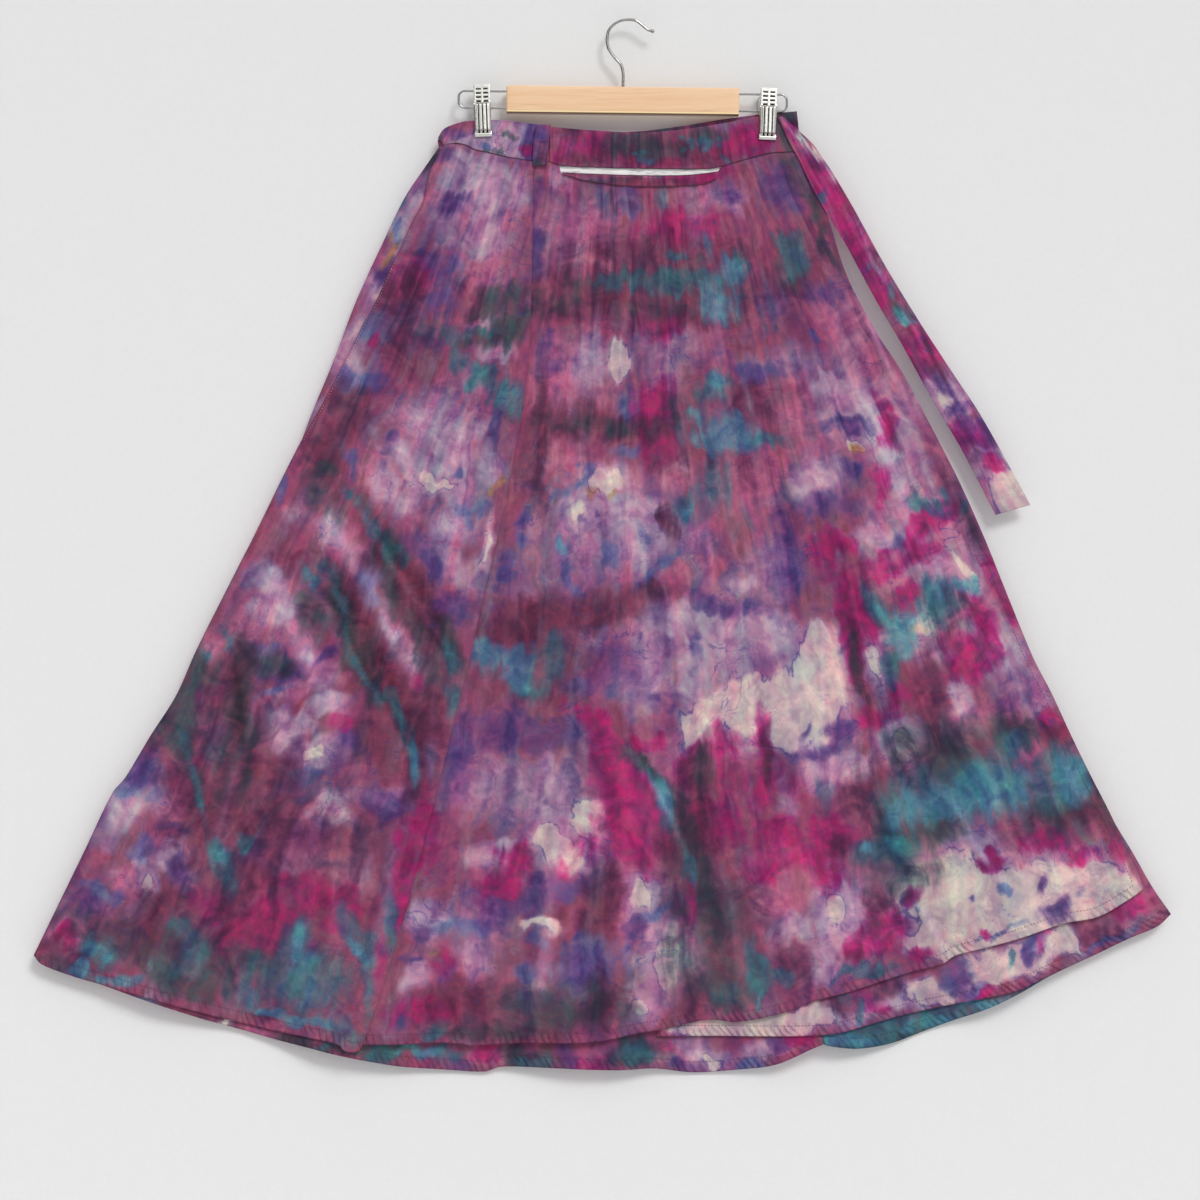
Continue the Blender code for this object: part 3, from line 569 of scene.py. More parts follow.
@dataclass
class DyeBath:
    """Lays the stains of one piece of cloth down as masks on its points."""

    stains: dict
    seed: int = 0
    blot: float = 0.0070
    run: float = 0.0050

    def moved(self, x: np.ndarray, drop: np.ndarray) -> tuple[np.ndarray, np.ndarray]:
        """Return where each point's dye came from: dye blots in waves and runs along the grain.

        Args:
            x: the points' x.
            drop: their drop.

        Returns:
            The x and the drop of each source.
        """
        wide, fine, runs = (SoftNoise(self.seed + index) for index in range(3))
        across, along = fan(x, drop)
        shift_x = wide.at(x / 0.034 + 9.0, drop / 0.034) + 0.6 * fine.at(x / 0.013, drop / 0.013)
        shift_drop = wide.at(x / 0.034, drop / 0.034 + 70.0) + 0.6 * fine.at(x / 0.013 + 50.0, drop / 0.013)
        run = runs.at(across / 0.0110, along / 0.070) + 0.7 * runs.at(across / 0.0060 + 40.0, along / 0.040)
        return x + self.blot * shift_x, drop + self.blot * shift_drop + self.run * run

    def masks(self, x: np.ndarray, drop: np.ndarray) -> np.ndarray:
        """Return a column of strengths for each dye.

        Args:
            x: the points' x.
            drop: their drop.

        Returns:
            An array with a row for each point and a column for each dye.
        """
        from_x, from_drop = self.moved(x, drop)
        masks = np.zeros((len(x), len(Dye)))
        for index, dye in enumerate(Dye):
            bare = np.ones(x.shape)
            for stain in self.stains.get(dye, ()):
                turn = math.radians(stain.lean)
                right, down = from_x - plan_x(stain.column), from_drop - plan_drop(stain.row)
                along = right * math.sin(turn) + down * math.cos(turn)
                across = right * math.cos(turn) - down * math.sin(turn)
                wide, tall = stain.half_width * PLAN_SQUARE, stain.half_height * PLAN_SQUARE
                reach = np.hypot(across / wide, along / tall)
                bare *= 1.0 - stain.strength * (1.0 - smooth_step(0.30, 1.85, reach))
            masks[:, index] = 1.0 - bare
        return masks

    def paint(self, mesh: bpy.types.Mesh, x: np.ndarray, drop: np.ndarray) -> None:
        """Store the masks on the mesh, four to an attribute.

        Args:
            mesh: the mesh that gets them.
            x: the points' x.
            drop: their drop below the hook's seat.
        """
        masks = self.masks(x, drop).astype(np.float32)
        for index, name in enumerate(MASK_SETS):
            layer = mesh.attributes.new(name, "FLOAT_COLOR", "POINT")
            layer.data.foreach_set("color", masks[:, index * MASKS_EACH:(index + 1) * MASKS_EACH].ravel())


def ring_of_spots(column: float, row: float, radius: float, start: float, end: float, count: int,
                  size: float = 4.0, strength: float = 0.8) -> tuple:
    """Return small stains along an arc, where a tied knot kept the dye off.

    Args:
        column: the arc's centre on the plan.
        row: its row.
        radius: its radius in squares.
        start: the first spot's direction in degrees, 0 to the right and 90 downwards.
        end: the last spot's direction.
        count: how many spots there are.
        size: a spot's half width.
        strength: how dark it is.

    Returns:
        The stains.
    """
    spots = []
    for index in range(count):
        turn = math.radians(mix(start, end, index / max(1, count - 1)))
        wobble = 1.0 + 0.05 * math.sin(7.0 * index)
        spots.append(Stain(column + radius * wobble * math.cos(turn), row + radius * wobble * math.sin(turn),
                           size * (1.0 + 0.3 * math.sin(3.0 * index)), size, 0.0, strength))
    return tuple(spots)


def srgb(code: str) -> tuple[float, float, float, float]:
    """Return a hex colour as linear light, opaque."""
    parts = (int(code[index:index + 2], 16) / 255.0 for index in (1, 3, 5))
    return (*(part / 12.92 if part <= 0.04045 else ((part + 0.055) / 1.055) ** 2.4 for part in parts), 1.0)


# The kinds of node that the finishes use most, and their usual settings
MATH = "ShaderNodeMath"
RAMP = "ShaderNodeMapRange"
BLEND = "ShaderNodeMix"
NOISE = "ShaderNodeTexNoise"
BUMP = "ShaderNodeBump"
VECTOR_MATH = "ShaderNodeVectorMath"
SMOOTH = {"interpolation_type": "SMOOTHSTEP"}
COLOURS = {"data_type": "RGBA"}


def feed(tree: Tree, node: bpy.types.Node, inputs: Union[dict, tuple]) -> None:
    """Link or set a node's inputs, given by name or number, or in their order.

    Args:
        tree: the node tree.
        node: the node.
        inputs: a socket or a value for each input, by name or number, or in their order.
    """
    for key, value in inputs.items() if isinstance(inputs, dict) else enumerate(inputs):
        if isinstance(value, Socket):
            tree.links.new(value, node.inputs[key])
        else:
            node.inputs[key].default_value = value


def add_node(tree: Tree, kind: str, inputs: Union[dict, tuple] = (), **settings: object) -> bpy.types.Node:
    """Add a node, set its options, and link or set its inputs.

    Args:
        tree: the node tree.
        kind: the node's type.
        inputs: a socket or a value for each input, by name or number, or in their order.
        settings: the node's own options.

    Returns:
        The node.
    """
    node = tree.nodes.new(kind)
    for name, value in settings.items():
        setattr(node, name, value)
    feed(tree, node, inputs)
    return node


def new_material(name: str) -> tuple[bpy.types.Material, Tree, bpy.types.Node]:
    """Return a material, its tree and its shader."""
    material = bpy.data.materials.new(name)
    material.use_nodes = True
    return material, material.node_tree, material.node_tree.nodes["Principled BSDF"]


def density(code: str) -> tuple[float, float, float, float]:
    """Return how much of each light a hex colour swallows, as natural logarithms."""
    return (*(-math.log(max(part, 0.004)) for part in srgb(code)[:3]), 1.0)


@dataclass(frozen=True)
class DyedCotton:
    """Soft cotton, dyed in many wet colours that ran into each other along the grain."""

    name: str = "dyed cotton"
    ground: tuple = ("#6C3450", "#944A6C", "#AE6E92")
    haze: str = "#886890"
    glow: tuple = ("#C890A8", "#AC90B8")
    wet: str = "#43387C"
    wander: tuple = (("#B4206C", 0.30), ("#4A3C86", 0.46), ("#2F7488", 0.34))
    wander_weights: tuple = (1.7, 0.45, 0.20)
    least_trace: float = -0.07
    veins: tuple = ((22.0, 0.016, 0.45), (52.0, 0.020, 0.30))
    roughness: float = 0.88
    crumple: float = 0.0011
    weave: float = 0.00006
    pucker: float = 0.00075

    def material(self) -> bpy.types.Material:
        """Return the material: matt, with a faint nap that softens its outline against the light."""
        material, tree, shader = new_material(self.name)
        place = add_node(tree, "ShaderNodeTexCoord").outputs["Object"]
        grain = add_node(tree, "ShaderNodeUVMap", uv_map="grain").outputs[0]
        patterns = []
        for vector, scale, detail, roughness, distortion in (
            (self.stretched(tree, grain, place, 46.0, 7.0), 1.0, 2.0, 0.5, 0.6),
            (place, 30.0, 4.0, 0.56, 1.2),
            (place, 84.0, 3.0, 0.50, 0.7),
            (self.stretched(tree, grain, place, 120.0, 13.0), 1.0, 2.0, 0.5, 0.7),
        ):
            pattern = add_node(tree, NOISE, {"Vector": vector, "Scale": scale, "Detail": detail,
                                             "Roughness": roughness, "Distortion": distortion})
            parts = add_node(tree, "ShaderNodeSeparateColor", (pattern.outputs["Color"],))
            patterns.append(tuple(parts.outputs)[:3])
        run, blot, mottle, streak = patterns
        noises = (self.drawn_out(tree, blot, run), mottle, streak)
        swallowed = self.ground_colour(tree, noises)
        swallowed = self.lay_dyes(tree, swallowed, noises)
        swallowed = self.wander_off(tree, swallowed, place, noises)
        # Painted shade in the creases' troughs and painted highlight on their ridges
        swallowed = self.paint_crease_shade_and_highlight(tree, swallowed)
        feed(tree, shader, {
            "Base Color": self.seen_colour(tree, swallowed), "Normal": self.relief(tree, place, grain),
            "Roughness": self.roughness, "Specular IOR Level": 0.25, "Sheen Weight": 0.06,
            "Sheen Roughness": 0.5})
        return material

    def stretched(self, tree: Tree, grain: Socket, place: Socket, across: float, along: float) -> Socket:
        """Return the grain's map, bent a little so that no streak is ruled.

        Args:
            tree: the material's nodes.
            grain: the map of the cloth's grain.
            place: where each point lies.
            across: how many waves there are across a metre of the grain.
            along: how many there are along it.

        Returns:
            The map for a noise.
        """
        bend = add_node(tree, NOISE, {"Vector": place, "Scale": 12.0, "Detail": 2.0}).outputs["Color"]
        off = add_node(tree, VECTOR_MATH, (bend, (0.030, 0.030, 0.0)), operation="MULTIPLY").outputs[0]
        moved = add_node(tree, VECTOR_MATH, (grain, off), operation="ADD").outputs[0]
        waves = {"Vector": moved, "Scale": (across, along, 1.0)}
        return add_node(tree, "ShaderNodeMapping", waves).outputs[0]

    def swayed(self, tree: Tree, value: Input, pattern: Input, amount: float) -> Socket:
        """Return a value that a pattern sways up and down by an amount.

        Args:
            tree: the material's nodes.
            value: the value.
            pattern: a noise that lies round 0.5.
            amount: how far it moves the value.

        Returns:
            The value's socket.
        """
        sway = add_node(tree, MATH, (pattern, 0.5), operation="SUBTRACT").outputs[0]
        return add_node(tree, MATH, (sway, amount, value), operation="MULTIPLY_ADD").outputs[0]

    def drawn_out(self, tree: Tree, blots: tuple, runs: tuple) -> tuple:
        """Return a noise whose blots are drawn out along the grain.

        Args:
            tree: the material's nodes.
            blots: the channels of the round blots.
            runs: the channels of the runs along the grain.

        Returns:
            The channels of both together.
        """
        drawn = []
        for blot, run in zip(blots, runs):
            soft = add_node(tree, MATH, (blot, 0.75, 0.125), operation="MULTIPLY_ADD").outputs[0]
            drawn.append(self.swayed(tree, soft, run, 0.8))
        return tuple(drawn)

    def ground_colour(self, tree: Tree, noises: tuple) -> Socket:
        """Return the rose ground, which wanders between three tones and a lilac haze.

        Args:
            tree: the material's nodes.
            noises: the channels of the blots, the mottle and the streaks.

        Returns:
            What the ground swallows of each light.
        """
        blot, mottle, streak = noises
        swallowed, middle, light = (density(code) for code in self.ground)
        for base, pattern, sway, low, high, cover, tone in (
            (blot[1], streak[2], 0.25, 0.26, 0.56, 1.0, middle),
            (blot[2], mottle[1], 0.30, 0.46, 0.80, 1.0, light),
            (blot[0], mottle[2], 0.30, 0.50, 0.78, 0.5, density(self.haze)),
        ):
            wander = self.swayed(tree, base, pattern, sway)
            share = add_node(tree, RAMP, (wander, low, high, 0.0, cover), **SMOOTH).outputs[0]
            swallowed = add_node(tree, BLEND, {0: share, 6: swallowed, 7: tone}, **COLOURS).outputs[2]
        return swallowed

    def lay_dyes(self, tree: Tree, swallowed: Socket, noises: tuple) -> Socket:
        """Lay each dye over the last, broken up along its rim.

        Args:
            tree: the material's nodes.
            swallowed: what the ground swallows of each light.
            noises: the channels of the blots, the mottle and the streaks.

        Returns:
            What is swallowed with the dyes on.
        """
        blot, mottle, streak = noises
        dyes = list(Dye)
        for set_index, set_name in enumerate(MASK_SETS):
            masks = add_node(tree, "ShaderNodeAttribute", attribute_name=set_name, attribute_type="GEOMETRY")
            parts = add_node(tree, "ShaderNodeSeparateColor", (masks.outputs["Color"],))
            for channel, mask in enumerate((*tuple(parts.outputs)[:3], masks.outputs["Alpha"])):
                index = set_index * MASKS_EACH + channel
                look = dyes[index].value
                first, second, third = index % 3, (index + 1) % 3, (index + 2) % 3
                if look.halo:
                    swallowed = self.lighten(tree, swallowed, mask, look.halo, blot[second], streak[first])
                broken = self.broken(tree, mask, look, (blot[first], mottle[second], streak[third]))
                rim = (broken, 0.5 - 0.5 * look.rim, 0.5 + 0.5 * look.rim)
                share = add_node(tree, RAMP, rim, **SMOOTH).outputs[0]
                choice = add_node(tree, RAMP, (mottle[first], 0.34, 0.66), **SMOOTH).outputs[0]
                tones = {0: choice, 6: density(look.tone), 7: density(look.second_tone)}
                tone = add_node(tree, BLEND, tones, **COLOURS).outputs[2]
                thinning = self.swayed(tree, blot[third], streak[first], 0.3)
                thin = add_node(tree, RAMP, (thinning, 0.25, 0.60, look.cover - 0.30, look.cover)).outputs[0]
                cover = add_node(tree, MATH, (share, thin), operation="MULTIPLY").outputs[0]
                swallowed = add_node(tree, BLEND, {0: cover, 6: swallowed, 7: tone}, **COLOURS).outputs[2]
                if look.wet_edge:
                    swallowed = self.edge(tree, swallowed, share, look.wet_edge, blot[second])
        return swallowed

    def lighten(self, tree: Tree, swallowed: Socket, mask: Socket, strength: float, blot: Socket,
                streak: Socket) -> Socket:
        """Add the soft glow round a place that took little dye.

        Args:
            tree: the material's nodes.
            swallowed: what is swallowed so far.
            mask: where the place is.
            strength: how much of the glow shows.
            blot: the blots that break its rim.
            streak: the streaks that break it, and choose between its two tones.

        Returns:
            What is swallowed with the glow.
        """
        reach = self.swayed(tree, mask, blot, 0.8)
        reach = self.swayed(tree, reach, streak, 0.6)
        glow = add_node(tree, RAMP, (reach, -0.05, 0.75), **SMOOTH).outputs[0]
        near = add_node(tree, RAMP, (mask, 0.0, 0.25, 0.0, strength), **SMOOTH).outputs[0]
        share = add_node(tree, MATH, (glow, near), operation="MULTIPLY").outputs[0]
        warm, cool = (density(code) for code in self.glow)
        choice = add_node(tree, RAMP, (streak, 0.35, 0.65), **SMOOTH).outputs[0]
        tone = add_node(tree, BLEND, {0: choice, 6: warm, 7: cool}, **COLOURS).outputs[2]
        return add_node(tree, BLEND, {0: share, 6: swallowed, 7: tone}, **COLOURS).outputs[2]

    def edge(self, tree: Tree, swallowed: Socket, share: Socket, strength: float, presence: Socket) -> Socket:
        """Add the dark line that a drying stain leaves round itself.

        Args:
            tree: the material's nodes.
            swallowed: what is swallowed so far.
            share: how much of the stain lies at each point.
            strength: how dark the line is.
            presence: the noise that breaks the line.

        Returns:
            What is swallowed with the line.
        """
        rest = add_node(tree, MATH, (1.0, share), operation="SUBTRACT").outputs[0]
        hump = add_node(tree, MATH, (share, rest), operation="MULTIPLY").outputs[0]
        ring = add_node(tree, RAMP, (hump, 0.16, 0.25), **SMOOTH).outputs[0]
        part = add_node(tree, RAMP, (presence, 0.42, 0.62, 0.0, strength), **SMOOTH).outputs[0]
        line = add_node(tree, MATH, (ring, part), operation="MULTIPLY").outputs[0]
        return add_node(tree, BLEND, {0: line, 6: swallowed, 7: density(self.wet)}, **COLOURS).outputs[2]

    def broken(self, tree: Tree, mask: Socket, look: DyeLook, noises: tuple) -> Socket:
        """Return a dye's mask with its rim moved in and out by the noises.

        Args:
            tree: the material's nodes.
            mask: where the dye is.
            look: how it dries.
            noises: a channel of the blots, one of the mottle and one of the streaks.

        Returns:
            The broken mask.
        """
        value = mask
        for pattern, amount in zip(noises, (look.blot, look.mottle, look.streak)):
            value = self.swayed(tree, value, pattern, amount)
        inside = add_node(tree, RAMP, (mask, 0.0, 0.30), **SMOOTH).outputs[0]
        return add_node(tree, MATH, (value, inside), operation="MULTIPLY").outputs[0]

    def wander_off(self, tree: Tree, swallowed: Socket, place: Socket, noises: tuple) -> Socket:
        """Let traces of three dyes run through the colour, with broken veins where they met.

        Args:
            tree: the material's nodes.
            swallowed: what is swallowed so far.
            place: where each point lies.
            noises: the channels of the blots, the mottle and the streaks.

        Returns:
            What is swallowed with the traces and the veins, which are weak where the cloth is pale.
        """
        third = (0.333, 0.333, 0.333)
        depth = add_node(tree, VECTOR_MATH, (swallowed, third), operation="DOT_PRODUCT").outputs["Value"]
        held = add_node(tree, RAMP, (depth, 0.35, 1.5, 0.22, 1.0)).outputs[0]
        total = swallowed
        for index, (code, amount) in enumerate(self.wander):
            trace = 0.0
            for turn, (channels, weight) in enumerate(zip(noises, self.wander_weights)):
                trace = self.swayed(tree, trace, channels[(index + turn) % 3], weight * amount)
            trace = add_node(tree, MATH, (trace, held), operation="MULTIPLY").outputs[0]
            trace = add_node(tree, MATH, (trace, self.least_trace), operation="MAXIMUM").outputs[0]
            part = add_node(tree, VECTOR_MATH, {0: density(code)[:3], "Scale": trace}, operation="SCALE")
            total = add_node(tree, VECTOR_MATH, (part.outputs[0], total), operation="ADD").outputs[0]
        for scale, width, amount in self.veins:
            ridge = add_node(tree, NOISE, {"Vector": place, "Scale": scale, "Detail": 3.0,
                                           "Roughness": 0.5, "Distortion": 1.8}).outputs["Fac"]
            off = add_node(tree, MATH, (ridge, 0.5), operation="SUBTRACT").outputs[0]
            gap = add_node(tree, MATH, (off,), operation="ABSOLUTE").outputs[0]
            vein = add_node(tree, RAMP, (gap, 0.0, width, amount, 0.0), **SMOOTH).outputs[0]
            patches = add_node(tree, NOISE, {"Vector": place, "Scale": scale * 0.6, "Detail": 3.0,
                                             "Roughness": 0.6}).outputs["Fac"]
            present = add_node(tree, RAMP, (patches, 0.50, 0.66), **SMOOTH).outputs[0]
            share = add_node(tree, MATH, (vein, present), operation="MULTIPLY").outputs[0]
            share = add_node(tree, MATH, (share, held), operation="MULTIPLY").outputs[0]
            total = add_node(tree, BLEND, {0: share, 6: total, 7: density(self.wet)}, **COLOURS).outputs[2]
        return total

    def paint_crease_shade_and_highlight(self, tree: Tree, swallowed: Socket) -> Socket:
        """Return the colour with painted shade in the creases' troughs and painted highlight along their
        ridges.

        Args:
            tree: the material's nodes.
            swallowed: what is swallowed so far.

        Returns:
            What is swallowed with the creases.
        """
        marks = add_node(tree, "ShaderNodeAttribute", attribute_name="hem", attribute_type="GEOMETRY")
        relief = add_node(tree, "ShaderNodeSeparateXYZ", (marks.outputs["Vector"],)).outputs[2]
        share = add_node(tree, RAMP, (relief, -0.0026, 0.0022, 0.79, 1.37)).outputs[0]
        return add_node(tree, VECTOR_MATH, {0: swallowed, "Scale": share}, operation="SCALE").outputs[0]

    def seen_colour(self, tree: Tree, swallowed: Socket) -> Socket:
        """Return the colour that is left of white light.

        Args:
            tree: the material's nodes.
            swallowed: what is swallowed of each light.

        Returns:
            The colour.
        """
        left = []
        for part in add_node(tree, "ShaderNodeSeparateXYZ", (swallowed,)).outputs:
            power = add_node(tree, MATH, (part, -1.0), operation="MULTIPLY").outputs[0]
            left.append(add_node(tree, MATH, (power,), operation="EXPONENT").outputs[0])
        return add_node(tree, "ShaderNodeCombineColor", tuple(left)).outputs[0]

    def relief(self, tree: Tree, place: Socket, grain: Socket) -> Socket:
        """Return the normal of crumpled, woven cloth with a puckered hem.

        The weave's real threads, three to a millimetre, are too fine to show, so it is drawn coarser.

        Args:
            tree: the material's nodes.
            place: where each point lies.
            grain: the map of the cloth's grain.

        Returns:
            The normal.
        """
        crumple = add_node(tree, NOISE, {"Vector": place, "Scale": 46.0, "Detail": 4.0,
                                         "Roughness": 0.52, "Distortion": 1.2}).outputs["Fac"]
        lines = self.stretched(tree, grain, place, 76.0, 5.0)
        pleats = add_node(tree, NOISE, {"Vector": lines, "Scale": 1.0, "Detail": 3.0,
                                        "Distortion": 0.6}).outputs["Fac"]
        rough = add_node(tree, MATH, (pleats, 0.5, crumple), operation="MULTIPLY_ADD").outputs[0]
        bump = add_node(tree, BUMP, {"Height": rough, "Distance": self.crumple, "Strength": 0.8}).outputs[0]
        threads = add_node(tree, NOISE, {"Vector": place, "Scale": 1900.0, "Detail": 1.0}).outputs["Fac"]
        weave = add_node(tree, BUMP, {"Height": threads, "Distance": self.weave, "Strength": 0.6,
                                      "Normal": bump}).outputs[0]
        marks = add_node(tree, "ShaderNodeAttribute", attribute_name="hem", attribute_type="GEOMETRY")
        parts = add_node(tree, "ShaderNodeSeparateXYZ", (marks.outputs["Vector"],))
        up, along = parts.outputs[0], parts.outputs[1]
        uneven = add_node(tree, NOISE, {"Vector": place, "Scale": 60.0, "Detail": 0.0}).outputs["Fac"]
        travel = add_node(tree, MATH, (along, 820.0), operation="MULTIPLY").outputs[0]
        drift = add_node(tree, MATH, (uneven, 7.0, travel), operation="MULTIPLY_ADD").outputs[0]
        phase = add_node(tree, MATH, (up, 480.0, drift), operation="MULTIPLY_ADD").outputs[0]
        wave = add_node(tree, MATH, (phase,), operation="SINE").outputs[0]
        strength = add_node(tree, RAMP, (uneven, 0.30, 0.60), **SMOOTH).outputs[0]
        wave = add_node(tree, MATH, (wave, strength), operation="MULTIPLY").outputs[0]
        inside = add_node(tree, RAMP, (up, 0.007, 0.016, 1.0, 0.0), **SMOOTH).outputs[0]
        near = add_node(tree, MATH, (wave, inside), operation="MULTIPLY").outputs[0]
        return add_node(tree, BUMP, {"Height": near, "Distance": self.pucker, "Strength": 1.0,
                                     "Normal": weave}).outputs[0]


# Where the hem's rows lie in millimetres from the foot, where the even rows end, and the turned step
HEM_ROWS = (22.0, 18.0, 15.0, 13.0, 12.0, 11.3, 10.8, 10.2, 9.0, 7.0, 4.5, 2.0, 0.0)
HEM_ROWS_START = 0.026
HEM_STEP = 0.00035


@dataclass
class ClothPiece:
    """One piece of cloth that takes the place of its solid."""

    name: str
    layer: Layer
    sheet: Sheet
    slot: str
    bath: DyeBath
    columns: int
    rows: int
    creases: tuple = ()
    lift: Optional[Callable] = None
    hem: float = 0.0
    ripple: float = 0.0003
    shell: float = CLOTH_SHELL
    rests_on: tuple = ()
    held: str = "hung"

    def marks_down(self) -> np.ndarray:
        """Return the rows' shares, closer together at the hem."""
        if not self.hem:
            return np.linspace(0.0, 1.0, self.rows + 1)
        length = self.sheet.cut_size()[1]
        near = np.array(HEM_ROWS) / 1000.0
        body = np.linspace(0.0, 1.0 - HEM_ROWS_START / length, self.rows + 1 - len(near))
        return np.concatenate([body, 1.0 - near / length])

    def build(self, material: bpy.types.Material) -> bpy.types.Object:
        """Args:
            material: its finish.

        Returns:
            The piece.
        """
        maker = bmesh.new()
        bmesh.ops.create_grid(maker, x_segments=self.columns, y_segments=self.rows, size=0.5)
        mesh = bpy.data.meshes.new(self.name + "_cloth")
        maker.to_mesh(mesh)
        maker.free()
        flat = np.empty(len(mesh.vertices) * 3, np.float32)
        mesh.vertices.foreach_get("co", flat)
        flat = flat.reshape(-1, 3)
        across = np.rint((flat[:, 0] + 0.5) * self.columns) / self.columns
        down = self.marks_down()[np.rint((0.5 - flat[:, 1]) * self.rows).astype(int)]
        x, depth, drop = self.place(across, down)
        gap = self.foot_gap(x, drop, across)
        mesh.vertices.foreach_set("co", np.stack([x, depth, -drop], 1).astype(np.float32).ravel())
        self.bath.paint(mesh, x, drop)
        self.add_grain(mesh, x, drop)
        along = across * SmoothEdge(self.sheet.foot).length
        # The third mark is the creases' relief, which the cotton reads for painted shade in the troughs and
        # painted highlight on the ridges
        marks = np.stack([gap if self.hem else np.full(x.shape, 1.0), along, self.pressed(x, drop)], 1)
        mesh.attributes.new("hem", "FLOAT_VECTOR", "POINT").data.foreach_set(
            "vector", marks.astype(np.float32).ravel())
        mesh.shade_smooth()
        mesh.materials.append(material)
        piece = bpy.data.objects.new(self.name + "_cloth", mesh)
        bpy.context.scene.collection.objects.link(piece)
        thick = piece.modifiers.new("thickness", "SOLIDIFY")
        thick.thickness = self.shell
        thick.offset = 0.0
        self.declare(piece)
        return piece

    def foot_gap(self, x: np.ndarray, drop: np.ndarray, across: np.ndarray) -> np.ndarray:
        """Return how far each point is from the foot.

        Args:
            x: the points' x.
            drop: their drop below the hook's seat.
            across: shares from the left edge to the right one.

        Returns:
            The distances in metres.
        """
        foot = SmoothEdge(self.sheet.foot).at(across)
        return np.hypot(foot[:, 0] - x, foot[:, 1] - drop)

    def place(self, across: np.ndarray, down: np.ndarray) -> tuple[np.ndarray, np.ndarray, np.ndarray]:
        """Return the x, the depth and the drop of marks on the cloth.

        Args:
            across: shares from the left edge to the right one.
            down: shares from the top edge to the foot.

        Returns:
            Three arrays, x, depth and drop.
        """
        x, drop = self.sheet.points(across, down)
        return x, self.depth(x, drop, across, down, self.foot_gap(x, drop, across)), drop

    def pressed(self, x: np.ndarray, drop: np.ndarray) -> np.ndarray:
        """Return how far the creases would push each point back.

        Args:
            x: the points' x.
            drop: their drop below the hook's seat.

        Returns:
            How far back each point is pushed, or forward where negative.
        """
        relief = np.zeros(x.shape)
        for crease in self.creases:
            relief = relief + crease.relief(x, drop)
        return relief

    def depth(self, x: np.ndarray, drop: np.ndarray, across: np.ndarray, down: np.ndarray,
              gap: np.ndarray) -> np.ndarray:
        """Return how far back each point lies.

        Args:
            x: the points' x.
            drop: their drop.
            across: their shares from the left edge to the right one.
            down: their shares from the top edge to the foot.
            gap: how far they are from the foot.

        Returns:
            The depths.
        """
        depth = layer_depth(self.layer, x, drop)
        if self.layer is not Layer.TIE:
            depth = depth + fold_depth(x, drop)
        behind = self.layer is Layer.BACK
        room = (-CREASE_ROOM, CREASE_REACH) if behind else (-CREASE_REACH, CREASE_ROOM)
        depth = depth + np.clip(self.pressed(x, drop), *room)
        across_grain, along_grain = fan(x, drop)
        waves = SoftNoise(self.bath.seed + 11)
        depth = depth + self.ripple * waves.at(across_grain / 0.022, along_grain / 0.150)
        depth = depth + 0.5 * self.ripple * waves.at(x / 0.011 + 31.0, drop / 0.016)
        if self.hem:
            turned = 1.0 - smooth_step(self.hem - 0.0003, self.hem + 0.0006, gap)
            groove = np.exp(-(((gap - self.hem + 0.0004) / 0.0009) ** 2))
            depth = depth + HEM_STEP * (groove - turned)
            near = 1.0 - smooth_step(0.0, 0.030, gap)
            depth = depth + 0.0006 * near * waves.at(x / 0.028 + 7.0, drop * 0.0)
        if self.lift:
            depth = depth + self.lift(across, down, drop)
        return depth

    def add_grain(self, mesh: bpy.types.Mesh, x: np.ndarray, drop: np.ndarray) -> None:
        """Store the direction of the grain as a texture map in metres.

        Args:
            mesh: the mesh that gets the map.
            x: the points' x.
            drop: their drop below the hook's seat.
        """
        across, along = fan(x, drop)
        corners = np.empty(len(mesh.loops), np.int32)
        mesh.loops.foreach_get("vertex_index", corners)
        layer = mesh.uv_layers.new(name="grain")
        marks = np.stack([across[corners], along[corners]], 1)
        layer.data.foreach_set("uv", marks.astype(np.float32).ravel())

    def declare(self, piece: bpy.types.Object) -> None:
        """Attach the piece to the body, hide the solid that it replaces, and log the size of its cut.

        Args:
            piece: the finished piece.
        """
        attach(piece, BODY)
        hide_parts(self.name)
        width, length, area = self.sheet.cut_size()
        LOG.info("%s: cut %.0f x %.0f mm, %.4f square metres", self.name, width * 1000, length * 1000, area)


def stains(*rows: tuple) -> tuple:
    """Return stains from rows of column, row, half width, half height, lean and strength."""
    return tuple(Stain(*row) for row in rows)


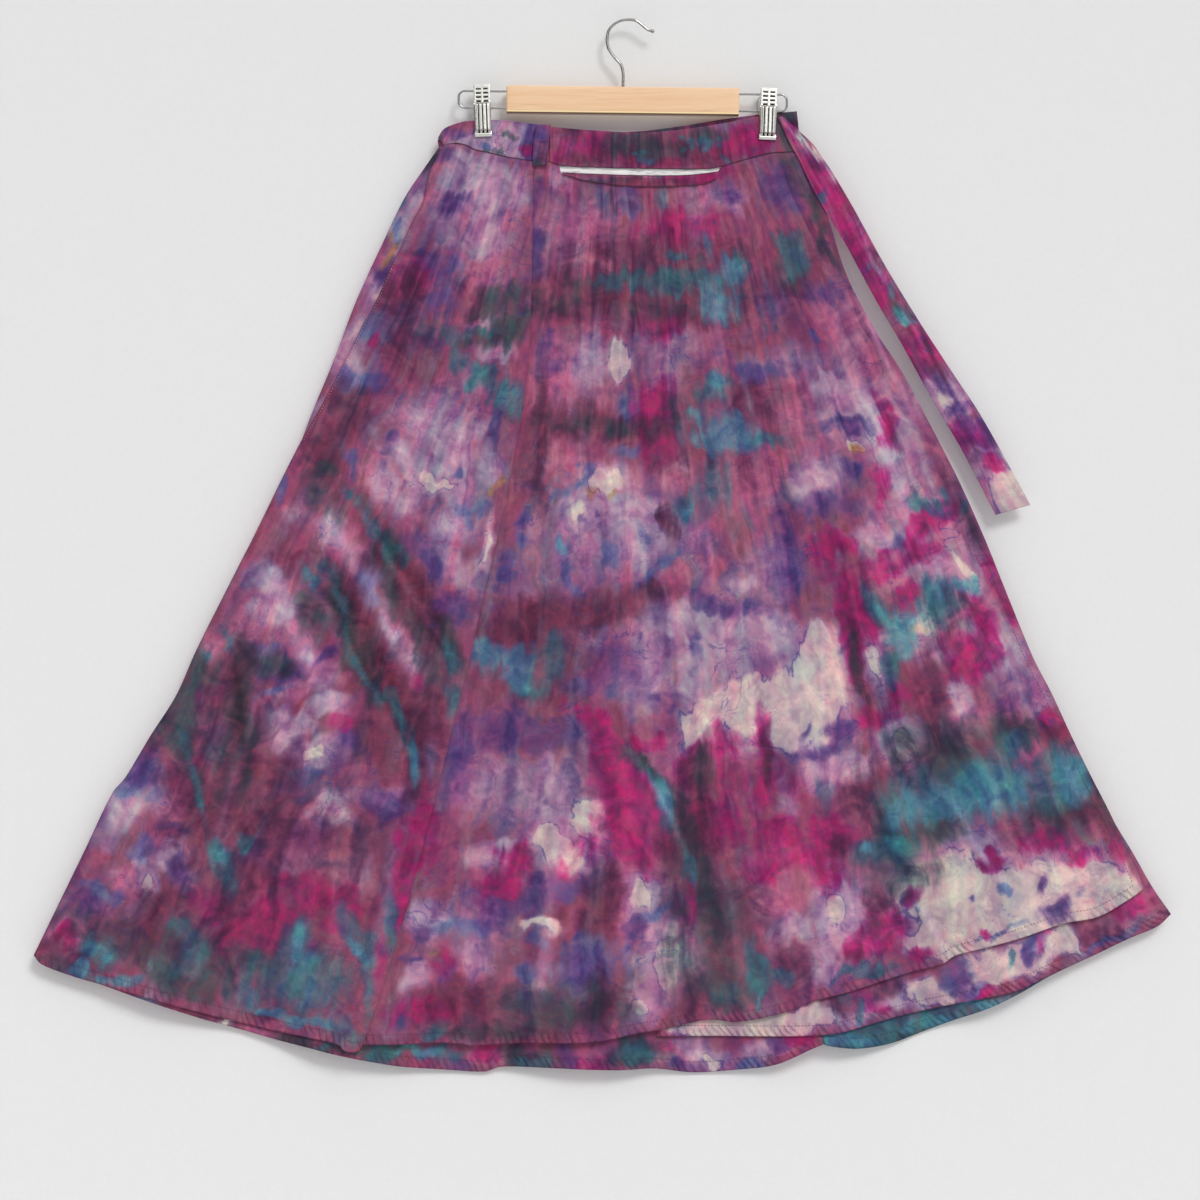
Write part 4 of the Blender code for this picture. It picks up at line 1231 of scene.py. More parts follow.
SIDE_STAINS = {
    Dye.PINK: stains(
        (490, 206, 20, 28), (460, 200, 40, 34), (450, 450, 44, 44), (492, 240, 28, 32), (483, 276, 24, 20),
        (405, 272, 16, 16), (490, 318, 24, 5, 12), (468, 384, 20, 18), (476, 424, 20, 26),
        (401, 418, 16, 14), (384, 482, 24, 32, 20), (406, 503, 20, 16), (332, 538, 16, 28, 32),
        (351, 562, 12, 18, 30), (299, 514, 12, 10), (272, 612, 38, 28), (296, 628, 18, 28),
        (247, 636, 14, 14), (211, 644, 10, 12), (290, 690, 38, 9, 24), (331, 675, 16, 13),
        (390, 629, 13, 13, 20), (420, 676, 11, 12), (208, 718, 22, 8), (216, 765, 11, 20),
        (166, 808, 16, 15), (168, 854, 20, 18), (130, 896, 11, 11), (98, 918, 15, 15), (72, 940, 18, 16),
        (124, 873, 13, 11), (312, 818, 22, 12), (350, 875, 28, 18), (305, 815, 16, 12), (447, 540, 14, 12),
        (396, 470, 18, 16),
    ),
    Dye.LILAC: stains(
        (508, 186, 22, 24), (482, 182, 24, 20), (446, 217, 14, 12), (452, 238, 12, 12), (430, 410, 30, 18),
        (402, 455, 18, 16), (361, 346, 14, 16), (434, 548, 12, 14), (470, 583, 14, 14), (450, 522, 18, 14),
        (488, 470, 14, 20), (260, 573, 16, 12), (410, 656, 13, 24, 15), (218, 742, 18, 18),
        (280, 733, 22, 20), (316, 754, 26, 24), (150, 797, 12, 14), (182, 872, 14, 18), (300, 862, 20, 14),
        (392, 795, 22, 12), (107, 832, 16, 14), (128, 800, 22, 26), (330, 801, 16, 12), (352, 372, 16, 22),
        (366, 800, 16, 10),
    ),
    Dye.PALE: stains(
        (474, 184, 30, 24), (450, 440, 26, 26, 0, 0.6), (468, 512, 20, 24, 0, 0.6), (482, 180, 17, 14),
        (463, 163, 8, 7), (508, 188, 12, 14), (488, 208, 12, 20), (490, 242, 18, 20), (352, 364, 8, 13),
        (498, 350, 16, 8, 8), (424, 424, 13, 11), (458, 436, 9, 16), (452, 457, 14, 11), (402, 457, 9, 10),
        (488, 470, 8, 13), (436, 482, 26, 13), (380, 490, 13, 16), (452, 492, 12, 14), (425, 474, 18, 15),
        (405, 504, 12, 10), (450, 524, 13, 9), (488, 545, 6, 26, -12), (458, 567, 16, 14),
        (272, 583, 12, 10), (270, 610, 20, 14), (331, 537, 7, 18, 32), (305, 654, 11, 7), (331, 706, 16, 9),
        (298, 718, 12, 8), (280, 735, 11, 13), (315, 755, 15, 16), (330, 801, 12, 8), (341, 822, 11, 10),
        (412, 658, 6, 16, 15), (125, 806, 18, 18), (146, 882, 9, 15), (168, 854, 11, 12), (142, 858, 4, 9),
        (204, 688, 5, 5, 0, 0.5), (312, 818, 10, 7), (389, 630, 6, 6), (484, 430, 7, 10),
    ),
    Dye.CREAM: stains(
        (437, 484, 14, 7), (316, 758, 8, 9), (488, 548, 3, 16, -12), (147, 884, 4, 10), (424, 472, 8, 7),
    ),
    Dye.BLUE: stains(
        (376, 324, 15, 19), (381, 340, 15, 12), (353, 386, 24, 11), (437, 300, 12, 12), (456, 268, 9, 12),
        (457, 469, 7, 5), (482, 505, 11, 9), (464, 516, 7, 6), (350, 458, 4, 22, 12), (368, 594, 9, 18, 20),
        (308, 776, 22, 4), (140, 768, 18, 13), (140, 848, 11, 10), (96, 888, 19, 11), (114, 893, 7, 9),
        (150, 797, 6, 8), (432, 762, 8, 16), (284, 487, 7, 12), (270, 650, 12, 4, 10),
        (275, 690, 16, 4, 20), (440, 184, 9, 10, 0, 0.7), (129, 790, 12, 8), (372, 578, 10, 8),
        (446, 302, 8, 9),
    ),
    Dye.PURPLE: stains(
        (446, 156, 11, 8, 0, 0.7), (457, 204, 16, 8, 0, 0.8), (432, 264, 14, 14), (455, 262, 12, 14),
        (412, 336, 22, 15), (438, 300, 20, 18), (414, 542, 15, 14), (452, 604, 14, 14),
        (320, 656, 22, 5, 28), (268, 664, 24, 14), (350, 740, 16, 7, -26), (288, 790, 16, 10),
        (385, 800, 22, 11), (300, 838, 22, 13), (258, 856, 13, 12), (174, 826, 18, 4), (88, 908, 18, 10),
        (138, 770, 22, 16), (500, 425, 6, 22), (394, 444, 9, 6), (430, 562, 8, 16, 20), (182, 872, 9, 14),
        (374, 812, 12, 8), (218, 736, 12, 12), (405, 318, 16, 12),
    ),
    Dye.MAGENTA: stains(
        (404, 276, 20, 20, 0, 0.7), (243, 940, 24, 18), (276, 914, 26, 13), (324, 897, 27, 13),
        (308, 953, 12, 11), (424, 812, 9, 22), (406, 868, 11, 42), (200, 900, 22, 13),
        (204, 688, 11, 12, 0, 0.7), (339, 726, 12, 6), (420, 680, 7, 8, 0, 0.6), (72, 942, 12, 11, 0, 0.6),
        (336, 925, 14, 9), (292, 884, 22, 9), (350, 905, 18, 10), (398, 900, 10, 30, 0, 0.8),
        (384, 960, 10, 24, 0, 0.6), (260, 930, 26, 12), (306, 585, 5, 8, 0, 0.5), (196, 760, 8, 20, 0, 0.5),
        (380, 352, 10, 8, 0, 0.5), (356, 520, 14, 9, 20, 0.5),
    ),
    Dye.MAROON: stains(
        (400, 300, 24, 34, 0, 0.7), (406, 352, 24, 18, 0, 0.7), (345, 415, 18, 22), (325, 448, 18, 20),
        (412, 586, 15, 22, 35), (434, 622, 12, 34, 28), (400, 592, 16, 44, 30), (356, 622, 17, 42, 26),
        (376, 672, 18, 44, 26), (425, 716, 26, 22), (230, 790, 70, 70, 0, 0.55), (330, 870, 60, 60, 0, 0.4),
        (190, 930, 90, 40, 0, 0.5), (420, 700, 30, 60, 20, 0.5), (258, 800, 36, 36, 0, 0.8),
        (142, 936, 26, 14), (240, 720, 22, 66, 0, 0.8), (206, 800, 16, 38, -16, 0.8),
        (416, 770, 18, 30, 0, 0.7), (170, 905, 26, 12, 0, 0.8), (216, 880, 20, 18, 0, 0.7),
        (330, 460, 14, 22, 20, 0.8), (60, 948, 26, 8, -20, 0.7), (250, 1000, 60, 16, -14, 0.6),
        (432, 372, 16, 12, 0, 0.6), (290, 560, 14, 12, 0, 0.5), (372, 560, 20, 12, 30, 0.6),
        (376, 740, 20, 26, 20, 0.7), (260, 880, 18, 16, 0, 0.6), (462, 300, 20, 14, 0, 0.5),
    ),
    Dye.DARK: stains(
        (200, 700, 40, 50, -20, 0.5), (250, 960, 90, 24, -10, 0.5), (120, 935, 60, 16, -14, 0.4),
        (362, 640, 9, 60, 28, 0.5), (400, 600, 9, 50, 32, 0.5), (424, 644, 9, 60, 28, 0.5),
        (506, 296, 26, 9, 14, 0.7), (480, 308, 20, 6, 20, 0.6), (516, 326, 18, 16),
        (488, 336, 30, 8, 10, 0.8), (521, 416, 8, 12), (332, 470, 9, 9), (310, 614, 11, 20, 20),
        (336, 606, 9, 30, 28), (350, 640, 9, 36, 26), (239, 668, 10, 30), (243, 720, 8, 64, 2),
        (205, 668, 15, 14), (186, 692, 13, 28, -24), (168, 722, 17, 22, -24), (181, 748, 10, 26, 20),
        (268, 662, 18, 10), (196, 776, 7, 28, 22, 0.8), (180, 972, 34, 14, -12), (196, 992, 30, 10, -14),
        (230, 740, 9, 60, -8, 0.7), (370, 680, 8, 34, 28, 0.7), (448, 640, 7, 28, 16, 0.7),
        (244, 960, 30, 10, -12, 0.7), (388, 548, 14, 14, 30, 0.8), (326, 500, 10, 30, 26, 0.6),
        (60, 962, 34, 5, -22, 0.6), (420, 652, 6, 30, 24, 0.6), (428, 328, 16, 8, 0, 0.5),
    ),
    Dye.TEAL: stains(
        (452, 340, 7, 15, 20), (458, 362, 9, 9), (486, 376, 15, 9, -34), (507, 392, 13, 15, 36),
        (519, 409, 8, 13, 24), (478, 331, 24, 5, 12, 0.7), (350, 500, 6, 9, 30), (362, 513, 8, 14, 34, 0.8),
        (371, 534, 8, 16, 34, 0.8), (388, 554, 9, 10, 36, 0.7), (308, 580, 6, 14, 32, 0.7),
        (325, 576, 7, 10, 34, 0.6), (336, 602, 4, 20, 28, 0.7), (346, 636, 3, 32, 24, 0.7),
        (364, 668, 3.5, 34, 28, 0.7), (384, 697, 6, 24, 32, 0.8), (398, 720, 4, 18, 20, 0.8),
        (412, 752, 8, 26, 6, 0.8), (449, 655, 5, 18, 8), (452, 704, 6, 16, 0), (227, 636, 5, 13),
        (206, 649, 6, 5), (180, 740, 7, 16, 20, 0.8), (195, 776, 4, 24, 24), (207, 806, 3, 20, 20),
        (219, 846, 7, 9), (226, 866, 10, 15, 10), (249, 841, 10, 7), (182, 930, 14, 10), (192, 949, 10, 12),
        (104, 950, 17, 11), (250, 994, 28, 20, 0, 0.7), (262, 966, 14, 13, 0, 0.7), (300, 942, 14, 22),
        (350, 924, 9, 15, 20), (392, 922, 7, 36), (352, 1038, 14, 11), (368, 998, 5, 22),
        (180, 968, 22, 9, -12, 0.7), (320, 985, 26, 30), (362, 950, 8, 22), (398, 554, 6, 7),
        (472, 384, 7, 5),
    ),
    Dye.AQUA: stains(
        (413, 758, 6, 18), (86, 970, 14, 6), (118, 978, 24, 6, -10), (152, 964, 5, 11),
        (296, 990, 20, 18, 0, 0.4), (323, 988, 11, 24, 0, 0.6), (286, 1016, 30, 4, -8),
        (318, 1026, 26, 5, -8), (301, 942, 7, 16), (104, 950, 9, 6), (224, 858, 4, 9),
        (250, 1000, 12, 10, 0, 0.6), (356, 948, 5, 16, 16), (507, 392, 6, 9, 36, 0.6),
        (310, 962, 12, 10, 0, 0.7), (308, 577, 3, 9, 32, 0.7),
    ),
    Dye.FLECK: stains((495, 486, 4, 8), (388, 262, 5, 9, -14), (436, 950, 5, 3, 0, 0.5)),
}

CENTRE_STAINS = {
    Dye.PINK: stains(
        (880, 420, 40, 50, 20), (915, 500, 34, 50, 26), (950, 580, 30, 44, 26), (985, 640, 26, 40, 26),
        (850, 330, 24, 44, 16), (1020, 740, 20, 34, 26, 0.7), (740, 480, 50, 40, 0, 0.8),
        (770, 560, 40, 30, 0, 0.6), (580, 830, 50, 30, 0, 0.9), (575, 376, 46, 34), (568, 472, 24, 28),
        (548, 452, 12, 22), (692, 198, 20, 26), (572, 232, 32, 30), (600, 256, 30, 12),
        (838, 392, 46, 16, -20), (869, 440, 12, 26, 24), (900, 392, 16, 20, 24), (895, 460, 22, 44, 24),
        (882, 508, 22, 12), (650, 640, 26, 40), (505, 784, 44, 24), (556, 790, 30, 34),
        (610, 752, 9, 32, 20), (660, 935, 36, 26), (640, 894, 26, 28), (542, 868, 60, 16),
        (474, 958, 18, 18), (440, 925, 20, 18), (416, 968, 18, 16), (494, 915, 10, 6),
        (932, 646, 20, 18, 30), (882, 684, 12, 24, 22), (972, 716, 16, 24, 24), (905, 560, 44, 26, 20),
        (805, 862, 28, 16), (765, 862, 20, 14), (828, 962, 24, 22), (780, 905, 26, 40), (900, 870, 20, 10),
        (1030, 850, 60, 12, -8), (700, 560, 18, 26), (670, 470, 20, 16), (735, 690, 16, 16),
        (706, 900, 14, 20), (840, 410, 56, 46, 14), (930, 545, 42, 60, 26), (700, 748, 60, 24, 0, 0.9),
        (560, 818, 40, 34), (850, 905, 40, 34), (1020, 700, 26, 20, 24), (600, 205, 30, 14),
        (840, 730, 26, 14), (620, 540, 60, 36),
    ),
    Dye.LILAC: stains(
        (672, 350, 28, 28), (726, 198, 24, 16), (816, 482, 34, 26), (545, 562, 34, 40), (614, 528, 50, 46),
        (784, 360, 40, 12), (724, 630, 38, 44), (650, 640, 22, 34), (765, 572, 26, 26), (698, 672, 20, 22),
        (500, 790, 46, 34), (554, 790, 20, 30), (546, 970, 20, 18), (648, 955, 12, 16), (876, 536, 26, 12),
        (1034, 692, 16, 26, 24), (1014, 646, 18, 20), (670, 520, 14, 26), (760, 630, 30, 22),
        (1042, 890, 14, 26), (840, 760, 40, 14), (590, 640, 20, 12), (842, 910, 16, 20), (560, 520, 30, 30),
        (900, 735, 20, 16), (480, 930, 30, 30), (640, 690, 18, 14), (744, 592, 30, 16), (420, 915, 16, 18),
        (690, 540, 20, 16),
    ),
    Dye.PALE: stains(
        (890, 440, 26, 44, 22, 0.7), (925, 500, 16, 40, 26, 0.5), (640, 690, 34, 26, 0, 0.6),
        (850, 925, 30, 40), (850, 405, 34, 30, 10, 0.6), (960, 600, 24, 40, 26, 0.6),
        (720, 740, 40, 16, 0, 0.7), (556, 814, 30, 18, 0, 0.8), (890, 540, 26, 40, 26, 0.5),
        (800, 690, 50, 40, 0, 0.8), (900, 905, 24, 20, 0, 0.6), (905, 640, 16, 26, 22, 0.5),
        (1000, 660, 20, 30, 24, 0.5), (589, 362, 13, 22), (560, 178, 13, 11), (614, 484, 28, 20),
        (579, 512, 15, 15), (637, 536, 20, 34, 14), (653, 518, 15, 18), (742, 582, 14, 9),
        (720, 640, 28, 30), (696, 668, 15, 20), (768, 630, 22, 16), (816, 480, 20, 18), (682, 622, 14, 13),
        (506, 840, 14, 6), (486, 853, 16, 11), (554, 788, 9, 26), (420, 912, 12, 14), (440, 925, 12, 10),
        (474, 960, 11, 12), (416, 970, 13, 12), (532, 986, 12, 8), (640, 894, 17, 22), (671, 960, 28, 36),
        (638, 1004, 15, 18), (876, 533, 22, 9), (942, 570, 18, 13, 30), (968, 540, 7, 20, 20),
        (876, 660, 10, 28, 18), (1010, 662, 12, 13), (961, 695, 11, 18, 14), (842, 765, 32, 14),
        (905, 746, 18, 26, 20), (882, 637, 9, 5), (955, 885, 62, 44), (1075, 872, 34, 26),
        (1014, 904, 30, 20), (842, 912, 15, 26), (828, 962, 16, 16), (794, 925, 15, 14),
        (782, 806, 9, 22, 0, 0.6), (820, 780, 22, 12, 0, 0.8), (733, 212, 7, 6, 0, 0.5),
        (892, 455, 7, 38, 24), (838, 392, 30, 8, -20), (610, 360, 20, 16, 0, 0.6), (1120, 876, 10, 14),
        (930, 620, 14, 12), (700, 700, 10, 26), (664, 196, 6, 10, 0, 0.5), (820, 668, 24, 34),
        (760, 700, 40, 26), (800, 730, 34, 20), (566, 842, 34, 20),
    ),
    Dye.CREAM: stains(
        (622, 360, 11, 19), (610, 482, 16, 12), (580, 512, 8, 8), (752, 696, 27, 20), (798, 700, 38, 30),
        (714, 713, 22, 14), (816, 664, 22, 30), (776, 712, 30, 20), (684, 724, 9, 18), (790, 728, 28, 22),
        (812, 662, 18, 26), (816, 700, 22, 24), (757, 713, 18, 10), (592, 808, 20, 12), (600, 822, 12, 12),
        (546, 836, 18, 12), (566, 851, 20, 15), (541, 927, 24, 9), (640, 894, 10, 12), (922, 628, 14, 11),
        (958, 926, 30, 28), (1006, 916, 46, 30), (1062, 900, 46, 28), (1106, 882, 28, 24),
        (975, 896, 40, 32), (1030, 896, 40, 26), (966, 948, 34, 14, 16), (1010, 938, 36, 14, 16),
        (1054, 924, 36, 14, 18), (1096, 908, 34, 14, 20), (1122, 892, 20, 16), (876, 664, 6, 22, 18),
        (960, 566, 4, 26, 32), (926, 941, 20, 15), (950, 890, 44, 30), (1074, 874, 22, 18),
        (1014, 910, 20, 12), (840, 908, 9, 16), (671, 960, 14, 22), (564, 545, 4, 6), (638, 1006, 8, 10),
        (859, 445, 8, 6), (905, 745, 8, 14, 20),
    ),
    Dye.BLUE: stains(
        (631, 196, 9, 16), (634, 404, 14, 13), (628, 447, 15, 8), (812, 337, 5, 5), (564, 545, 7, 11),
        (573, 578, 4, 18, 18), (609, 553, 6, 9), (522, 521, 5, 7), (516, 540, 6, 9), (507, 557, 6, 8),
        (499, 571, 6, 8), (548, 499, 9, 4), (563, 494, 8, 4), (579, 489, 8, 4), (587, 480, 5, 7),
        (594, 468, 6, 7), (668, 560, 9, 6, 30), (652, 579, 8, 7), (584, 968, 28, 26), (598, 944, 16, 10),
        (538, 945, 11, 6), (523, 975, 14, 9), (524, 1003, 10, 7), (468, 931, 26, 8), (564, 886, 13, 9),
        (652, 916, 18, 6, 24), (1004, 889, 4, 8, 20), (974, 901, 4, 3), (1081, 893, 5, 5, 0, 0.7),
        (580, 686, 16, 9), (756, 368, 14, 8), (640, 540, 5, 14, 14, 0.6), (612, 700, 14, 6, 0, 0.6),
        (1005, 933, 26, 3, 18, 0.6), (626, 962, 5, 24), (606, 196, 6, 12, 0, 0.6),
        (700, 652, 6, 14, 0, 0.5), (855, 470, 8, 6, 0, 0.6), (790, 560, 6, 20, 0, 0.6),
        (461, 752, 10, 18, 0, 0.6),
    ),
    Dye.PURPLE: stains(
        (535, 228, 8, 36), (543, 342, 8, 18), (547, 370, 14, 9), (534, 262, 7, 16, 0, 0.8),
        (756, 371, 20, 11), (822, 291, 20, 11), (778, 299, 14, 16), (789, 190, 22, 26), (730, 196, 12, 9),
        (846, 424, 24, 8), (850, 472, 11, 9), (828, 508, 22, 13), (789, 560, 14, 32), (706, 604, 15, 10),
        (738, 612, 28, 9), (784, 566, 16, 24), (612, 668, 26, 22, 0, 0.7), (580, 685, 16, 12, 0, 0.8),
        (500, 727, 30, 16), (548, 735, 34, 15), (462, 752, 18, 28), (548, 883, 26, 12), (524, 902, 22, 15),
        (592, 881, 18, 11), (480, 896, 20, 14), (492, 920, 12, 14), (446, 976, 10, 15), (405, 955, 16, 3),
        (635, 930, 10, 12), (816, 749, 26, 8, 18), (846, 727, 16, 6), (808, 730, 3, 12, -24, 0.6),
        (1052, 917, 16, 8, 0, 0.6), (1063, 903, 7, 9, 0, 0.7), (1039, 886, 4, 12, 0, 0.8),
        (584, 968, 22, 18), (545, 1000, 20, 8, 0, 0.6), (504, 566, 10, 12, 0, 0.6),
        (520, 530, 6, 14, 0, 0.7), (640, 590, 16, 6, 30, 0.7), (720, 360, 16, 8, 0, 0.6), (895, 535, 6, 9),
        (1010, 700, 18, 8, 30, 0.5), (662, 700, 14, 8, 0, 0.7), (520, 745, 30, 10, 0, 0.6),
        (780, 520, 10, 12, 0, 0.5),
    ),
    Dye.MAGENTA: stains(
        (676, 231, 30, 15), (662, 320, 27, 14), (660, 418, 20, 36), (888, 424, 8, 28, 22),
        (594, 726, 9, 30, 48), (625, 770, 14, 40, 40), (642, 742, 18, 8), (626, 800, 24, 46, 20),
        (690, 780, 12, 32, 0, 0.65), (720, 746, 20, 16, 0, 0.8), (762, 738, 8, 30),
        (752, 786, 40, 18, 0, 0.5), (513, 860, 16, 20), (592, 846, 14, 18, 0, 0.7), (500, 883, 18, 8),
        (426, 852, 14, 15), (423, 815, 10, 24), (765, 862, 18, 14), (836, 545, 18, 11),
        (895, 563, 36, 11, 14), (925, 526, 40, 8, 32), (848, 638, 9, 40, 8), (858, 614, 11, 30, 20),
        (908, 596, 9, 11), (980, 622, 10, 26, 34), (966, 655, 26, 18), (905, 700, 14, 12),
        (874, 718, 18, 8), (1050, 724, 16, 12), (778, 836, 22, 14), (828, 836, 24, 17), (805, 860, 22, 14),
        (886, 925, 15, 26), (862, 946, 12, 14), (913, 893, 8, 9), (921, 957, 9, 8), (1048, 842, 24, 8),
        (996, 856, 12, 7), (1081, 851, 16, 8), (990, 933, 5, 6), (1116, 850, 8, 14), (439, 1006, 16, 10),
        (620, 150, 20, 10), (834, 880, 18, 12, 0, 0.7), (700, 830, 30, 16, 0, 0.8),
        (560, 862, 8, 12, 0, 0.5), (640, 850, 12, 20, 20), (876, 480, 10, 18, 20, 0.7),
        (1000, 560, 18, 26, 26, 0.7), (820, 566, 10, 20, 14, 0.7), (730, 820, 20, 14, 0, 0.8),
        (690, 920, 14, 30, 10, 0.7), (400, 1010, 20, 16, 0, 0.8), (444, 960, 8, 12, 0, 0.5),
        (700, 166, 30, 8, 0, 0.6), (1010, 610, 10, 20, 26, 0.7),
    ),
    Dye.MAROON: stains(
        (640, 292, 104, 26), (600, 424, 88, 12), (540, 440, 9, 64), (792, 268, 20, 30, 0, 0.6),
        (640, 601, 28, 8, 24), (600, 612, 42, 14, 12), (550, 614, 52, 20), (510, 632, 30, 16),
        (670, 522, 7, 18), (706, 764, 11, 30), (765, 758, 4, 24), (604, 898, 16, 36), (464, 994, 36, 14),
        (935, 482, 30, 14, 32, 0.25), (962, 520, 12, 36, 28, 0.35), (946, 618, 26, 26, 0, 0.45),
        (930, 702, 16, 40, 20, 0.7), (858, 668, 6, 42, 14), (1040, 735, 36, 12), (1062, 812, 38, 14),
        (883, 901, 12, 20, 0, 0.6), (610, 990, 20, 22), (700, 300, 40, 24), (560, 650, 26, 20),
        (690, 850, 22, 44, 12), (1104, 800, 8, 50, 24), (640, 250, 60, 12, 0, 0.7),
        (556, 690, 30, 14, 0, 0.7), (760, 400, 40, 22, 0, 0.4), (700, 460, 40, 20, 0, 0.6),
        (760, 480, 34, 20, 0, 0.25), (860, 560, 16, 10, 0, 0.3), (880, 590, 26, 26, 0, 0.3),
        (870, 790, 26, 26, 0, 0.7), (850, 846, 30, 14, 0, 0.4), (740, 920, 26, 40, 6, 0.6),
        (500, 1030, 70, 12, 0, 0.7), (690, 1000, 20, 24, 0, 0.7), (940, 760, 40, 24, 0, 0.6),
        (1008, 520, 8, 30, 26, 0.3), (526, 470, 9, 40, 0, 0.6), (560, 410, 24, 10, 0, 0.6),
        (740, 250, 30, 12, 0, 0.6), (820, 250, 16, 26, 14, 0.3), (700, 800, 12, 40, 6, 0.6),
        (470, 1010, 40, 14, 0, 0.6), (800, 960, 16, 20, 0, 0.5), (866, 960, 22, 14, 0, 0.4),
        (640, 196, 60, 10, 0, 0.3),
    ),
    Dye.DARK: stains(
        (700, 930, 34, 60, 0, 0.5), (560, 1006, 70, 22, 0, 0.45), (960, 742, 70, 26, 6, 0.45),
        (1054, 822, 36, 30, 0, 0.5), (900, 862, 40, 26, 0, 0.5), (640, 280, 70, 8, 0, 0.8),
        (560, 300, 44, 9, 12, 0.6), (600, 424, 50, 7, 0, 0.7), (789, 262, 14, 22, 14, 0.5),
        (688, 850, 12, 50, 14), (706, 905, 9, 38, 12), (722, 986, 26, 22), (934, 828, 28, 13),
        (885, 888, 13, 30, 0, 0.6), (1000, 734, 26, 16), (950, 758, 24, 16), (560, 1012, 32, 12),
        (708, 765, 6, 26), (640, 762, 8, 28, 52), (1064, 806, 26, 8, 0, 0.7), (948, 612, 18, 20, 0, 0.45),
        (857, 668, 4, 34, 14, 0.7), (484, 1030, 50, 8, 0, 0.6), (738, 940, 14, 40, 6, 0.5),
        (890, 820, 20, 14, 0, 0.6), (1102, 800, 5, 50, 24, 0.6), (520, 296, 20, 9, 0, 0.8),
        (700, 262, 20, 5, 16, 0.6), (680, 410, 16, 20, 0, 0.4), (972, 520, 5, 30, 28, 0.3),
        # (794, 170) and (812, 212) at the end of this row and (826, 246) on the next are painted shadow of
        # the tie along its inner edge
        (980, 780, 40, 14, 0, 0.5), (660, 310, 40, 8, 0, 0.5), (794, 170, 7, 34, 25), (812, 212, 6, 30, 27),
        (826, 246, 4, 26, 27, 0.8),
    ),
    Dye.TEAL: stains(
        (655, 278, 58, 7), (711, 244, 4, 10, 30), (795, 256, 13, 15), (777, 246, 4, 11, 26),
        (676, 258, 9, 4), (716, 392, 15, 12), (756, 436, 17, 8), (712, 486, 17, 24, 0, 0.7),
        (690, 512, 12, 14, 0, 0.7), (532, 688, 19, 13), (556, 655, 16, 20, 0, 0.6), (874, 599, 11, 16, 30),
        (886, 612, 9, 22, 32), (936, 606, 18, 20, 28), (896, 672, 9, 18), (928, 508, 16, 6, -28),
        (946, 499, 3, 10, 16), (964, 508, 4, 9), (685, 868, 5, 24, 8), (754, 965, 8, 34),
        (891, 846, 22, 16), (868, 850, 16, 13), (868, 974, 26, 5, 10), (786, 973, 12, 7), (762, 970, 8, 12),
        (431, 1031, 10, 7), (1060, 772, 12, 28, 12), (1076, 780, 9, 22, 12), (404, 1020, 8, 10, 0, 0.6),
        (722, 990, 16, 12, 0, 0.6), (985, 790, 70, 26), (670, 286, 46, 9), (740, 262, 8, 10),
        (776, 310, 10, 16, 0, 0.4), (1010, 742, 20, 10, 0, 0.7), (905, 800, 26, 20),
        (820, 790, 10, 14, 0, 0.5), (664, 798, 10, 26, 12), (660, 196, 8, 14, 0, 0.5),
        (604, 197, 12, 18, 0, 0.4), (740, 520, 14, 16, 0, 0.4),
    ),
    Dye.AQUA: stains(
        (734, 274, 15, 11), (722, 302, 18, 19), (722, 434, 32, 15), (699, 413, 9, 6), (488, 652, 16, 13),
        (514, 668, 24, 17), (532, 690, 12, 7), (661, 794, 8, 22, 14), (904, 634, 12, 24), (963, 590, 9, 11),
        (905, 657, 6, 10), (957, 801, 34, 20, 0, 0.75), (1010, 778, 16, 34, 16, 0.8), (916, 806, 22, 17),
        (1068, 778, 12, 22, 12), (757, 1000, 3, 20), (564, 544, 4, 8), (885, 612, 5, 16, 32),
        (736, 266, 6, 14, 20), (988, 790, 20, 26, 14), (900, 842, 8, 7), (864, 846, 6, 7),
        (714, 388, 7, 7, 0, 0.8), (690, 515, 6, 6, 0, 0.8), (936, 600, 7, 12, 20, 0.8),
    ),
    Dye.FLECK: stains(
        (536, 179, 4, 6, 0, 0.5), (596, 494, 5, 6), (617, 495, 7, 3, 0, 0.6), (860, 448, 6, 5),
        (439, 950, 5, 3, 0, 0.5), (917, 634, 7, 4, 0, 0.4),
    ),
}

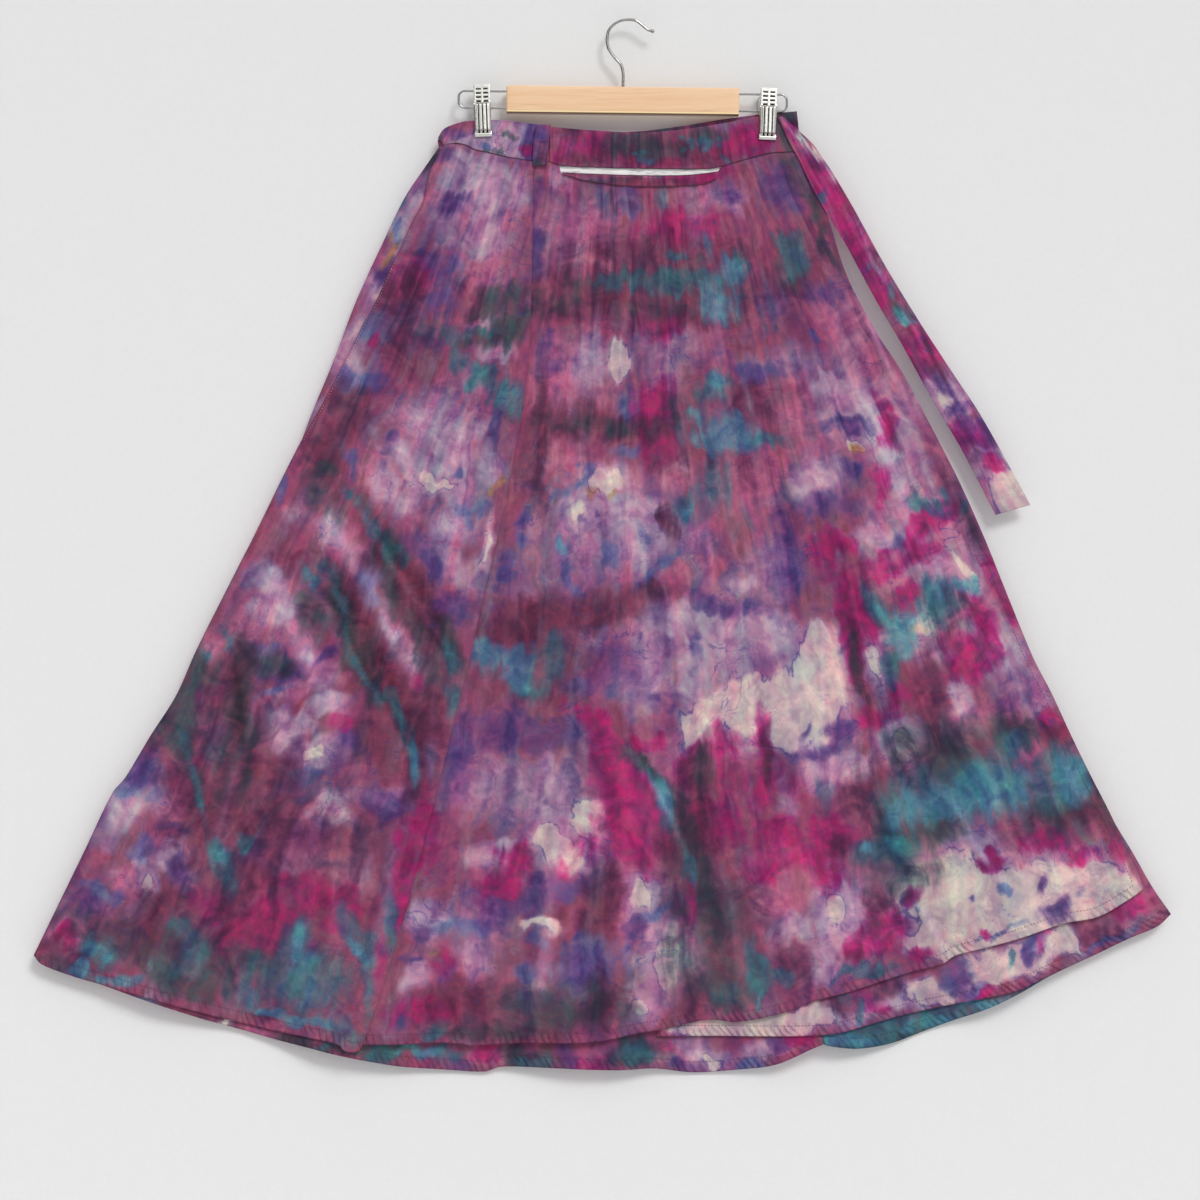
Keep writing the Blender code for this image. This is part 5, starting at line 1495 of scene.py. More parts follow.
UNDER_STAINS = {
    Dye.PINK: stains(
        (1144, 906, 26, 16), (900, 1002, 30, 16), (800, 1020, 30, 10), (1000, 965, 40, 10),
        (1100, 926, 30, 10),
    ),
    Dye.LILAC: stains((960, 982, 26, 14), (1040, 948, 20, 10), (840, 1016, 20, 10), (720, 1030, 50, 8)),
    Dye.PALE: stains(
        (1062, 943, 22, 12), (1003, 962, 34, 16), (910, 1000, 24, 12), (795, 1021, 44, 9),
        (720, 1030, 56, 8), (860, 1010, 16, 8),
    ),
    Dye.CREAM: stains(
        (1003, 963, 30, 16), (930, 996, 20, 14), (790, 1022, 40, 14), (720, 1030, 50, 14),
        (1064, 944, 22, 12), (752, 1028, 50, 12), (980, 976, 20, 14), (1030, 960, 20, 10),
    ),
    Dye.BLUE: stains((1027, 951, 6, 14), (974, 986, 10, 8), (944, 980, 6, 8), (1114, 936, 24, 4, 22)),
    Dye.PURPLE: stains((960, 980, 16, 14), (1038, 945, 8, 12, 0, 0.6), (1026, 955, 7, 9, 0, 0.7)),
    Dye.MAGENTA: stains(
        (1130, 906, 20, 10), (866, 998, 20, 11, 0, 0.6), (1040, 944, 6, 10, 0, 0.6), (985, 990, 8, 5),
        (880, 1010, 10, 5),
    ),
    Dye.MAROON: stains(
        (1098, 926, 26, 10, 0, 0.6), (1160, 908, 16, 10, 0, 0.6), (832, 1006, 20, 9, 0, 0.7),
        (880, 985, 20, 8, 0, 0.6),
    ),
    Dye.TEAL: stains((858, 1013, 4, 6), (1006, 958, 3, 6), (840, 1000, 12, 5, 0, 0.6), (1128, 836, 5, 12)),
}

BACK_STAINS = {
    Dye.PINK: stains(
        (119, 990, 14, 6), (492, 1057, 22, 12), (592, 1056, 16, 10), (668, 1058, 16, 12),
        (704, 1056, 24, 10), (254, 1032, 12, 5), (300, 500, 60, 90), (420, 300, 50, 70),
        (560, 800, 120, 90), (420, 620, 60, 70),
    ),
    Dye.LILAC: stains(
        (160, 1001, 26, 6, 12), (747, 1062, 20, 10), (690, 1046, 20, 8), (420, 190, 14, 20),
        (366, 330, 14, 30), (500, 500, 80, 60), (240, 800, 60, 60), (640, 600, 50, 80),
    ),
    Dye.PALE: stains(
        (404, 238, 12, 24, -20), (386, 292, 12, 22, -22), (366, 330, 12, 24, -22), (228, 1022, 16, 5),
        (708, 1058, 16, 8), (765, 1050, 20, 6), (346, 350, 10, 30, -24), (330, 400, 8, 20, -24),
        (420, 205, 8, 14), (400, 480, 60, 50), (620, 420, 40, 60), (330, 840, 50, 40), (560, 660, 50, 50),
    ),
    Dye.CREAM: stains((228, 1022, 11, 4), (712, 1060, 8, 6), (400, 480, 30, 26), (560, 660, 22, 26)),
    Dye.BLUE: stains(
        (148, 998, 18, 5, 12), (750, 1063, 12, 5), (400, 226, 5, 14), (500, 560, 30, 26),
        (250, 760, 34, 20),
    ),
    Dye.PURPLE: stains(
        (457, 1067, 16, 7), (569, 1052, 10, 10), (690, 1068, 20, 5), (778, 1044, 12, 8), (440, 700, 50, 26),
        (600, 300, 50, 20), (390, 270, 8, 16), (300, 620, 30, 30),
    ),
    Dye.MAGENTA: stains(
        (492, 1056, 14, 9), (594, 1058, 14, 8), (800, 1041, 14, 7), (662, 1052, 10, 8), (340, 700, 50, 40),
        (560, 920, 90, 26), (620, 520, 40, 34), (240, 900, 60, 24), (334, 430, 6, 30, -24),
    ),
    Dye.MAROON: stains(
        (196, 1014, 20, 6, 14), (311, 1044, 16, 6), (520, 760, 80, 30), (380, 580, 60, 26),
        (560, 380, 60, 24), (180, 950, 50, 20), (420, 160, 12, 12),
    ),
    Dye.DARK: stains(
        (345, 1052, 40, 8, 8), (400, 1054, 24, 8), (635, 1058, 26, 11), (520, 1056, 12, 12),
        (290, 1038, 20, 6), (546, 1058, 10, 10), (480, 830, 50, 16), (640, 740, 40, 20),
        (320, 560, 14, 60, 24), (430, 164, 10, 8),
    ),
    Dye.TEAL: stains(
        (395, 1054, 30, 9), (635, 1060, 18, 8), (330, 1046, 30, 6, 10), (540, 1062, 14, 6),
        (450, 1056, 14, 8), (480, 850, 30, 18), (640, 700, 20, 26), (300, 950, 50, 20), (404, 196, 5, 8),
    ),
    Dye.AQUA: stains((412, 1057, 18, 6), (436, 1056, 10, 5), (500, 850, 14, 12), (290, 960, 20, 10)),
    Dye.FLECK: stains((387, 258, 5, 10, -20), (392, 246, 4, 6, -20)),
}

BACK_RIGHT_STAINS = {
    Dye.PINK: stains((760, 420, 50, 60), (900, 640, 50, 50)),
    Dye.PALE: stains((850, 560, 40, 50), (740, 300, 20, 40)),
    Dye.PURPLE: stains((820, 700, 50, 24), (760, 520, 20, 40)),
    Dye.MAGENTA: stains((900, 780, 60, 24), (740, 640, 30, 50), (1000, 880, 40, 20)),
    Dye.MAROON: stains((926, 1024, 14, 8), (800, 860, 60, 26)),
    Dye.DARK: stains((880, 1040, 60, 20), (860, 960, 70, 30), (830, 1042, 12, 8)),
    Dye.TEAL: stains((865, 1038, 60, 22), (960, 1012, 70, 18), (1030, 980, 40, 12), (900, 900, 30, 14)),
    Dye.AQUA: stains((850, 1038, 22, 7), (930, 1026, 30, 6), (984, 1006, 20, 5)),
}

BAND_SIDE_STAINS = {
    Dye.PINK: stains(
        (470, 138, 26, 10), (505, 140, 20, 10), (458, 136, 10, 8), (545, 128, 8, 10), (520, 150, 16, 8),
    ),
    Dye.LILAC: stains((486, 128, 18, 9), (506, 148, 18, 10)),
    Dye.PALE: stains(
        (506, 133, 20, 12), (496, 150, 18, 9), (515, 146, 14, 10), (474, 140, 18, 10, 0, 0.8),
        (460, 148, 12, 6, 0, 0.6),
    ),
    Dye.BLUE: stains((531, 136, 12, 18), (484, 147, 5, 3)),
    Dye.PURPLE: stains(
        (450, 130, 9, 7, 0, 0.8), (536, 138, 9, 16), (462, 128, 10, 4, 0, 0.7), (538, 155, 9, 7),
    ),
    Dye.MAGENTA: stains((528, 148, 8, 5), (544, 148, 6, 14, 0, 0.7)),
    Dye.DARK: stains((508, 134, 12, 3, -14, 0.7), (497, 154, 12, 3, -20, 0.6), (440, 140, 4, 6, 0, 0.7)),
}

BAND_CENTRE_STAINS = {
    Dye.PINK: stains((564, 134, 14, 10), (573, 140, 10, 12)),
    Dye.LILAC: stains((724, 128, 14, 6, 0, 0.6)),
    Dye.MAGENTA: stains(
        (596, 146, 30, 11), (745, 136, 22, 9), (726, 150, 18, 8), (658, 160, 40, 6, 0, 0.7),
        (756, 146, 10, 10), (560, 156, 10, 6),
    ),
    Dye.MAROON: stains(
        (650, 150, 60, 14, 0, 0.8), (568, 130, 12, 8), (690, 158, 40, 8, 0, 0.7), (580, 160, 20, 5),
    ),
    Dye.DARK: stains(
        (634, 143, 26, 12), (706, 137, 16, 7), (662, 150, 30, 8, 0, 0.7), (616, 146, 10, 8, 0, 0.6),
        # (784, 138) is painted shadow of the tie on the band
        (784, 138, 6, 22, 22),
    ),
    Dye.TEAL: stains(
        (644, 151, 4, 3), (648, 160, 6, 4), (641, 158, 3, 4), (682, 138, 3, 2), (690, 142, 4, 3),
        (684, 151, 3, 2), (702, 142, 4, 5), (711, 144, 5, 4), (706, 150, 4, 3), (719, 141, 2.5, 3),
        (719, 148, 2.5, 3), (726, 160, 5, 3, -26), (693, 148, 2.5, 3), (636, 154, 3, 2),
    ),
}

BAND_BACK_STAINS = {
    Dye.MAGENTA: stains((785, 128, 8, 8), (700, 125, 30, 6, 0, 0.7), (600, 135, 60, 12), (480, 135, 40, 12)),
    Dye.MAROON: stains((787, 120, 12, 8), (690, 122, 40, 8), (540, 140, 60, 14)),
    Dye.DARK: stains((793, 116, 9, 7), (672, 127, 22, 5), (786, 113, 10, 5)),
    Dye.TEAL: stains((665, 129, 10, 3), (690, 127, 6, 3, 0, 0.7)),
    Dye.PURPLE: stains((560, 145, 30, 10), (720, 140, 30, 10)),
}

WELT_STAINS = {
    Dye.PINK: stains((640, 177, 20, 5), (584, 178, 8, 3)),
    Dye.MAGENTA: stains((704, 178, 14, 6), (676, 180, 12, 5), (605, 180, 12, 4, 0, 0.5)),
    Dye.MAROON: stains((640, 184, 60, 5, 0, 0.7), (600, 180, 20, 4, 0, 0.6)),
    Dye.TEAL: stains((600, 178, 10, 3, 0, 0.6), (665, 176, 8, 2, 0, 0.5)),
    Dye.DARK: stains((588, 180, 12, 3, 0, 0.7), (626, 182, 16, 3, 0, 0.5)),
}

LOOP_STAINS = {
    Dye.PURPLE: stains((541, 145, 12, 26)),
    Dye.BLUE: stains((539, 135, 7, 10), (536, 160, 4, 8)),
    Dye.MAROON: stains((543, 156, 8, 10, 0, 0.7)),
    # The dark stain at the loop's foot is painted shadow under the loop
    Dye.DARK: stains((541, 165, 9, 3)),
}

TIE_STAINS = {
    Dye.PINK: stains(
        (805, 158, 12, 44, 34), (840, 225, 12, 50, 30, 0.8), (958, 404, 20, 30, 30), (790, 122, 10, 6),
        (880, 262, 8, 18, 30), (992, 470, 14, 14), (975, 442, 8, 8), (1004, 488, 12, 14),
    ),
    Dye.LILAC: stains(
        # The three thin lines that start this row run along the tie's fold and are painted highlight
        (856, 214, 3, 40, 28, 0.8), (891, 280, 3, 36, 28, 0.7), (925, 336, 3, 30, 28, 0.6),
        (860, 222, 5, 20, 30), (834, 176, 6, 18, 32), (942, 380, 12, 24, 30), (960, 400, 12, 14),
        (925, 345, 8, 18, 30),
    ),
    Dye.PALE: stains(
        (936, 392, 12, 12), (952, 408, 12, 16, 30), (852, 243, 5, 2), (868, 265, 5, 5), (882, 280, 2, 5),
        # (836, 188) and (876, 268) on the next line and (922, 346) further down are thin lines of painted
        # highlight along the tie's fold
        (1008, 494, 16, 18), (972, 448, 5, 7), (836, 188, 2, 36, 30), (876, 268, 2, 40, 28),
        (900, 318, 4, 8, 30), (1000, 460, 8, 12), (950, 402, 12, 22, 30), (998, 480, 16, 24, 30),
        (922, 346, 2, 24, 30, 0.8),
    ),
    Dye.CREAM: stains(
        # (798, 134) and (812, 150) on the next line and (826, 158) further down are the painted highlight of
        # the tie's roll under the clip
        (1014, 500, 16, 18), (1012, 492, 18, 22, 30), (798, 134, 6, 12, 44), (812, 150, 3, 14, 38),
        (868, 266, 3, 3), (852, 243, 3, 1.5), (946, 400, 6, 12, 30), (1020, 478, 6, 14, 30),
        (826, 158, 3, 12, 34),
    ),
    Dye.BLUE: stains(
        (974, 434, 14, 9), (966, 428, 8, 9), (985, 424, 8, 7), (984, 444, 5, 9), (915, 375, 4, 6),
    ),
    Dye.PURPLE: stains(
        (975, 432, 17, 13), (990, 452, 6, 16, 24), (944, 386, 5, 16, 34), (936, 374, 5, 12, 34),
        (960, 410, 10, 6, 34),
    ),
    Dye.MAGENTA: stains(
        (816, 176, 9, 26, 32, 0.8), (850, 238, 9, 34, 30), (790, 138, 4, 14, 34, 0.7),
        (880, 290, 9, 30, 30), (924, 344, 13, 26, 30), (912, 356, 9, 20, 30), (968, 436, 20, 15, 0, 0.7),
        (994, 462, 9, 8), (800, 124, 12, 8), (842, 204, 8, 16, 30),
    ),
    Dye.MAROON: stains(
        (846, 206, 4, 20, 30, 0.7), (900, 312, 6, 20, 30, 0.7), (876, 262, 5, 16, 30, 0.6),
        (935, 366, 6, 18, 30, 0.7),
    ),
    Dye.DARK: stains(
        # These thin dark lines along the tie's fold are painted shade
        (893, 300, 3, 18, 30, 0.7), (928, 346, 2, 24, 30, 0.7), (860, 212, 2.5, 36, 28, 0.7),
        (892, 270, 2.5, 30, 28, 0.7),
    ),
    Dye.TEAL: stains((901, 315, 8, 10, 28), (822, 196, 4, 6), (852, 180, 4, 26, 34, 0.6), (890, 294, 4, 8)),
    Dye.AQUA: stains((906, 322, 7, 4), (900, 314, 3, 8, 28), (868, 266, 5, 4, 0, 0.4)),
}


def metres(*rows: tuple) -> tuple:
    """Return a crease's path in metres from columns and rows of the plan."""
    return tuple((plan_x(column), plan_drop(row)) for column, row in rows)


SIDE_CREASES = (
    Crease(metres((298, 558), (337, 610), (365, 666), (395, 719), (408, 757)), 0.0015, 0.0042),
    Crease(metres((330, 570), (366, 640), (400, 706), (420, 760)), 0.0015, 0.0120),
    Crease(metres((352, 480), (392, 552), (432, 618), (452, 668)), 0.0013, 0.0110),
    Crease(metres((322, 500), (356, 562), (390, 622), (412, 676)), -0.0012, 0.0120),
    Crease(metres((262, 560), (300, 640), (336, 720), (356, 780)), -0.0012, 0.0140),
    Crease(metres((236, 660), (240, 720), (246, 780)), 0.0013, 0.0090),
    Crease(metres((350, 495), (388, 559), (439, 635), (455, 660)), -0.0011, 0.0050),
    Crease(metres((232, 650), (240, 700), (245, 760)), 0.0008, 0.0035),
    Crease(metres((268, 640), (240, 760), (206, 880)), -0.0009, 0.0070),
    Crease(metres((440, 200), (470, 260), (492, 330)), 0.0006, 0.0060),
    Crease(metres((470, 420), (456, 520), (430, 610)), -0.0007, 0.0080),
    Crease(metres((492, 166), (508, 186), (515, 214)), 0.0005, 0.0030),
    Crease(metres((170, 860), (150, 930), (140, 975)), 0.0009, 0.0070),
    Crease(metres((330, 860), (318, 940), (314, 1010)), 0.0008, 0.0070),
    Crease(metres((396, 820), (384, 920), (366, 1010)), -0.0008, 0.0070),
)
CENTRE_CREASES = (
    Crease(metres((627, 747), (656, 789), (675, 827), (684, 858)), -0.0012, 0.0040),
    Crease(metres((612, 700), (640, 752), (664, 800)), 0.0008, 0.0050),
    Crease(metres((440, 984), (452, 1012), (464, 1044)), 0.0010, 0.0040),
    Crease(metres((822, 616), (822, 731)), -0.0008, 0.0030),
    Crease(metres((761, 683), (761, 750)), 0.0007, 0.0028),
    Crease(metres((862, 665), (870, 704), (883, 734), (912, 789), (953, 847)), 0.0010, 0.0040),
    Crease(metres((925, 769), (961, 817), (974, 845), (1000, 880), (1024, 917)), -0.0012, 0.0042),
    Crease(metres((961, 721), (992, 765), (1011, 817), (1024, 856), (1042, 904)), 0.0012, 0.0042),
    Crease(metres((1089, 784), (1107, 849), (1115, 888)), 0.0009, 0.0040),
    Crease(metres((914, 900), (930, 926), (948, 958)), -0.0012, 0.0045),
    Crease(metres((803, 159), (817, 211), (835, 251), (855, 308), (875, 357), (883, 377)), 0.0010, 0.0045),
    Crease(metres((858, 297), (883, 360), (898, 383), (912, 417)), -0.0010, 0.0042),
    Crease(metres((875, 391), (888, 424), (903, 463)), 0.0008, 0.0040),
    Crease(metres((830, 330), (872, 420), (905, 520), (950, 600)), -0.0009, 0.0090),
    Crease(metres((600, 210), (610, 300), (604, 400)), 0.0006, 0.0100),
    Crease(metres((700, 220), (716, 330), (722, 470)), -0.0008, 0.0110),
    Crease(metres((560, 420), (540, 560), (516, 700)), 0.0008, 0.0100),
    Crease(metres((760, 380), (790, 520), (800, 640)), 0.0009, 0.0100),
    Crease(metres((560, 820), (548, 920), (540, 1010)), -0.0010, 0.0090),
    Crease(metres((640, 850), (640, 940), (636, 1020)), 0.0009, 0.0080),
    Crease(metres((720, 860), (736, 940), (748, 1010)), -0.0009, 0.0080),
    Crease(metres((820, 860), (836, 930), (846, 980)), 0.0009, 0.0070),
    Crease(metres((688, 172), (693, 184), (702, 190)), 0.0004, 0.0020),
)
BACK_CREASES = (
    Crease(metres((320, 420), (270, 560), (200, 760), (150, 900)), 0.0010, 0.0080),
    Crease(metres((440, 320), (400, 520), (360, 740)), -0.0011, 0.0090),
    Crease(metres((520, 460), (500, 680), (470, 900)), 0.0012, 0.0090),
    Crease(metres((600, 280), (612, 500), (620, 700)), -0.0010, 0.0100),
    Crease(metres((660, 620), (690, 820), (720, 1010)), 0.0011, 0.0080),
    Crease(metres((330, 860), (300, 960), (290, 1030)), -0.0010, 0.0060),
    Crease(metres((520, 920), (508, 990), (500, 1050)), 0.0010, 0.0060),
)
BACK_RIGHT_CREASES = (
    Crease(metres((800, 300), (850, 480), (920, 660)), 0.0010, 0.0080),
    Crease(metres((740, 420), (780, 640), (820, 860)), -0.0011, 0.0090),
    Crease(metres((900, 760), (960, 880), (1000, 960)), 0.0010, 0.0060),
)


@dataclass
class Tailor:
    """Keeps the cloth's finishes and sews the pieces that share them."""

    cotton: bpy.types.Material
    pieces: dict = field(default_factory=dict)

    def sew(self, *pieces: ClothPiece, cloth: Optional[bpy.types.Material] = None) -> None:
        """Build each piece, from the dyed cotton unless another cloth is given.

        Args:
            cloth: another cloth, where they aren't of dyed cotton.
            pieces: the pieces.
        """
        for piece in pieces:
            self.pieces[piece.name] = piece
            piece.build(cloth or self.cotton)


@dataclass
class SkirtPanels:
    """The gores of the skirt, the under wrap and the back."""

    roll_lift: float = 0.0040
    roll_share: float = 0.12
    roll_start: float = 0.36
    roll_end: float = 0.46
    roll_turn: float = 0.0022
    wrap_lift: float = 0.0015
    joint_gap: float = 0.00004

    def rolled_edge(self, across: np.ndarray, down: np.ndarray, drop: np.ndarray) -> np.ndarray:
        """Return how the side gore's upper left edge rolls towards the viewer.

        Args:
            across: shares from the left edge to the right one.
            down: shares from the top edge to the foot.
            drop: the points' drop below the hook's seat.

        Returns:
            How far back each point is pushed, or forward where negative.
        """
        high = 1.0 - smooth_step(self.roll_start, self.roll_end, drop)
        turn = np.exp(-((across / 0.014) ** 2))
        near = 1.0 - smooth_step(0.0, self.roll_share, across)
        return high * (self.roll_turn * turn - self.roll_lift * near)

    def wrap_edge(self, across: np.ndarray, down: np.ndarray, drop: np.ndarray) -> np.ndarray:
        """Return how the wrap's free edge lifts and rolls over.

        Args:
            across: shares from the left edge to the right one.
            down: shares from the top edge to the foot.
            drop: the points' drop below the hook's seat.

        Returns:
            How far back each point is pushed, or forward where negative.
        """
        near = smooth_step(0.88, 1.0, across) * smooth_step(0.150, SETTLED_DROP, drop)
        turn = smooth_step(0.985, 1.0, across) * smooth_step(0.150, SETTLED_DROP, drop)
        return -self.wrap_lift * near + 0.0008 * turn

    def side_gore(self) -> ClothPiece:
        """Return the left front gore, whose right edge laps over the centre gore."""
        top = shifted(cut_at(WAIST_SEAM, WAIST_SEAM[0].x, SIDE_SEAM[0].x), down=SEAM_GAP)
        sheet = Sheet(top, SIDE_HEM, (top[0], *ROLLED_LEFT[1:]), (top[-1], *SIDE_SEAM[1:]))
        return ClothPiece("front_side_gore", Layer.OVER, sheet, "dyed_cotton_front",
                          DyeBath(SIDE_STAINS, 3), 118, 220, creases=SIDE_CREASES, lift=self.rolled_edge,
                          hem=HEM_DEPTH, rests_on=("waistband_front_side_cloth",))

    def centre_top(self) -> tuple:
        """Return the centre gore's top edge, which dips round the pocket."""
        left = cut_at(WAIST_SEAM, SIDE_SEAM[0].x - LAP, POCKET_MOUTH[0].x - POCKET_CORNER)
        right = cut_at(WAIST_SEAM, POCKET_MOUTH[-1].x + POCKET_CORNER, WRAP_EDGE[0].x)
        return (*shifted(left, down=SEAM_GAP), *POCKET_MOUTH, *shifted(right, down=SEAM_GAP))

    def centre_gore(self) -> ClothPiece:
        """Return the outer wrap, with the free edge down its right side."""
        top = self.centre_top()
        left = (top[0], *shifted(SIDE_SEAM[1:-1], across=-LAP), CENTRE_HEM[0])
        sheet = Sheet(top, CENTRE_HEM, left, (top[-1], *WRAP_EDGE[1:]))
        spots = dict(CENTRE_STAINS)
        spots[Dye.BLUE] = (*spots[Dye.BLUE], *ring_of_spots(606, 540, 82, 165, 262, 9, 3.6, 0.8))
        spots[Dye.PURPLE] = (*spots[Dye.PURPLE], *ring_of_spots(630, 560, 60, 150, 250, 8, 3.4, 0.7),
                             *ring_of_spots(620, 590, 126, 150, 196, 7, 4.0, 0.7))
        return ClothPiece("front_centre_gore", Layer.FRONT, sheet, "dyed_cotton_front",
                          DyeBath(spots, 5), 214, 226, creases=CENTRE_CREASES, lift=self.wrap_edge,
                          hem=HEM_DEPTH, rests_on=("waistband_front_centre_cloth",))

    def under_wrap(self) -> ClothPiece:
        """Return the wrap's inner front."""
        top = shifted(cut_at(WAIST_SEAM, UNDER_INNER_EDGE[0].x, UNDER_EDGE[0].x), down=SEAM_GAP)
        sheet = Sheet(top, UNDER_HEM, (top[0], UNDER_INNER_EDGE[1]), (top[-1], *UNDER_EDGE[1:]))
        return ClothPiece("front_under_wrap", Layer.UNDER, sheet, "dyed_cotton_under",
                          DyeBath(UNDER_STAINS, 7), 130, 170, hem=HEM_DEPTH,
                          rests_on=("waistband_under_cloth",))

    def back_gores(self) -> tuple:
        """Return the two gores of the back."""
        foot = shifted(BACK_BAND_FOOT, down=SEAM_GAP)
        left_top = cut_at(foot, SKIRT_LEFT[0].x, BACK_SEAM[0].x - self.joint_gap)
        right_top = cut_at(foot, BACK_SEAM[0].x + self.joint_gap, BACK_EDGE[0].x)
        seam_left = shifted(BACK_SEAM, across=-self.joint_gap)
        seam_right = shifted(BACK_SEAM, across=self.joint_gap)
        left = Sheet(left_top, (*BACK_LEFT_HEM[:-1], seam_left[-1]), (left_top[0], *SKIRT_LEFT[1:]),
                     (left_top[-1], *seam_left[1:]))
        right = Sheet(right_top, (seam_right[-1], *BACK_RIGHT_HEM[1:]), (right_top[0], *seam_right[1:]),
                      (right_top[-1], *BACK_EDGE[1:]))
        return (
            ClothPiece("back_gore_left", Layer.BACK, left, "dyed_cotton_back",
                       DyeBath(BACK_STAINS, 13), 180, 180,
                       creases=BACK_CREASES, hem=HEM_DEPTH, rests_on=("waistband_back_cloth",)),
            ClothPiece("back_gore_right", Layer.BACK, right, "dyed_cotton_back",
                       DyeBath(BACK_RIGHT_STAINS, 19), 90, 180,
                       creases=BACK_RIGHT_CREASES, hem=HEM_DEPTH, rests_on=("waistband_back_cloth",)),
        )

    def build(self, tailor: Tailor) -> None:
        """Sew the panels."""
        tailor.sew(*self.back_gores(), self.under_wrap(), self.centre_gore(), self.side_gore())


@dataclass
class Waistband:
    """The waistband: two sections in front, one on the under wrap and one at the back."""

    clips: tuple = ("clip_left_front_jaw_shell", "clip_right_front_jaw_shell")
    padding: float = 0.0005

    def padded(self, across: np.ndarray, down: np.ndarray, drop: np.ndarray) -> np.ndarray:
        """Return how the doubled band swells between its top and its seam."""
        return -self.padding * np.clip(np.sin(np.pi * down), 0.0, 1.0) ** 0.6

    def section(self, name: str, layer: Layer, slot: str, top: tuple, foot: tuple, bath: DyeBath,
                columns: int, creases: tuple = ()) -> ClothPiece:
        """Cut one section with straight ends.

        Args:
            name: the section's name.
            layer: the layer it lies in.
            slot: the name of a material slot, kept on the piece but not used.
            top: its upper edge.
            foot: its lower edge.
            bath: its dyes.
            columns: how many columns its mesh has.
            creases: its creases.

        Returns:
            The section, not built yet.
        """
        sheet = Sheet(top, foot, (top[0], foot[0]), (top[-1], foot[-1]))
        return ClothPiece(name, layer, sheet, slot, bath, columns, 30, creases=creases, lift=self.padded,
                          rests_on=self.clips)

    def build(self, tailor: Tailor) -> None:
        """Sew the four sections.

        Args:
            tailor: who sews the pieces.
        """
        joint_left, joint_right = BAND_JOINT_X - TOUCH_GAP, BAND_JOINT_X + TOUCH_GAP
        under_foot = BAND_RIGHT_X + BAND_RIGHT_SLANT - UNDER_BAND_INSET
        slot = "dyed_cotton_band"
        side_creases = (Crease(metres((492, 140), (500, 146), (508, 153)), 0.0006, 0.0016),
                        Crease(metres((448, 126), (452, 136), (452, 144)), 0.0005, 0.0020))
        centre_creases = (Crease(metres((606, 133), (612, 146), (610, 160)), 0.0005, 0.0030),
                          Crease(metres((700, 128), (706, 140), (702, 158)), -0.0005, 0.0030))
        tailor.sew(
            self.section("waistband_back", Layer.BACK, slot, BACK_BAND_TOP, BACK_BAND_FOOT,
                         DyeBath(BAND_BACK_STAINS, 23), 130),
            self.section("waistband_under", Layer.UNDER, slot,
                         shifted(cut_at(FRONT_BAND_TOP, UNDER_BAND_LEFT_X, BAND_RIGHT_X - UNDER_BAND_INSET),
                                 down=UNDER_BAND_DROP),
                         cut_at(WAIST_SEAM, UNDER_BAND_LEFT_X, under_foot),
                         DyeBath(BAND_BACK_STAINS, 29), 70),
            self.section("waistband_front_side", Layer.FRONT, slot,
                         cut_at(FRONT_BAND_TOP, BAND_LEFT_X, joint_left),
                         cut_at(WAIST_SEAM, BAND_FOOT_LEFT_X, joint_left),
                         DyeBath(BAND_SIDE_STAINS, 31, 0.004, 0.003), 90, side_creases),
            self.section("waistband_front_centre", Layer.FRONT, slot,
                         cut_at(FRONT_BAND_TOP, joint_right, BAND_RIGHT_X),
                         cut_at(WAIST_SEAM, joint_right, BAND_RIGHT_X + BAND_RIGHT_SLANT),
                         DyeBath(BAND_CENTRE_STAINS, 37, 0.0015, 0.0015), 190, centre_creases),
        )


@dataclass
class SlotPocket:
    """The slot under the waistband: a white lining behind it and a topstitched welt below it."""

    lining: bpy.types.Material
    margin: float = 0.006
    top_drop: float = 0.1470
    foot_drop: float = 0.1760

    def welt_lift(self, across: np.ndarray, down: np.ndarray, drop: np.ndarray) -> np.ndarray:
        """Return how the doubled welt swells between its edges."""
        return -0.0006 * np.clip(np.sin(np.pi * down), 0.0, 1.0) ** 0.5 + 0.0002

    def build(self, tailor: Tailor) -> None:
        """Sew the welt and the lining.

        Args:
            tailor: who sews the pieces.
        """
        welt = Sheet(POCKET_MOUTH, WELT_FOOT, (POCKET_MOUTH[0], WELT_FOOT[0]),
                     (POCKET_MOUTH[-1], WELT_FOOT[-1]))
        tailor.sew(ClothPiece("pocket_welt", Layer.OVER, welt, "dyed_cotton_front",
                              DyeBath(WELT_STAINS, 41, 0.003, 0.002), 150, 14, lift=self.welt_lift,
                              rests_on=("front_centre_gore_cloth",)))
        left, right = POCKET_MOUTH[0].x - self.margin, POCKET_MOUTH[-1].x + self.margin
        corners = [Station(x, drop) for drop in (self.top_drop, self.foot_drop) for x in (left, right)]
        bag = Sheet((corners[0], corners[1]), (corners[2], corners[3]), (corners[0], corners[2]),
                    (corners[1], corners[3]))
        cloth = ClothPiece("pocket_lining", Layer.LINING, bag, "white_lining", DyeBath({}, 43), 140, 20,
                           ripple=0.0005, shell=0.0004, rests_on=("front_centre_gore_cloth",))
        tailor.sew(cloth, cloth=self.lining)


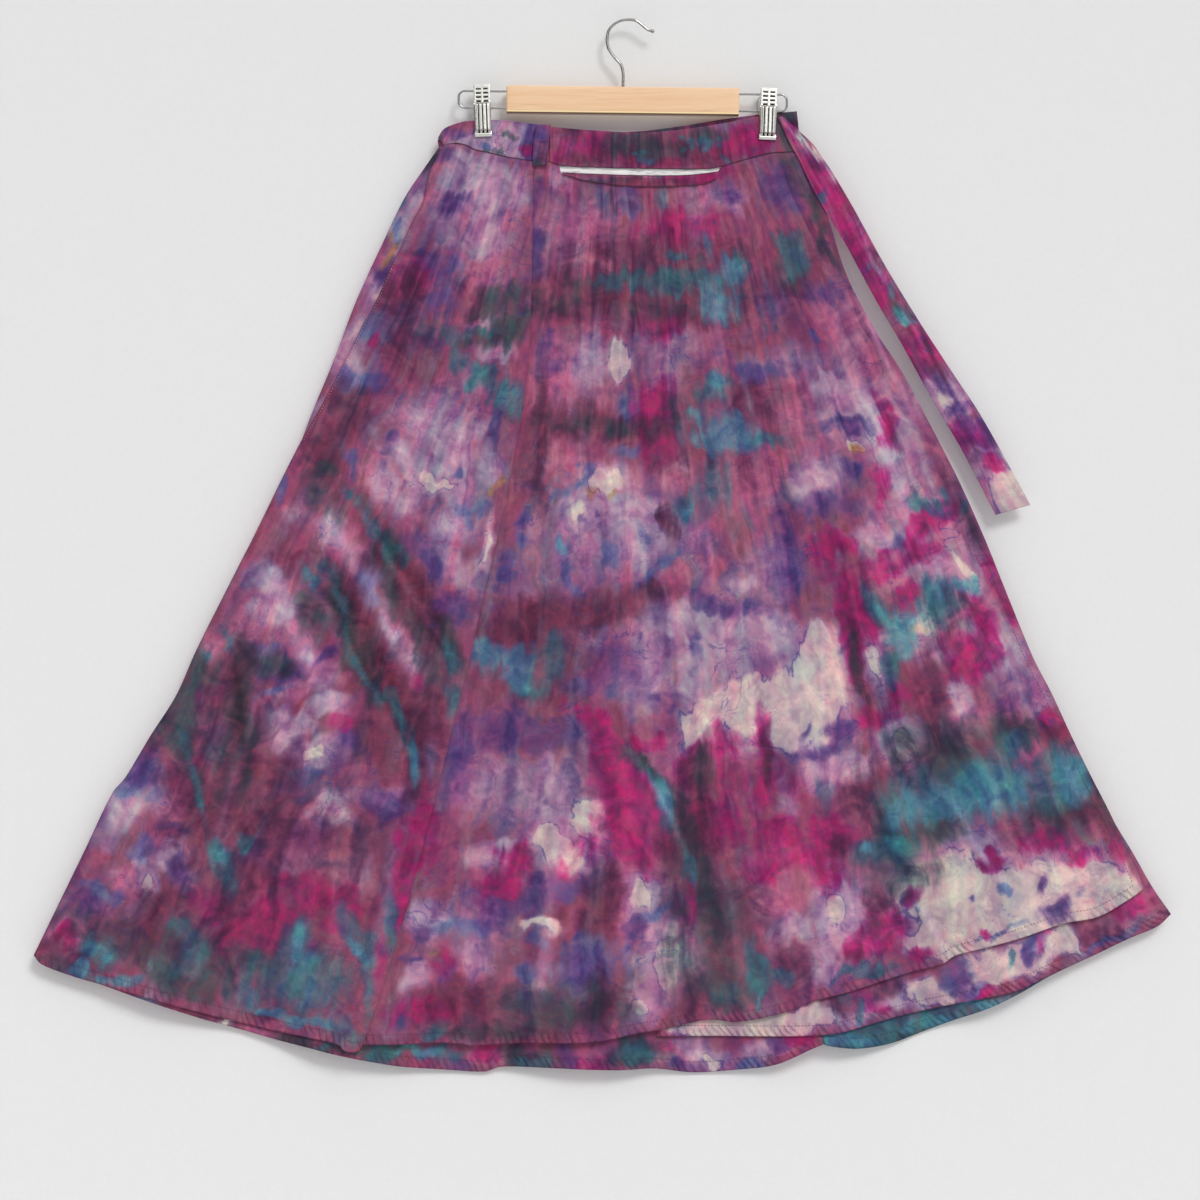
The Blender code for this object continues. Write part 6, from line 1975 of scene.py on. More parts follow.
@dataclass
class BeltLoop:
    """The one belt loop, a narrow strap that stands a little off the band."""

    width: float = 0.0152
    clearance: float = 0.0032
    bow: float = 0.0012
    rolled: float = 0.0005

    def stand(self, across: np.ndarray, down: np.ndarray, drop: np.ndarray) -> np.ndarray:
        """Return how the strap stands off the band, with rolled edges.

        Args:
            across: shares from the left edge to the right one.
            down: shares from the top edge to the foot.
            drop: the points' drop below the hook's seat.

        Returns:
            How far back each point is pushed, or forward where negative.
        """
        rounded = np.clip(np.sin(np.pi * across), 0.0, 1.0) ** 0.4
        return -self.clearance - self.bow * np.sin(np.pi * down) - self.rolled * rounded

    def build(self, tailor: Tailor) -> None:
        """Sew the loop.

        Args:
            tailor: who sews the pieces.
        """
        right = shifted(LOOP_LEFT, across=self.width)
        sheet = Sheet((LOOP_LEFT[0], right[0]), (LOOP_LEFT[-1], right[-1]), LOOP_LEFT, right)
        creases = (Crease(metres((534, 142), (541, 144), (548, 142)), 0.0006, 0.0012),
                   Crease(metres((536, 158), (542, 154), (547, 157)), 0.0004, 0.0012))
        tailor.sew(ClothPiece("belt_loop", Layer.FRONT, sheet, "dyed_cotton_band",
                              DyeBath(LOOP_STAINS, 47, 0.003, 0.003), 24, 60,
                              creases=creases, lift=self.stand, rests_on=("waistband_front_centre_cloth",)))


@dataclass
class Tie:
    """The folded tie that starts under the right clip and ends in a pale, stitched tip."""

    start_depth: float = -0.0043
    end_depth: float = -0.0020
    settle_start: float = 0.260
    settle_end: float = 0.5187
    bow: float = 0.0012
    fold_line: float = 0.60
    fold_step: float = 0.0010
    roll: float = 0.0016

    def lie(self, across: np.ndarray, down: np.ndarray, drop: np.ndarray) -> np.ndarray:
        """Return how the tie rounds over its fold and settles.

        Args:
            across: shares from the inner edge to the outer one.
            down: shares from the clip to the tip.
            drop: the points' drop.

        Returns:
            How far back each point is pushed.
        """
        depth = mix(self.start_depth, self.end_depth, smooth_step(self.settle_start, self.settle_end, drop))
        depth = depth - layer_depth(Layer.TIE, np.zeros(across.shape), drop)
        bow = self.bow * np.sin(np.pi * across) * smooth_step(0.150, 0.260, drop)
        near = 1.0 - smooth_step(0.150, 0.240, drop)
        roll = self.roll * np.sin(np.pi * np.clip(across * 1.6, 0.0, 1.0)) * near
        reach = smooth_step(0.150, 0.220, drop) * (1.0 - smooth_step(0.470, 0.510, drop))
        line = self.fold_line + 0.06 * np.sin(drop * 26.0)
        step = self.fold_step * smooth_step(line - 0.05, line + 0.05, across)
        ridge = 0.0006 * np.exp(-(((across - line + 0.08) / 0.07) ** 2))
        tip = 0.0004 * np.sin((across * 3.0 + drop * 90.0)) * smooth_step(0.470, 0.500, drop)
        return depth - bow - roll + reach * (step - ridge) + tip

    def build(self, tailor: Tailor) -> None:
        """Sew the tie.

        Args:
            tailor: who sews the pieces.
        """
        sheet = Sheet((TIE_INNER[0], TIE_OUTER[0]), (TIE_INNER[-1], TIE_OUTER[-1]), TIE_INNER, TIE_OUTER)
        creases = (Crease(metres((900, 300), (912, 318), (924, 330)), 0.0007, 0.0020),
                   Crease(metres((956, 404), (966, 416), (980, 420)), 0.0007, 0.0020),
                   Crease(metres((972, 446), (984, 452), (996, 450)), -0.0006, 0.0022))
        cloth = ClothPiece("tie", Layer.TIE, sheet, "dyed_cotton_tie",
                           DyeBath(TIE_STAINS, 53, 0.003, 0.004), 60, 320,
                           creases=creases, lift=self.lie, ripple=0.00025, shell=0.0010,
                           rests_on=("front_centre_gore_cloth",))
        tailor.sew(cloth)


# The bar's sizes, and how round its wires are
BAR_LENGTH = 0.2440
BAR_HEIGHT = 0.0290
BAR_DEPTH = 0.0130
BAR_CENTRE_X = -0.0065
BAR_CENTRE_DROP = 0.0842
BAR_TILT = math.radians(0.68)
WIRE_SIDES = 20

# Finishes of the lining, the wood, the metal and the thread


@dataclass(frozen=True)
class SatinLining:
    """White satin, which shines softly, with streaks of painted shade along its small folds."""

    name: str = "white satin lining"
    light: str = "#F4F2F0"
    fold_shade: str = "#A6A8B2"

    def material(self) -> bpy.types.Material:
        """Make the material's nodes and return it."""
        material, tree, shader = new_material(self.name)
        place = add_node(tree, "ShaderNodeTexCoord").outputs["Object"]
        drawn = {"Vector": place, "Scale": (60.0, 1.0, 520.0)}
        folds = add_node(tree, "ShaderNodeMapping", drawn).outputs[0]
        streak = add_node(tree, NOISE, {"Vector": folds, "Scale": 1.0, "Detail": 4.0,
                                        "Distortion": 0.8}).outputs["Fac"]
        share = add_node(tree, RAMP, (streak, 0.50, 0.70), **SMOOTH).outputs[0]
        # The darker tone along the streaks is painted shade of the small folds
        tone = add_node(tree, BLEND, {0: share, 6: srgb(self.light), 7: srgb(self.fold_shade)}, **COLOURS)
        bump = add_node(tree, BUMP, {"Height": streak, "Distance": 0.0004, "Strength": 0.7})
        feed(tree, shader, {"Base Color": tone.outputs[2], "Normal": bump.outputs[0], "Roughness": 0.45,
                            "Sheen Weight": 0.2})
        return material


@dataclass(frozen=True)
class PaleWood:
    """Pale, satin-varnished beech, with fine grain along the bar and a soft shine."""

    name: str = "pale beech"
    light: str = "#E6C09A"
    grain: str = "#DDAE82"
    knot: str = "#B07C58"
    # The edge tone is a painted highlight along the lower front edge, and the under tone is painted shade on
    # the underside
    edge: str = "#F6DFA8"
    under: str = "#6A452E"

    def material(self) -> bpy.types.Material:
        """Make the material's nodes and return it."""
        material, tree, shader = new_material(self.name)
        place = add_node(tree, "ShaderNodeTexCoord").outputs["Object"]
        patterns = []
        for scale, start, detail, roughness, distortion in (
            ((9.0, 90.0, 190.0), (0.0, 0.0, 0.0), 5.0, 0.6, 0.5),
            ((40.0, 500.0, 1300.0), (0.0, 0.0, 0.0), 3.0, 0.5, 0.0),
            ((16.0, 60.0, 420.0), (3.0, 1.0, 5.0), 2.0, 0.5, 0.0),
        ):
            drawn = {"Vector": place, "Scale": scale, "Location": start}
            fibres = add_node(tree, "ShaderNodeMapping", drawn).outputs[0]
            patterns.append(add_node(tree, NOISE, {
                "Vector": fibres, "Scale": 1.0, "Detail": detail, "Roughness": roughness,
                "Distortion": distortion}).outputs["Fac"])
        wander, fine, lines = patterns
        broad = add_node(tree, MATH, (wander, 0.65), operation="MULTIPLY").outputs[0]
        grain = add_node(tree, MATH, (fine, 0.45, broad), operation="MULTIPLY_ADD").outputs[0]
        colour = srgb(self.light)
        for pattern, low, high, cover, code in (
            (grain, 0.48, 0.70, 0.6, self.grain),
            (lines, 0.70, 0.80, 0.5, self.knot),
        ):
            share = add_node(tree, RAMP, (pattern, low, high, 0.0, cover), **SMOOTH).outputs[0]
            colour = add_node(tree, BLEND, {0: share, 6: colour, 7: srgb(code)}, **COLOURS).outputs[2]
        bump = add_node(tree, BUMP, {"Height": grain, "Distance": 0.00012, "Strength": 0.5})
        feed(tree, shader, {
            "Base Color": self.paint_edge_highlight_and_underside_shade(tree, colour, place), "Normal": bump.outputs[0], "Roughness": 0.42,
            "Coat Weight": 0.15, "Coat Roughness": 0.3})
        return material

    def paint_edge_highlight_and_underside_shade(self, tree: Tree, colour: Socket, place: Socket) -> Socket:
        """Return the colour with a painted highlight along the lower front edge and painted shade on the
        underside.

        Args:
            tree: the material's nodes.
            colour: the wood's colour so far.
            place: where each point lies.

        Returns:
            The colour.
        """
        parts = add_node(tree, "ShaderNodeSeparateXYZ", (place,))
        slope = math.tan(BAR_TILT)
        foot = BAR_CENTRE_DROP - slope * BAR_CENTRE_X + BAR_HEIGHT / 2.0
        level = add_node(tree, MATH, (parts.outputs[0], slope, parts.outputs[2]), operation="MULTIPLY_ADD")
        rise = add_node(tree, MATH, (level.outputs[0], foot), operation="ADD").outputs[0]
        # A painted highlight along the lower front edge, then painted shade on the underside
        for low, high, code in ((0.0022, 0.0034, self.edge), (0.0013, 0.0018, self.under)):
            share = add_node(tree, RAMP, (rise, low, high, 1.0, 0.0), **SMOOTH).outputs[0]
            colour = add_node(tree, BLEND, {0: share, 6: colour, 7: srgb(code)}, **COLOURS).outputs[2]
        return colour


@dataclass(frozen=True)
class BrightMetal:
    """Bright plated steel, a little scuffed, with painted shade in its slots, grooves and notches."""

    name: str
    tone: str = "#C9C9C6"
    dull: str = "#8F8E8C"
    roughness: float = 0.20
    scuff: float = 0.16
    recess_shade: str = "#2C2220"

    def material(self) -> bpy.types.Material:
        """Make the material's nodes and return it."""
        material, tree, shader = new_material(self.name)
        place = add_node(tree, "ShaderNodeTexCoord").outputs["Object"]
        haze = add_node(tree, NOISE, {"Vector": place, "Scale": 260.0, "Detail": 5.0,
                                      "Roughness": 0.6}).outputs["Fac"]
        share = add_node(tree, RAMP, (haze, 0.46, 0.72, 0.0, 0.55), **SMOOTH).outputs[0]
        tones = {0: share, 6: srgb(self.tone), 7: srgb(self.dull)}
        tone = add_node(tree, BLEND, tones, **COLOURS).outputs[2]
        # The groove mask marks the slots, grooves and notches, which get painted shade
        groove = add_node(tree, "ShaderNodeAttribute", attribute_name="groove",
                          attribute_type="GEOMETRY").outputs["Fac"]
        recess_shade_share = add_node(tree, RAMP, (groove, 0.10, 0.55), **SMOOTH).outputs[0]
        tone = add_node(tree, BLEND, {0: recess_shade_share, 6: tone, 7: srgb(self.recess_shade)}, **COLOURS).outputs[2]
        scuffs = (haze, 0.35, 0.70, self.roughness, self.roughness + self.scuff)
        bump = add_node(tree, BUMP, {"Height": haze, "Distance": 0.00003, "Strength": 0.4})
        feed(tree, shader, {
            "Base Color": tone, "Roughness": add_node(tree, RAMP, scuffs, **SMOOTH).outputs[0],
            "Metallic": 1.0, "Normal": bump.outputs[0]})
        return material


@dataclass(frozen=True)
class Thread:
    """Sewing thread that took the dye unevenly."""

    name: str
    tone: str
    second: str

    def material(self) -> bpy.types.Material:
        """Make the material's nodes and return it."""
        material, tree, shader = new_material(self.name)
        place = add_node(tree, "ShaderNodeTexCoord").outputs["Object"]
        wander = add_node(tree, NOISE, {"Vector": place, "Scale": 70.0, "Detail": 3.0}).outputs["Fac"]
        share = add_node(tree, RAMP, (wander, 0.40, 0.62), **SMOOTH).outputs[0]
        tone = add_node(tree, BLEND, {0: share, 6: srgb(self.tone), 7: srgb(self.second)}, **COLOURS)
        feed(tree, shader, {"Base Color": tone.outputs[2], "Roughness": 0.7})
        return material


# The hanger


def link_mesh(name: str, maker: bmesh.types.BMesh, material: bpy.types.Material,
              smooth: bool = True) -> bpy.types.Object:
    """Make a mesh object from what was modelled.

    Args:
        name: the object's name.
        maker: the finished shape, which is freed.
        material: its finish.
        smooth: whether its faces are shaded smoothly.

    Returns:
        The object.
    """
    mesh = bpy.data.meshes.new(name)
    maker.to_mesh(mesh)
    maker.free()
    if smooth:
        mesh.shade_smooth()
    mesh.materials.append(material)
    item = bpy.data.objects.new(name, mesh)
    bpy.context.scene.collection.objects.link(item)
    return item


def declare_hard(piece: bpy.types.Object, nodes: tuple) -> bpy.types.Object:
    """Let a hard piece ride on the body in the place of its solids.

    Args:
        piece: the piece.
        nodes: the solids that it stands for.

    Returns:
        The piece.
    """
    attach(piece, BODY)
    if nodes:
        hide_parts(*nodes)
    return piece


def add_wire(maker: bmesh.types.BMesh, points: Sequence[Vector], radius: float, ball: float = 0.0) -> None:
    """Sweep a round wire through points, with rounded ends.

    Args:
        maker: the shape that the wire is added to.
        points: the wire's centreline.
        radius: the wire's radius.
        ball: the radius of a ball on the last point, or 0.
    """
    befores = [points[0], *points[:-1]]
    afters = [*points[1:], points[-1]]
    ways = [(after - before).normalized() for before, after in zip(befores, afters)]
    side = ways[0].orthogonal().normalized()
    rings = []
    for point, way in zip(points, ways):
        side = (side - way * side.dot(way)).normalized()
        other = way.cross(side)
        place = Matrix((side, other, way)).transposed().to_4x4()
        place.translation = point
        ring = bmesh.ops.create_circle(maker, segments=WIRE_SIDES, radius=radius, matrix=place)["verts"]
        edges = list({edge for vert in ring for edge in vert.link_edges})
        rings.append(edges)
    for first, second in zip(rings, rings[1:]):
        bmesh.ops.bridge_loops(maker, edges=[*first, *second])
    for ring, point, way in ((rings[0], points[0], -ways[0]), (rings[-1], points[-1], ways[-1])):
        cap = bmesh.ops.extrude_edge_only(maker, edges=ring)["geom"]
        tops = [part for part in cap if isinstance(part, bmesh.types.BMVert)]
        for vert in tops:
            vert.co = point + (vert.co - point) * 0.6 + way * radius * 0.35
        rim = [part for part in cap if isinstance(part, bmesh.types.BMEdge)]
        bmesh.ops.contextual_create(maker, geom=rim)
    if ball:
        bmesh.ops.create_icosphere(maker, subdivisions=3, radius=ball, matrix=Matrix.Translation(points[-1]))
    bmesh.ops.recalc_face_normals(maker, faces=maker.faces[:])


def bar_point(across: float, up: float, depth: float = 0.0) -> Vector:
    """Return a point of the tilted bar, from its own centre.

    Args:
        across: how far right of the bar's centre it lies.
        up: how far above it.
        depth: how far behind it.

    Returns:
        The point.
    """
    turn_cos, turn_sin = math.cos(BAR_TILT), math.sin(BAR_TILT)
    return Vector((BAR_CENTRE_X + across * turn_cos + up * turn_sin, depth,
                   -BAR_CENTRE_DROP - across * turn_sin + up * turn_cos))


def upright_path(stations: Sequence[Station], count: int) -> list:
    """Return evenly spaced points on a smooth curve that stands upright at depth 0.

    Args:
        stations: the points that it runs through.
        count: how many points it gets.

    Returns:
        The path's points.
    """
    return [Vector((x, 0.0, -drop)) for x, drop in SmoothEdge(stations).at(np.linspace(0.0, 1.0, count))]


@dataclass
class Hanger:
    """The wooden bar, the swan-neck hook and the wire loops at the bar's ends."""

    wood: bpy.types.Material
    wire: bpy.types.Material
    edge: float = 0.0016
    loop_radius: float = 0.0012
    loop_reach: float = 0.0515
    loop_spacing: float = 0.0177
    loop_corner: float = 0.0065
    hook_radius: float = 0.0015
    ball_radius: float = 0.0021
    hook_path: tuple = stations(
        (-0.0063, 0.0690), (-0.0063, 0.0540), (-0.0084, 0.0462), (-0.0147, 0.0389), (-0.0208, 0.0305),
        (-0.0228, 0.0231), (-0.0229, 0.0173), (-0.0215, 0.0105), (-0.0178, 0.0052), (-0.0126, 0.0013),
        (-0.0068, -0.0009), (0.0004, -0.0015), (0.0063, -0.0007), (0.0116, 0.0025), (0.0158, 0.0061),
        (0.0200, 0.0091), (0.0246, 0.0106),
    )

    def build(self) -> None:
        """Build the three kinds of piece."""
        maker = bmesh.new()
        bmesh.ops.create_cube(maker, size=1.0)
        bmesh.ops.scale(maker, vec=(BAR_LENGTH, BAR_DEPTH, BAR_HEIGHT), verts=maker.verts[:])
        for count, axis in ((24, 0), (3, 2)):
            edges = [edge for edge in maker.edges if abs(
                (edge.verts[0].co - edge.verts[1].co).normalized()[axis]) > 0.9]
            bmesh.ops.subdivide_edges(maker, edges=edges, cuts=count, use_grid_fill=True)
        sharp = [edge for edge in maker.edges if edge.calc_face_angle(0.0) > 1.0]
        bmesh.ops.bevel(maker, geom=sharp, offset=self.edge, segments=4, profile=0.5, affect="EDGES",
                        material=-1)
        for vert in maker.verts:
            vert.co = bar_point(vert.co.x, vert.co.z, vert.co.y)
        declare_hard(link_mesh("hanger_bar_wood", maker, self.wood), ("hanger_bar",))
        maker = bmesh.new()
        add_wire(maker, upright_path(self.hook_path, 90), self.hook_radius, self.ball_radius)
        declare_hard(link_mesh("hanger_hook_wire", maker, self.wire), ("hanger_hook",))
        for node, side in (("hanger_wire_left", -1.0), ("hanger_wire_right", 1.0)):
            maker = bmesh.new()
            add_wire(maker, self.loop_points(side), self.loop_radius)
            declare_hard(link_mesh(node + "_loop", maker, self.wire), (node,))

    def loop_points(self, side: float) -> list:
        """Return the centreline of a loop, out of the bar's end and back.

        Args:
            side: -1 for the left loop and 1 for the right one.

        Returns:
            The centreline's points.
        """
        face = side * (BAR_LENGTH / 2.0 - 0.0040)
        tip = side * (BAR_LENGTH / 2.0 + self.loop_reach - self.loop_radius)
        points = []
        for half in (1.0, -1.0):
            arc = []
            for step in range(11):
                turn = math.radians(9.0 * step)
                arc.append((tip - side * self.loop_corner * (1.0 - math.sin(turn)),
                            half * (self.loop_spacing / 2.0 - self.loop_corner * (1.0 - math.cos(turn)))))
            run = [(mix(face, arc[0][0], index / 12.0), arc[0][1]) for index in range(12)]
            points += run + arc if half > 0 else (run + arc)[::-1]
        return [bar_point(x, up) for x, up in points]


@dataclass
class PressedClip:
    """A pressed-steel clip: two slotted plates on the wires and two ribbed jaws that end in lips."""

    name: str
    x: float
    top_drop: float
    tilt: float
    grip: float
    spring_side: float
    width: float = 0.0172
    height: float = 0.0545
    plate_height: float = 0.0195
    plate_width: float = 0.0166
    plate_depth: float = 0.0021
    sheet: float = 0.0006
    bulge: float = 0.0052
    lip_depth: float = 0.0018
    lip_height: float = 0.0046
    ribs: int = 4
    rib_height: float = 0.0008
    slot_rows: tuple = (0.0044, 0.0086, 0.0128, 0.0170)
    slot_half: float = 0.0010
    slot_depth: float = 0.0008
    slot_columns: tuple = ((-0.0068, -0.0010), (0.0012, 0.0067))

    def lines(self) -> tuple[list, list]:
        """Return where the sheet's columns and rows lie, so that the slots' edges are among them."""
        half = self.width / 2.0
        columns = {round(value, 5) for value in np.linspace(-half, half, 49)}
        columns |= {end for pair in self.slot_columns for end in pair}
        rows = {round(value, 5) for value in np.linspace(0.0, self.height, 90)}
        rows |= {round(row + side * self.slot_half, 5) for row in self.slot_rows for side in (-1.0, 1.0)}
        return sorted(columns), sorted(rows)

    def jaw_depth(self, across: float, down: float) -> float:
        """Return how far the sheet stands off the wires' plane.

        Args:
            across: the place's distance from the clip's middle line.
            down: its distance from the clip's top.

        Returns:
            The distance in metres.
        """
        grip = max(self.grip / 2.0 + 0.0004, 0.0016)
        body = float(smooth_step(self.plate_height - 0.0006, self.plate_height + 0.0016, down))
        end = float(smooth_step(self.height - self.lip_height - 0.0022, self.height - self.lip_height, down))
        crown = 1.0 - 0.30 * (2.0 * across / self.width) ** 4
        side = float(smooth_step(0.43, 0.50, abs(across) / self.width))
        swell = grip + self.bulge * crown + self.rib_height * (1.0 - side) * (1.0 - end)
        lip = grip + self.lip_depth + 0.0010 * math.sin(
            math.pi * min(1.0, max(0.0, (self.height - down) / self.lip_height)))
        shell = swell * (1.0 - end) + lip * end
        step = 0.0006 * math.exp(-(((down - self.plate_height + 0.0012) / 0.0007) ** 2))
        slot = self.slot_depth * self.hollow(across, down)
        return self.plate_depth * (1.0 - body) + shell * body + step - slot

    def build(self, steel: bpy.types.Material, wire: bpy.types.Material) -> None:
        """Build both jaws, and the spring at the clip's side where it has one.

        Args:
            steel: the jaws' finish.
            wire: the spring's finish.
        """
        for label, side in (("_front_jaw", -1.0), ("_back_jaw", 1.0)):
            maker = self.jaw(side)
            piece = link_mesh(self.name + label + "_shell", maker, steel)
            thick = piece.modifiers.new("sheet", "SOLIDIFY")
            thick.thickness = self.sheet
            thick.offset = 0.0
            soft = piece.modifiers.new("pressed edges", "BEVEL")
            soft.width = 0.0002
            soft.segments = 2
            soft.limit_method = "ANGLE"
            soft.angle_limit = math.radians(50.0)
            declare_hard(piece, (self.name + label,))
        if self.spring_side:
            maker = bmesh.new()
            add_wire(maker, self.spring_points(), 0.0006)
            declare_hard(link_mesh(self.name + "_spring", maker, wire), ())

    def jaw(self, side: float) -> bmesh.types.BMesh:
        """Return one jaw's sheet with its slots pressed in and its flanges folded back.

        Args:
            side: -1 for the front jaw and 1 for the back one.

        Returns:
            The shape.
        """
        columns, rows = self.lines()
        maker = bmesh.new()
        groove = maker.verts.layers.float.new("groove")
        bmesh.ops.create_grid(maker, x_segments=len(columns) - 1, y_segments=len(rows) - 1, size=0.5)
        places = {}
        for vert in maker.verts:
            column = columns[round((vert.co.x + 0.5) * (len(columns) - 1))]
            row = rows[round((0.5 - vert.co.y) * (len(rows) - 1))]
            places[vert] = (column, row)
        turn = Matrix.Rotation(self.tilt, 4, "Y")
        origin = Vector((self.x, 0.0, -self.top_drop))
        for vert in maker.verts:
            across, down = places[vert]
            # The groove mask carries painted shade into the slots, the grooves and the notches
            vert[groove] = self.hollow(across, down)
            narrow = mix(self.plate_width / self.width, 1.0,
                         float(smooth_step(self.plate_height - 0.001, self.plate_height + 0.001, down)))
            vert.co = origin + turn @ Vector((across * narrow, side * self.jaw_depth(across, down), -down))
        rims = [edge for edge in maker.edges if edge.is_boundary and all(
            abs(abs(places[v][0]) - self.width / 2.0) < 1e-6 for v in edge.verts)]
        folded = bmesh.ops.extrude_edge_only(maker, edges=rims)["geom"]
        inward = turn @ Vector((0.0, -side, 0.0))
        for vert in (part for part in folded if isinstance(part, bmesh.types.BMVert)):
            down = -(turn.inverted() @ (vert.co - origin)).z
            share = float(smooth_step(self.plate_height, self.plate_height + 0.003, down))
            vert.co += inward * mix(0.0010, 0.0042, share)
        bmesh.ops.recalc_face_normals(maker, faces=maker.faces[:])
        return maker

    def hollow(self, across: float, down: float) -> float:
        """Return how deep a place lies in a slot, a groove between ribs or a notch at a groove's foot.

        Args:
            across: the place's distance from the clip's middle line.
            down: its distance from the clip's top.

        Returns:
            A share from 0 to 1.
        """
        in_column = any(start < across < end for start, end in self.slot_columns)
        in_row = any(abs(down - row) < self.slot_half for row in self.slot_rows)
        pitch = self.width / self.ribs
        beside = min(abs(across - (index - 1) * pitch) for index in range(self.ribs - 1))
        foot = self.height - self.lip_height - 0.0006
        cut = 1.0 - float(smooth_step(0.00045, 0.00085, beside))
        notch = 1.0 if beside < 0.0009 and abs(down - foot) < 0.0011 else 0.0
        groove = cut if self.plate_height + 0.001 < down < foot else 0.0
        return max(float(in_column and in_row), notch, groove)

    def spring_points(self) -> list:
        """Return the bent wire that shows at the clip's side."""
        turn = Matrix.Rotation(self.tilt, 4, "Y")
        origin = Vector((self.x, 0.0, -self.top_drop))
        path = ((0.0080, 0.0090), (0.0104, 0.0110), (0.0118, 0.0150), (0.0120, 0.0200), (0.0112, 0.0250),
                (0.0094, 0.0285), (0.0072, 0.0300))
        curve = SmoothEdge([Station(x, drop) for x, drop in path]).at(np.linspace(0.0, 1.0, 40))
        return [origin + turn @ Vector((self.spring_side * x, -0.0022, -drop)) for x, drop in curve]


# Sewing


@dataclass
class Seam:
    """A row of stitches on a piece of cloth, along marks of how far across and down it they are."""

    piece: ClothPiece
    start: tuple
    end: tuple
    pitch: float = 0.0030
    length: float = 0.0019
    radius: float = 0.00024
    slant: float = 0.0

    def add(self, maker: bmesh.types.BMesh) -> None:
        """Add the stitches to a shape.

        Args:
            maker: the shape.
        """
        shares = np.linspace(0.0, 1.0, 400)
        across, down = mix(self.start[0], self.end[0], shares), mix(self.start[1], self.end[1], shares)
        x, depth, drop = self.piece.place(across, down)
        run = np.concatenate([[0.0], np.cumsum(np.hypot(np.diff(x), np.diff(drop)))])
        count = max(2, int(run[-1] / self.pitch))
        marks = (np.arange(count) + 0.5) / count * run[-1]
        centre = np.stack([np.interp(marks, run, values) for values in (x, depth, -drop)], 1)
        ahead = np.stack([np.interp(marks + 0.0008, run, values) for values in (x, depth, -drop)], 1)
        for index, (spot, tip) in enumerate(zip(centre, ahead)):
            way = Vector(tip - spot).normalized()
            way.rotate(Matrix.Rotation(math.radians(self.slant + 4.0 * math.sin(5.1 * index)), 3, "Y"))
            side = way.cross(Vector((0.0, 1.0, 0.0))).normalized()
            turn = Matrix((way, side, way.cross(side))).transposed().to_4x4()
            size = Matrix.Diagonal((self.length / 2.0, self.radius, self.radius, 1.0))
            rise = Vector((0.0, -self.piece.shell / 2.0 - 0.4 * self.radius, 0.0))
            place = Matrix.Translation(Vector(spot) + rise) @ turn @ size
            bmesh.ops.create_icosphere(maker, subdivisions=1, radius=1.0, matrix=place)


def sew_rows(name: str, rows: Sequence[Seam], thread: bpy.types.Material) -> None:
    """Build rows of stitches as one piece.

    Args:
        name: the piece's name.
        rows: the rows of stitches.
        thread: their finish.
    """
    maker = bmesh.new()
    for row in rows:
        row.add(maker)
    declare_hard(link_mesh(name, maker, thread), ())


# The studio


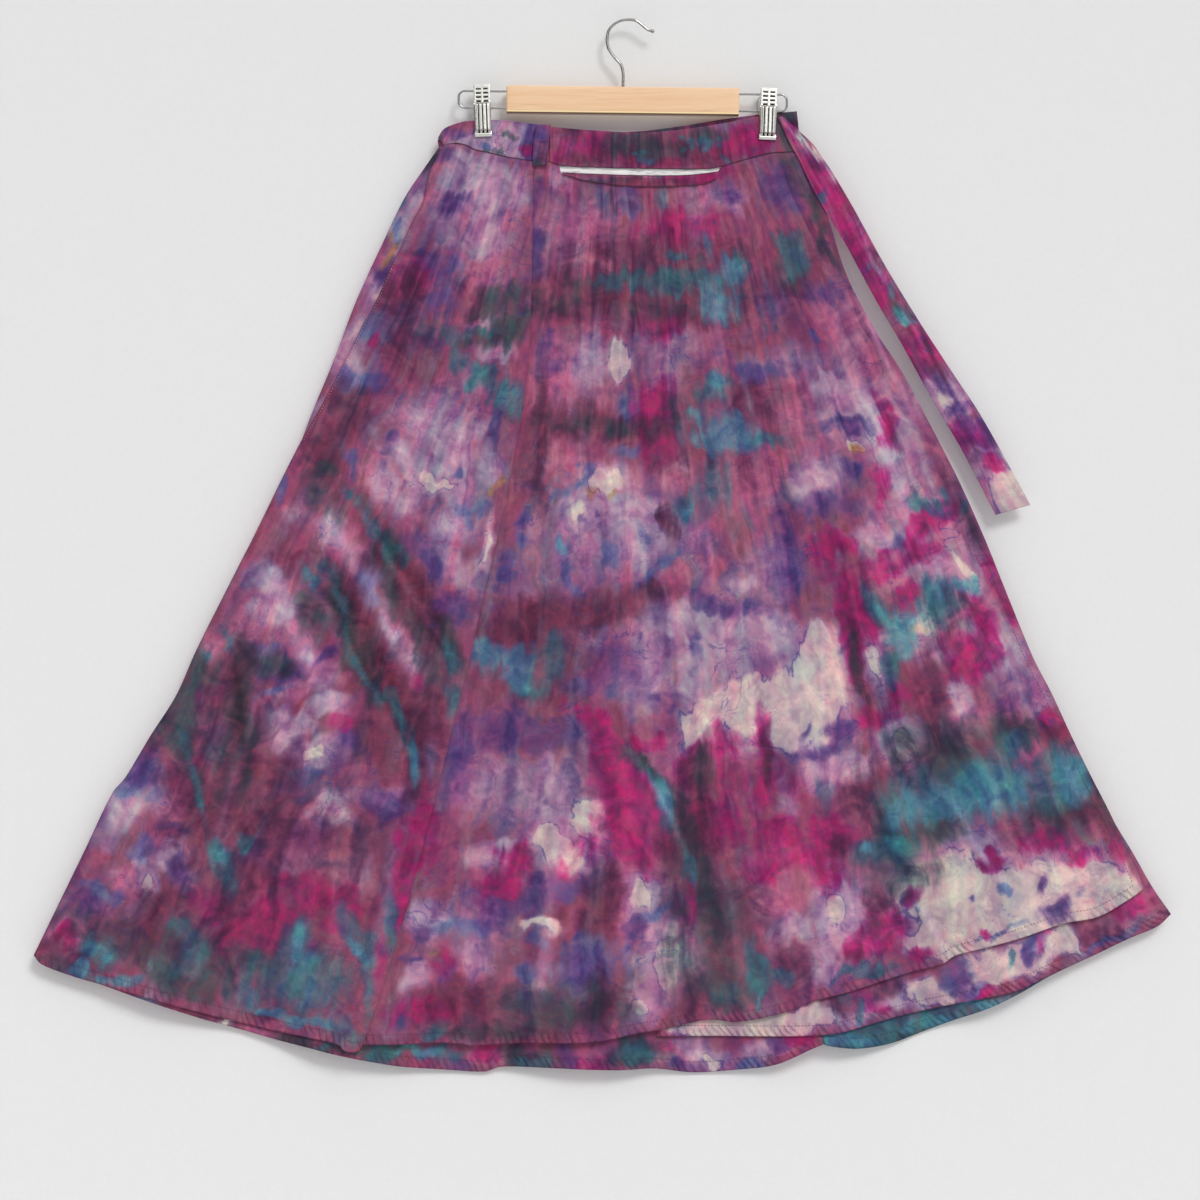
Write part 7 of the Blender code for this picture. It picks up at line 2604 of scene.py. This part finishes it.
@dataclass
class Studio:
    """A pale wall and floor, soft light from the upper right, and the camera straight in front."""

    wall_tone: str = "#DEDEDE"
    grain_tone: str = "#E0E0E0"
    wall_y: float = 0.0148
    floor_z: float = -1.45
    view_x: float = -0.03045
    view_z: float = -0.60795
    view_width: float = 1.26
    lens: float = 110.0
    sensor: float = 36.0

    def paper(self, name: str, roughness: float) -> bpy.types.Material:
        """Return matt paper that is seen from its front alone.

        Args:
            name: the paper's name.
            roughness: how matt it is.

        Returns:
            The material.
        """
        material, tree, shader = new_material(name)
        place = add_node(tree, "ShaderNodeTexCoord").outputs["Object"]
        grain = add_node(tree, NOISE, {"Vector": place, "Scale": 300.0, "Detail": 2.0})
        share = add_node(tree, RAMP, (grain.outputs["Fac"], 0.2, 0.8), **SMOOTH).outputs[0]
        tones = {0: share, 6: srgb(self.wall_tone), 7: srgb(self.grain_tone)}
        tone = add_node(tree, BLEND, tones, **COLOURS).outputs[2]
        feed(tree, shader, {"Base Color": tone, "Roughness": roughness, "Specular IOR Level": 0.0})
        clear = add_node(tree, "ShaderNodeBsdfTransparent")
        facing = add_node(tree, "ShaderNodeNewGeometry").outputs["Backfacing"]
        both = add_node(tree, "ShaderNodeMixShader", {0: facing, 1: shader.outputs[0], 2: clear.outputs[0]})
        tree.links.new(both.outputs[0], tree.nodes["Material Output"].inputs["Surface"])
        return material

    def build(self) -> None:
        """Build the wall, the floor, the light and the camera."""
        self.add_room()
        self.add_light()
        self.add_camera()

    def add_room(self) -> None:
        """Add the wall and the floor."""
        maker = bmesh.new()
        stand = Matrix.Translation((0.0, self.wall_y, self.floor_z + 3.0)) @ Matrix.Rotation(
            math.radians(90.0), 4, "X")
        bmesh.ops.create_grid(maker, x_segments=1, y_segments=1, size=3.0, matrix=stand)
        wall = link_mesh("studio_wall", maker, self.paper("pale wall", 0.95), smooth=False)
        maker = bmesh.new()
        bmesh.ops.create_grid(maker, x_segments=1, y_segments=1, size=6.0,
                              matrix=Matrix.Translation((0.0, 0.0, self.floor_z)))
        floor = link_mesh("studio_floor", maker, self.paper("pale floor", 0.9), smooth=False)
        wall.visible_diffuse = False
        wall.visible_glossy = False
        wall.visible_shadow = False

    def add_light(self) -> None:
        """Add the even room light, a key sun, a soft high sun, a rear sun and three glints in the shine."""
        world = bpy.data.worlds.new("soft room")
        bpy.context.scene.world = world
        world.use_nodes = True
        tree = world.node_tree
        around = add_node(tree, "ShaderNodeTexCoord").outputs["Generated"]
        way = add_node(tree, "ShaderNodeSeparateXYZ", (around,))
        lean = add_node(tree, MATH, (way.outputs[0], 0.55, way.outputs[2]), operation="MULTIPLY_ADD")
        share = add_node(tree, RAMP, (lean.outputs[0], -0.75, 0.75), **SMOOTH).outputs[0]
        tones = {0: share, 6: srgb("#8C8C90"), 7: srgb("#FFFFFF")}
        tone = add_node(tree, BLEND, tones, **COLOURS).outputs[2]
        feed(tree, tree.nodes["Background"], {"Color": tone, "Strength": 0.58})
        for name, strength, angle, aim in (
            ("key sun", 1.5, 18.0, (-0.50, 1.0, -0.90)),
            ("high sun", 0.62, 90.0, (-0.25, 1.0, -1.30)),
            ("rear sun", 0.9, 40.0, (0.3, -1.0, -0.8)),
        ):
            light = bpy.data.lights.new(name, "SUN")
            light.energy = strength
            light.angle = math.radians(angle)
            self.place_light(light, Vector((0.0, 0.0, 1.0)), Vector(aim))
        for name, place, power, size in (
            ("left glint", (-1.1, -1.0, 0.3), 1.2, 0.5),
            ("right glint", (1.3, -0.9, 0.5), 1.8, 0.6),
            ("front glint", (0.9, -4.4, 1.3), 22.0, 2.6),
        ):
            light = bpy.data.lights.new(name, "AREA")
            light.energy = power
            light.size = size
            lamp = self.place_light(light, Vector(place), Vector((0.0, 0.0, -0.1)) - Vector(place))
            lamp.visible_diffuse = False

    @staticmethod
    def place_light(light: bpy.types.Light, place: Vector, aim: Vector) -> bpy.types.Object:
        """Stand a light somewhere, turn it and return it.

        Args:
            light: the light.
            place: where it stands.
            aim: the way it shines.

        Returns:
            The lamp.
        """
        lamp = bpy.data.objects.new(light.name, light)
        lamp.location = place
        lamp.rotation_mode = "QUATERNION"
        lamp.rotation_quaternion = aim.to_track_quat("-Z", "Y")
        bpy.context.scene.collection.objects.link(lamp)
        return lamp

    def add_camera(self) -> None:
        """Add the camera, level and square to the skirt."""
        eye = bpy.data.cameras.new("camera")
        eye.lens = self.lens
        eye.sensor_width = self.sensor
        eye.clip_end = 100.0
        camera = bpy.data.objects.new("camera", eye)
        camera.location = (self.view_x, -self.view_width * self.lens / self.sensor, self.view_z)
        camera.rotation_euler = (math.radians(90.0), 0.0, 0.0)
        bpy.context.scene.collection.objects.link(camera)
        bpy.context.scene.camera = camera
        bpy.context.scene.view_settings.view_transform = "Standard"


def sew_all(pieces: dict) -> None:
    """Sew the rows of stitches that show, and the drawn-in lines of the seams.

    Args:
        pieces: the cloth pieces by name.
    """
    dark = Thread("dark thread", "#4A2440", "#3C3048").material()
    seam = Thread("seam line", "#4C1E34", "#3A2436").material()
    pale = Thread("pale thread", "#D8CDD6", "#9C86A8").material()
    side, centre = pieces["front_side_gore"], pieces["front_centre_gore"]
    rows = []
    for name in ("front_side_gore", "front_centre_gore", "front_under_wrap", "back_gore_left",
                 "back_gore_right"):
        down = 1.0 - HEM_DEPTH / pieces[name].sheet.cut_size()[1]
        rows.append(Seam(pieces[name], (0.01, down), (0.99, down), pitch=0.0036, length=0.0026,
                         radius=0.00034))
    rows.append(Seam(centre, (0.986, 0.42), (0.9885, 0.985), pitch=0.0036, length=0.0024, radius=0.00030))
    rows.append(Seam(side, (0.9955, 0.03), (0.9955, 0.985), pitch=0.0034, length=0.0018, radius=0.00018))
    sew_rows("hem_stitches", rows, dark)
    edge = Seam(side, (0.012, 0.10), (0.010, 0.36), pitch=0.0034, length=0.0016, radius=0.00024)
    sew_rows("edge_stitches", [edge], pale)
    band_side, band_centre = pieces["waistband_front_side"], pieces["waistband_front_centre"]
    welt, loop = pieces["pocket_welt"], pieces["belt_loop"]
    drawn = {"pitch": 0.0015, "length": 0.0024, "radius": 0.00040}
    dashed = {"pitch": 0.0030, "length": 0.0022, "radius": 0.00030}
    sew_rows("waist_seam", [
        Seam(band_side, (0.01, 0.995), (0.99, 0.995), **drawn),
        Seam(band_centre, (0.01, 0.995), (0.99, 0.995), **drawn),
        Seam(welt, (0.01, 0.04), (0.99, 0.04), **drawn), Seam(welt, (0.0, 0.97), (1.0, 0.97), **drawn),
        Seam(band_centre, (0.014, 0.06), (0.018, 0.97), **dashed),
        Seam(welt, (0.02, 0.30), (0.98, 0.30), **dashed),
        Seam(loop, (0.08, 0.02), (0.08, 0.98), **dashed), Seam(loop, (0.92, 0.02), (0.92, 0.98), **dashed),
        # This dark row at the loop's foot is painted shadow under the loop, drawn in thread
        Seam(loop, (0.02, 0.985), (0.98, 0.985), **drawn),
    ], seam)
    tie = pieces["tie"]
    sew_rows("tie_stitches", [
        Seam(tie, (0.12, 0.93), (0.90, 0.935), **dashed), Seam(tie, (0.12, 0.965), (0.90, 0.965), **dashed),
    ], pale)


def main() -> None:
    """Build the skirt, its hanger and the studio."""
    logging.basicConfig(level=logging.INFO, format="%(message)s")
    cotton = DyedCotton().material()
    wire = BrightMetal("plated wire", "#9C9B9A", "#706E6C", 0.14, 0.12).material()
    steel = BrightMetal("pressed clip steel", "#DADAD4", "#BAB8B0", 0.20, 0.08).material()
    tailor = Tailor(cotton)
    SkirtPanels().build(tailor)
    Waistband().build(tailor)
    SlotPocket(SatinLining().material()).build(tailor)
    BeltLoop().build(tailor)
    Tie().build(tailor)
    sew_all(tailor.pieces)
    LOG.info("cloth sewn: %d pieces", len(tailor.pieces))
    Hanger(PaleWood().material(), wire).build()
    for clip in (
        PressedClip("clip_left", -0.1548, 0.0672, math.radians(-2.2), 0.0028, 0.0),
        PressedClip("clip_right", 0.1472, 0.0706, math.radians(2.2), 0.0060, -1.0),
    ):
        clip.build(steel, wire)
    LOG.info("hanger built")
    Studio().build()


if __name__ == "__main__":
    main()
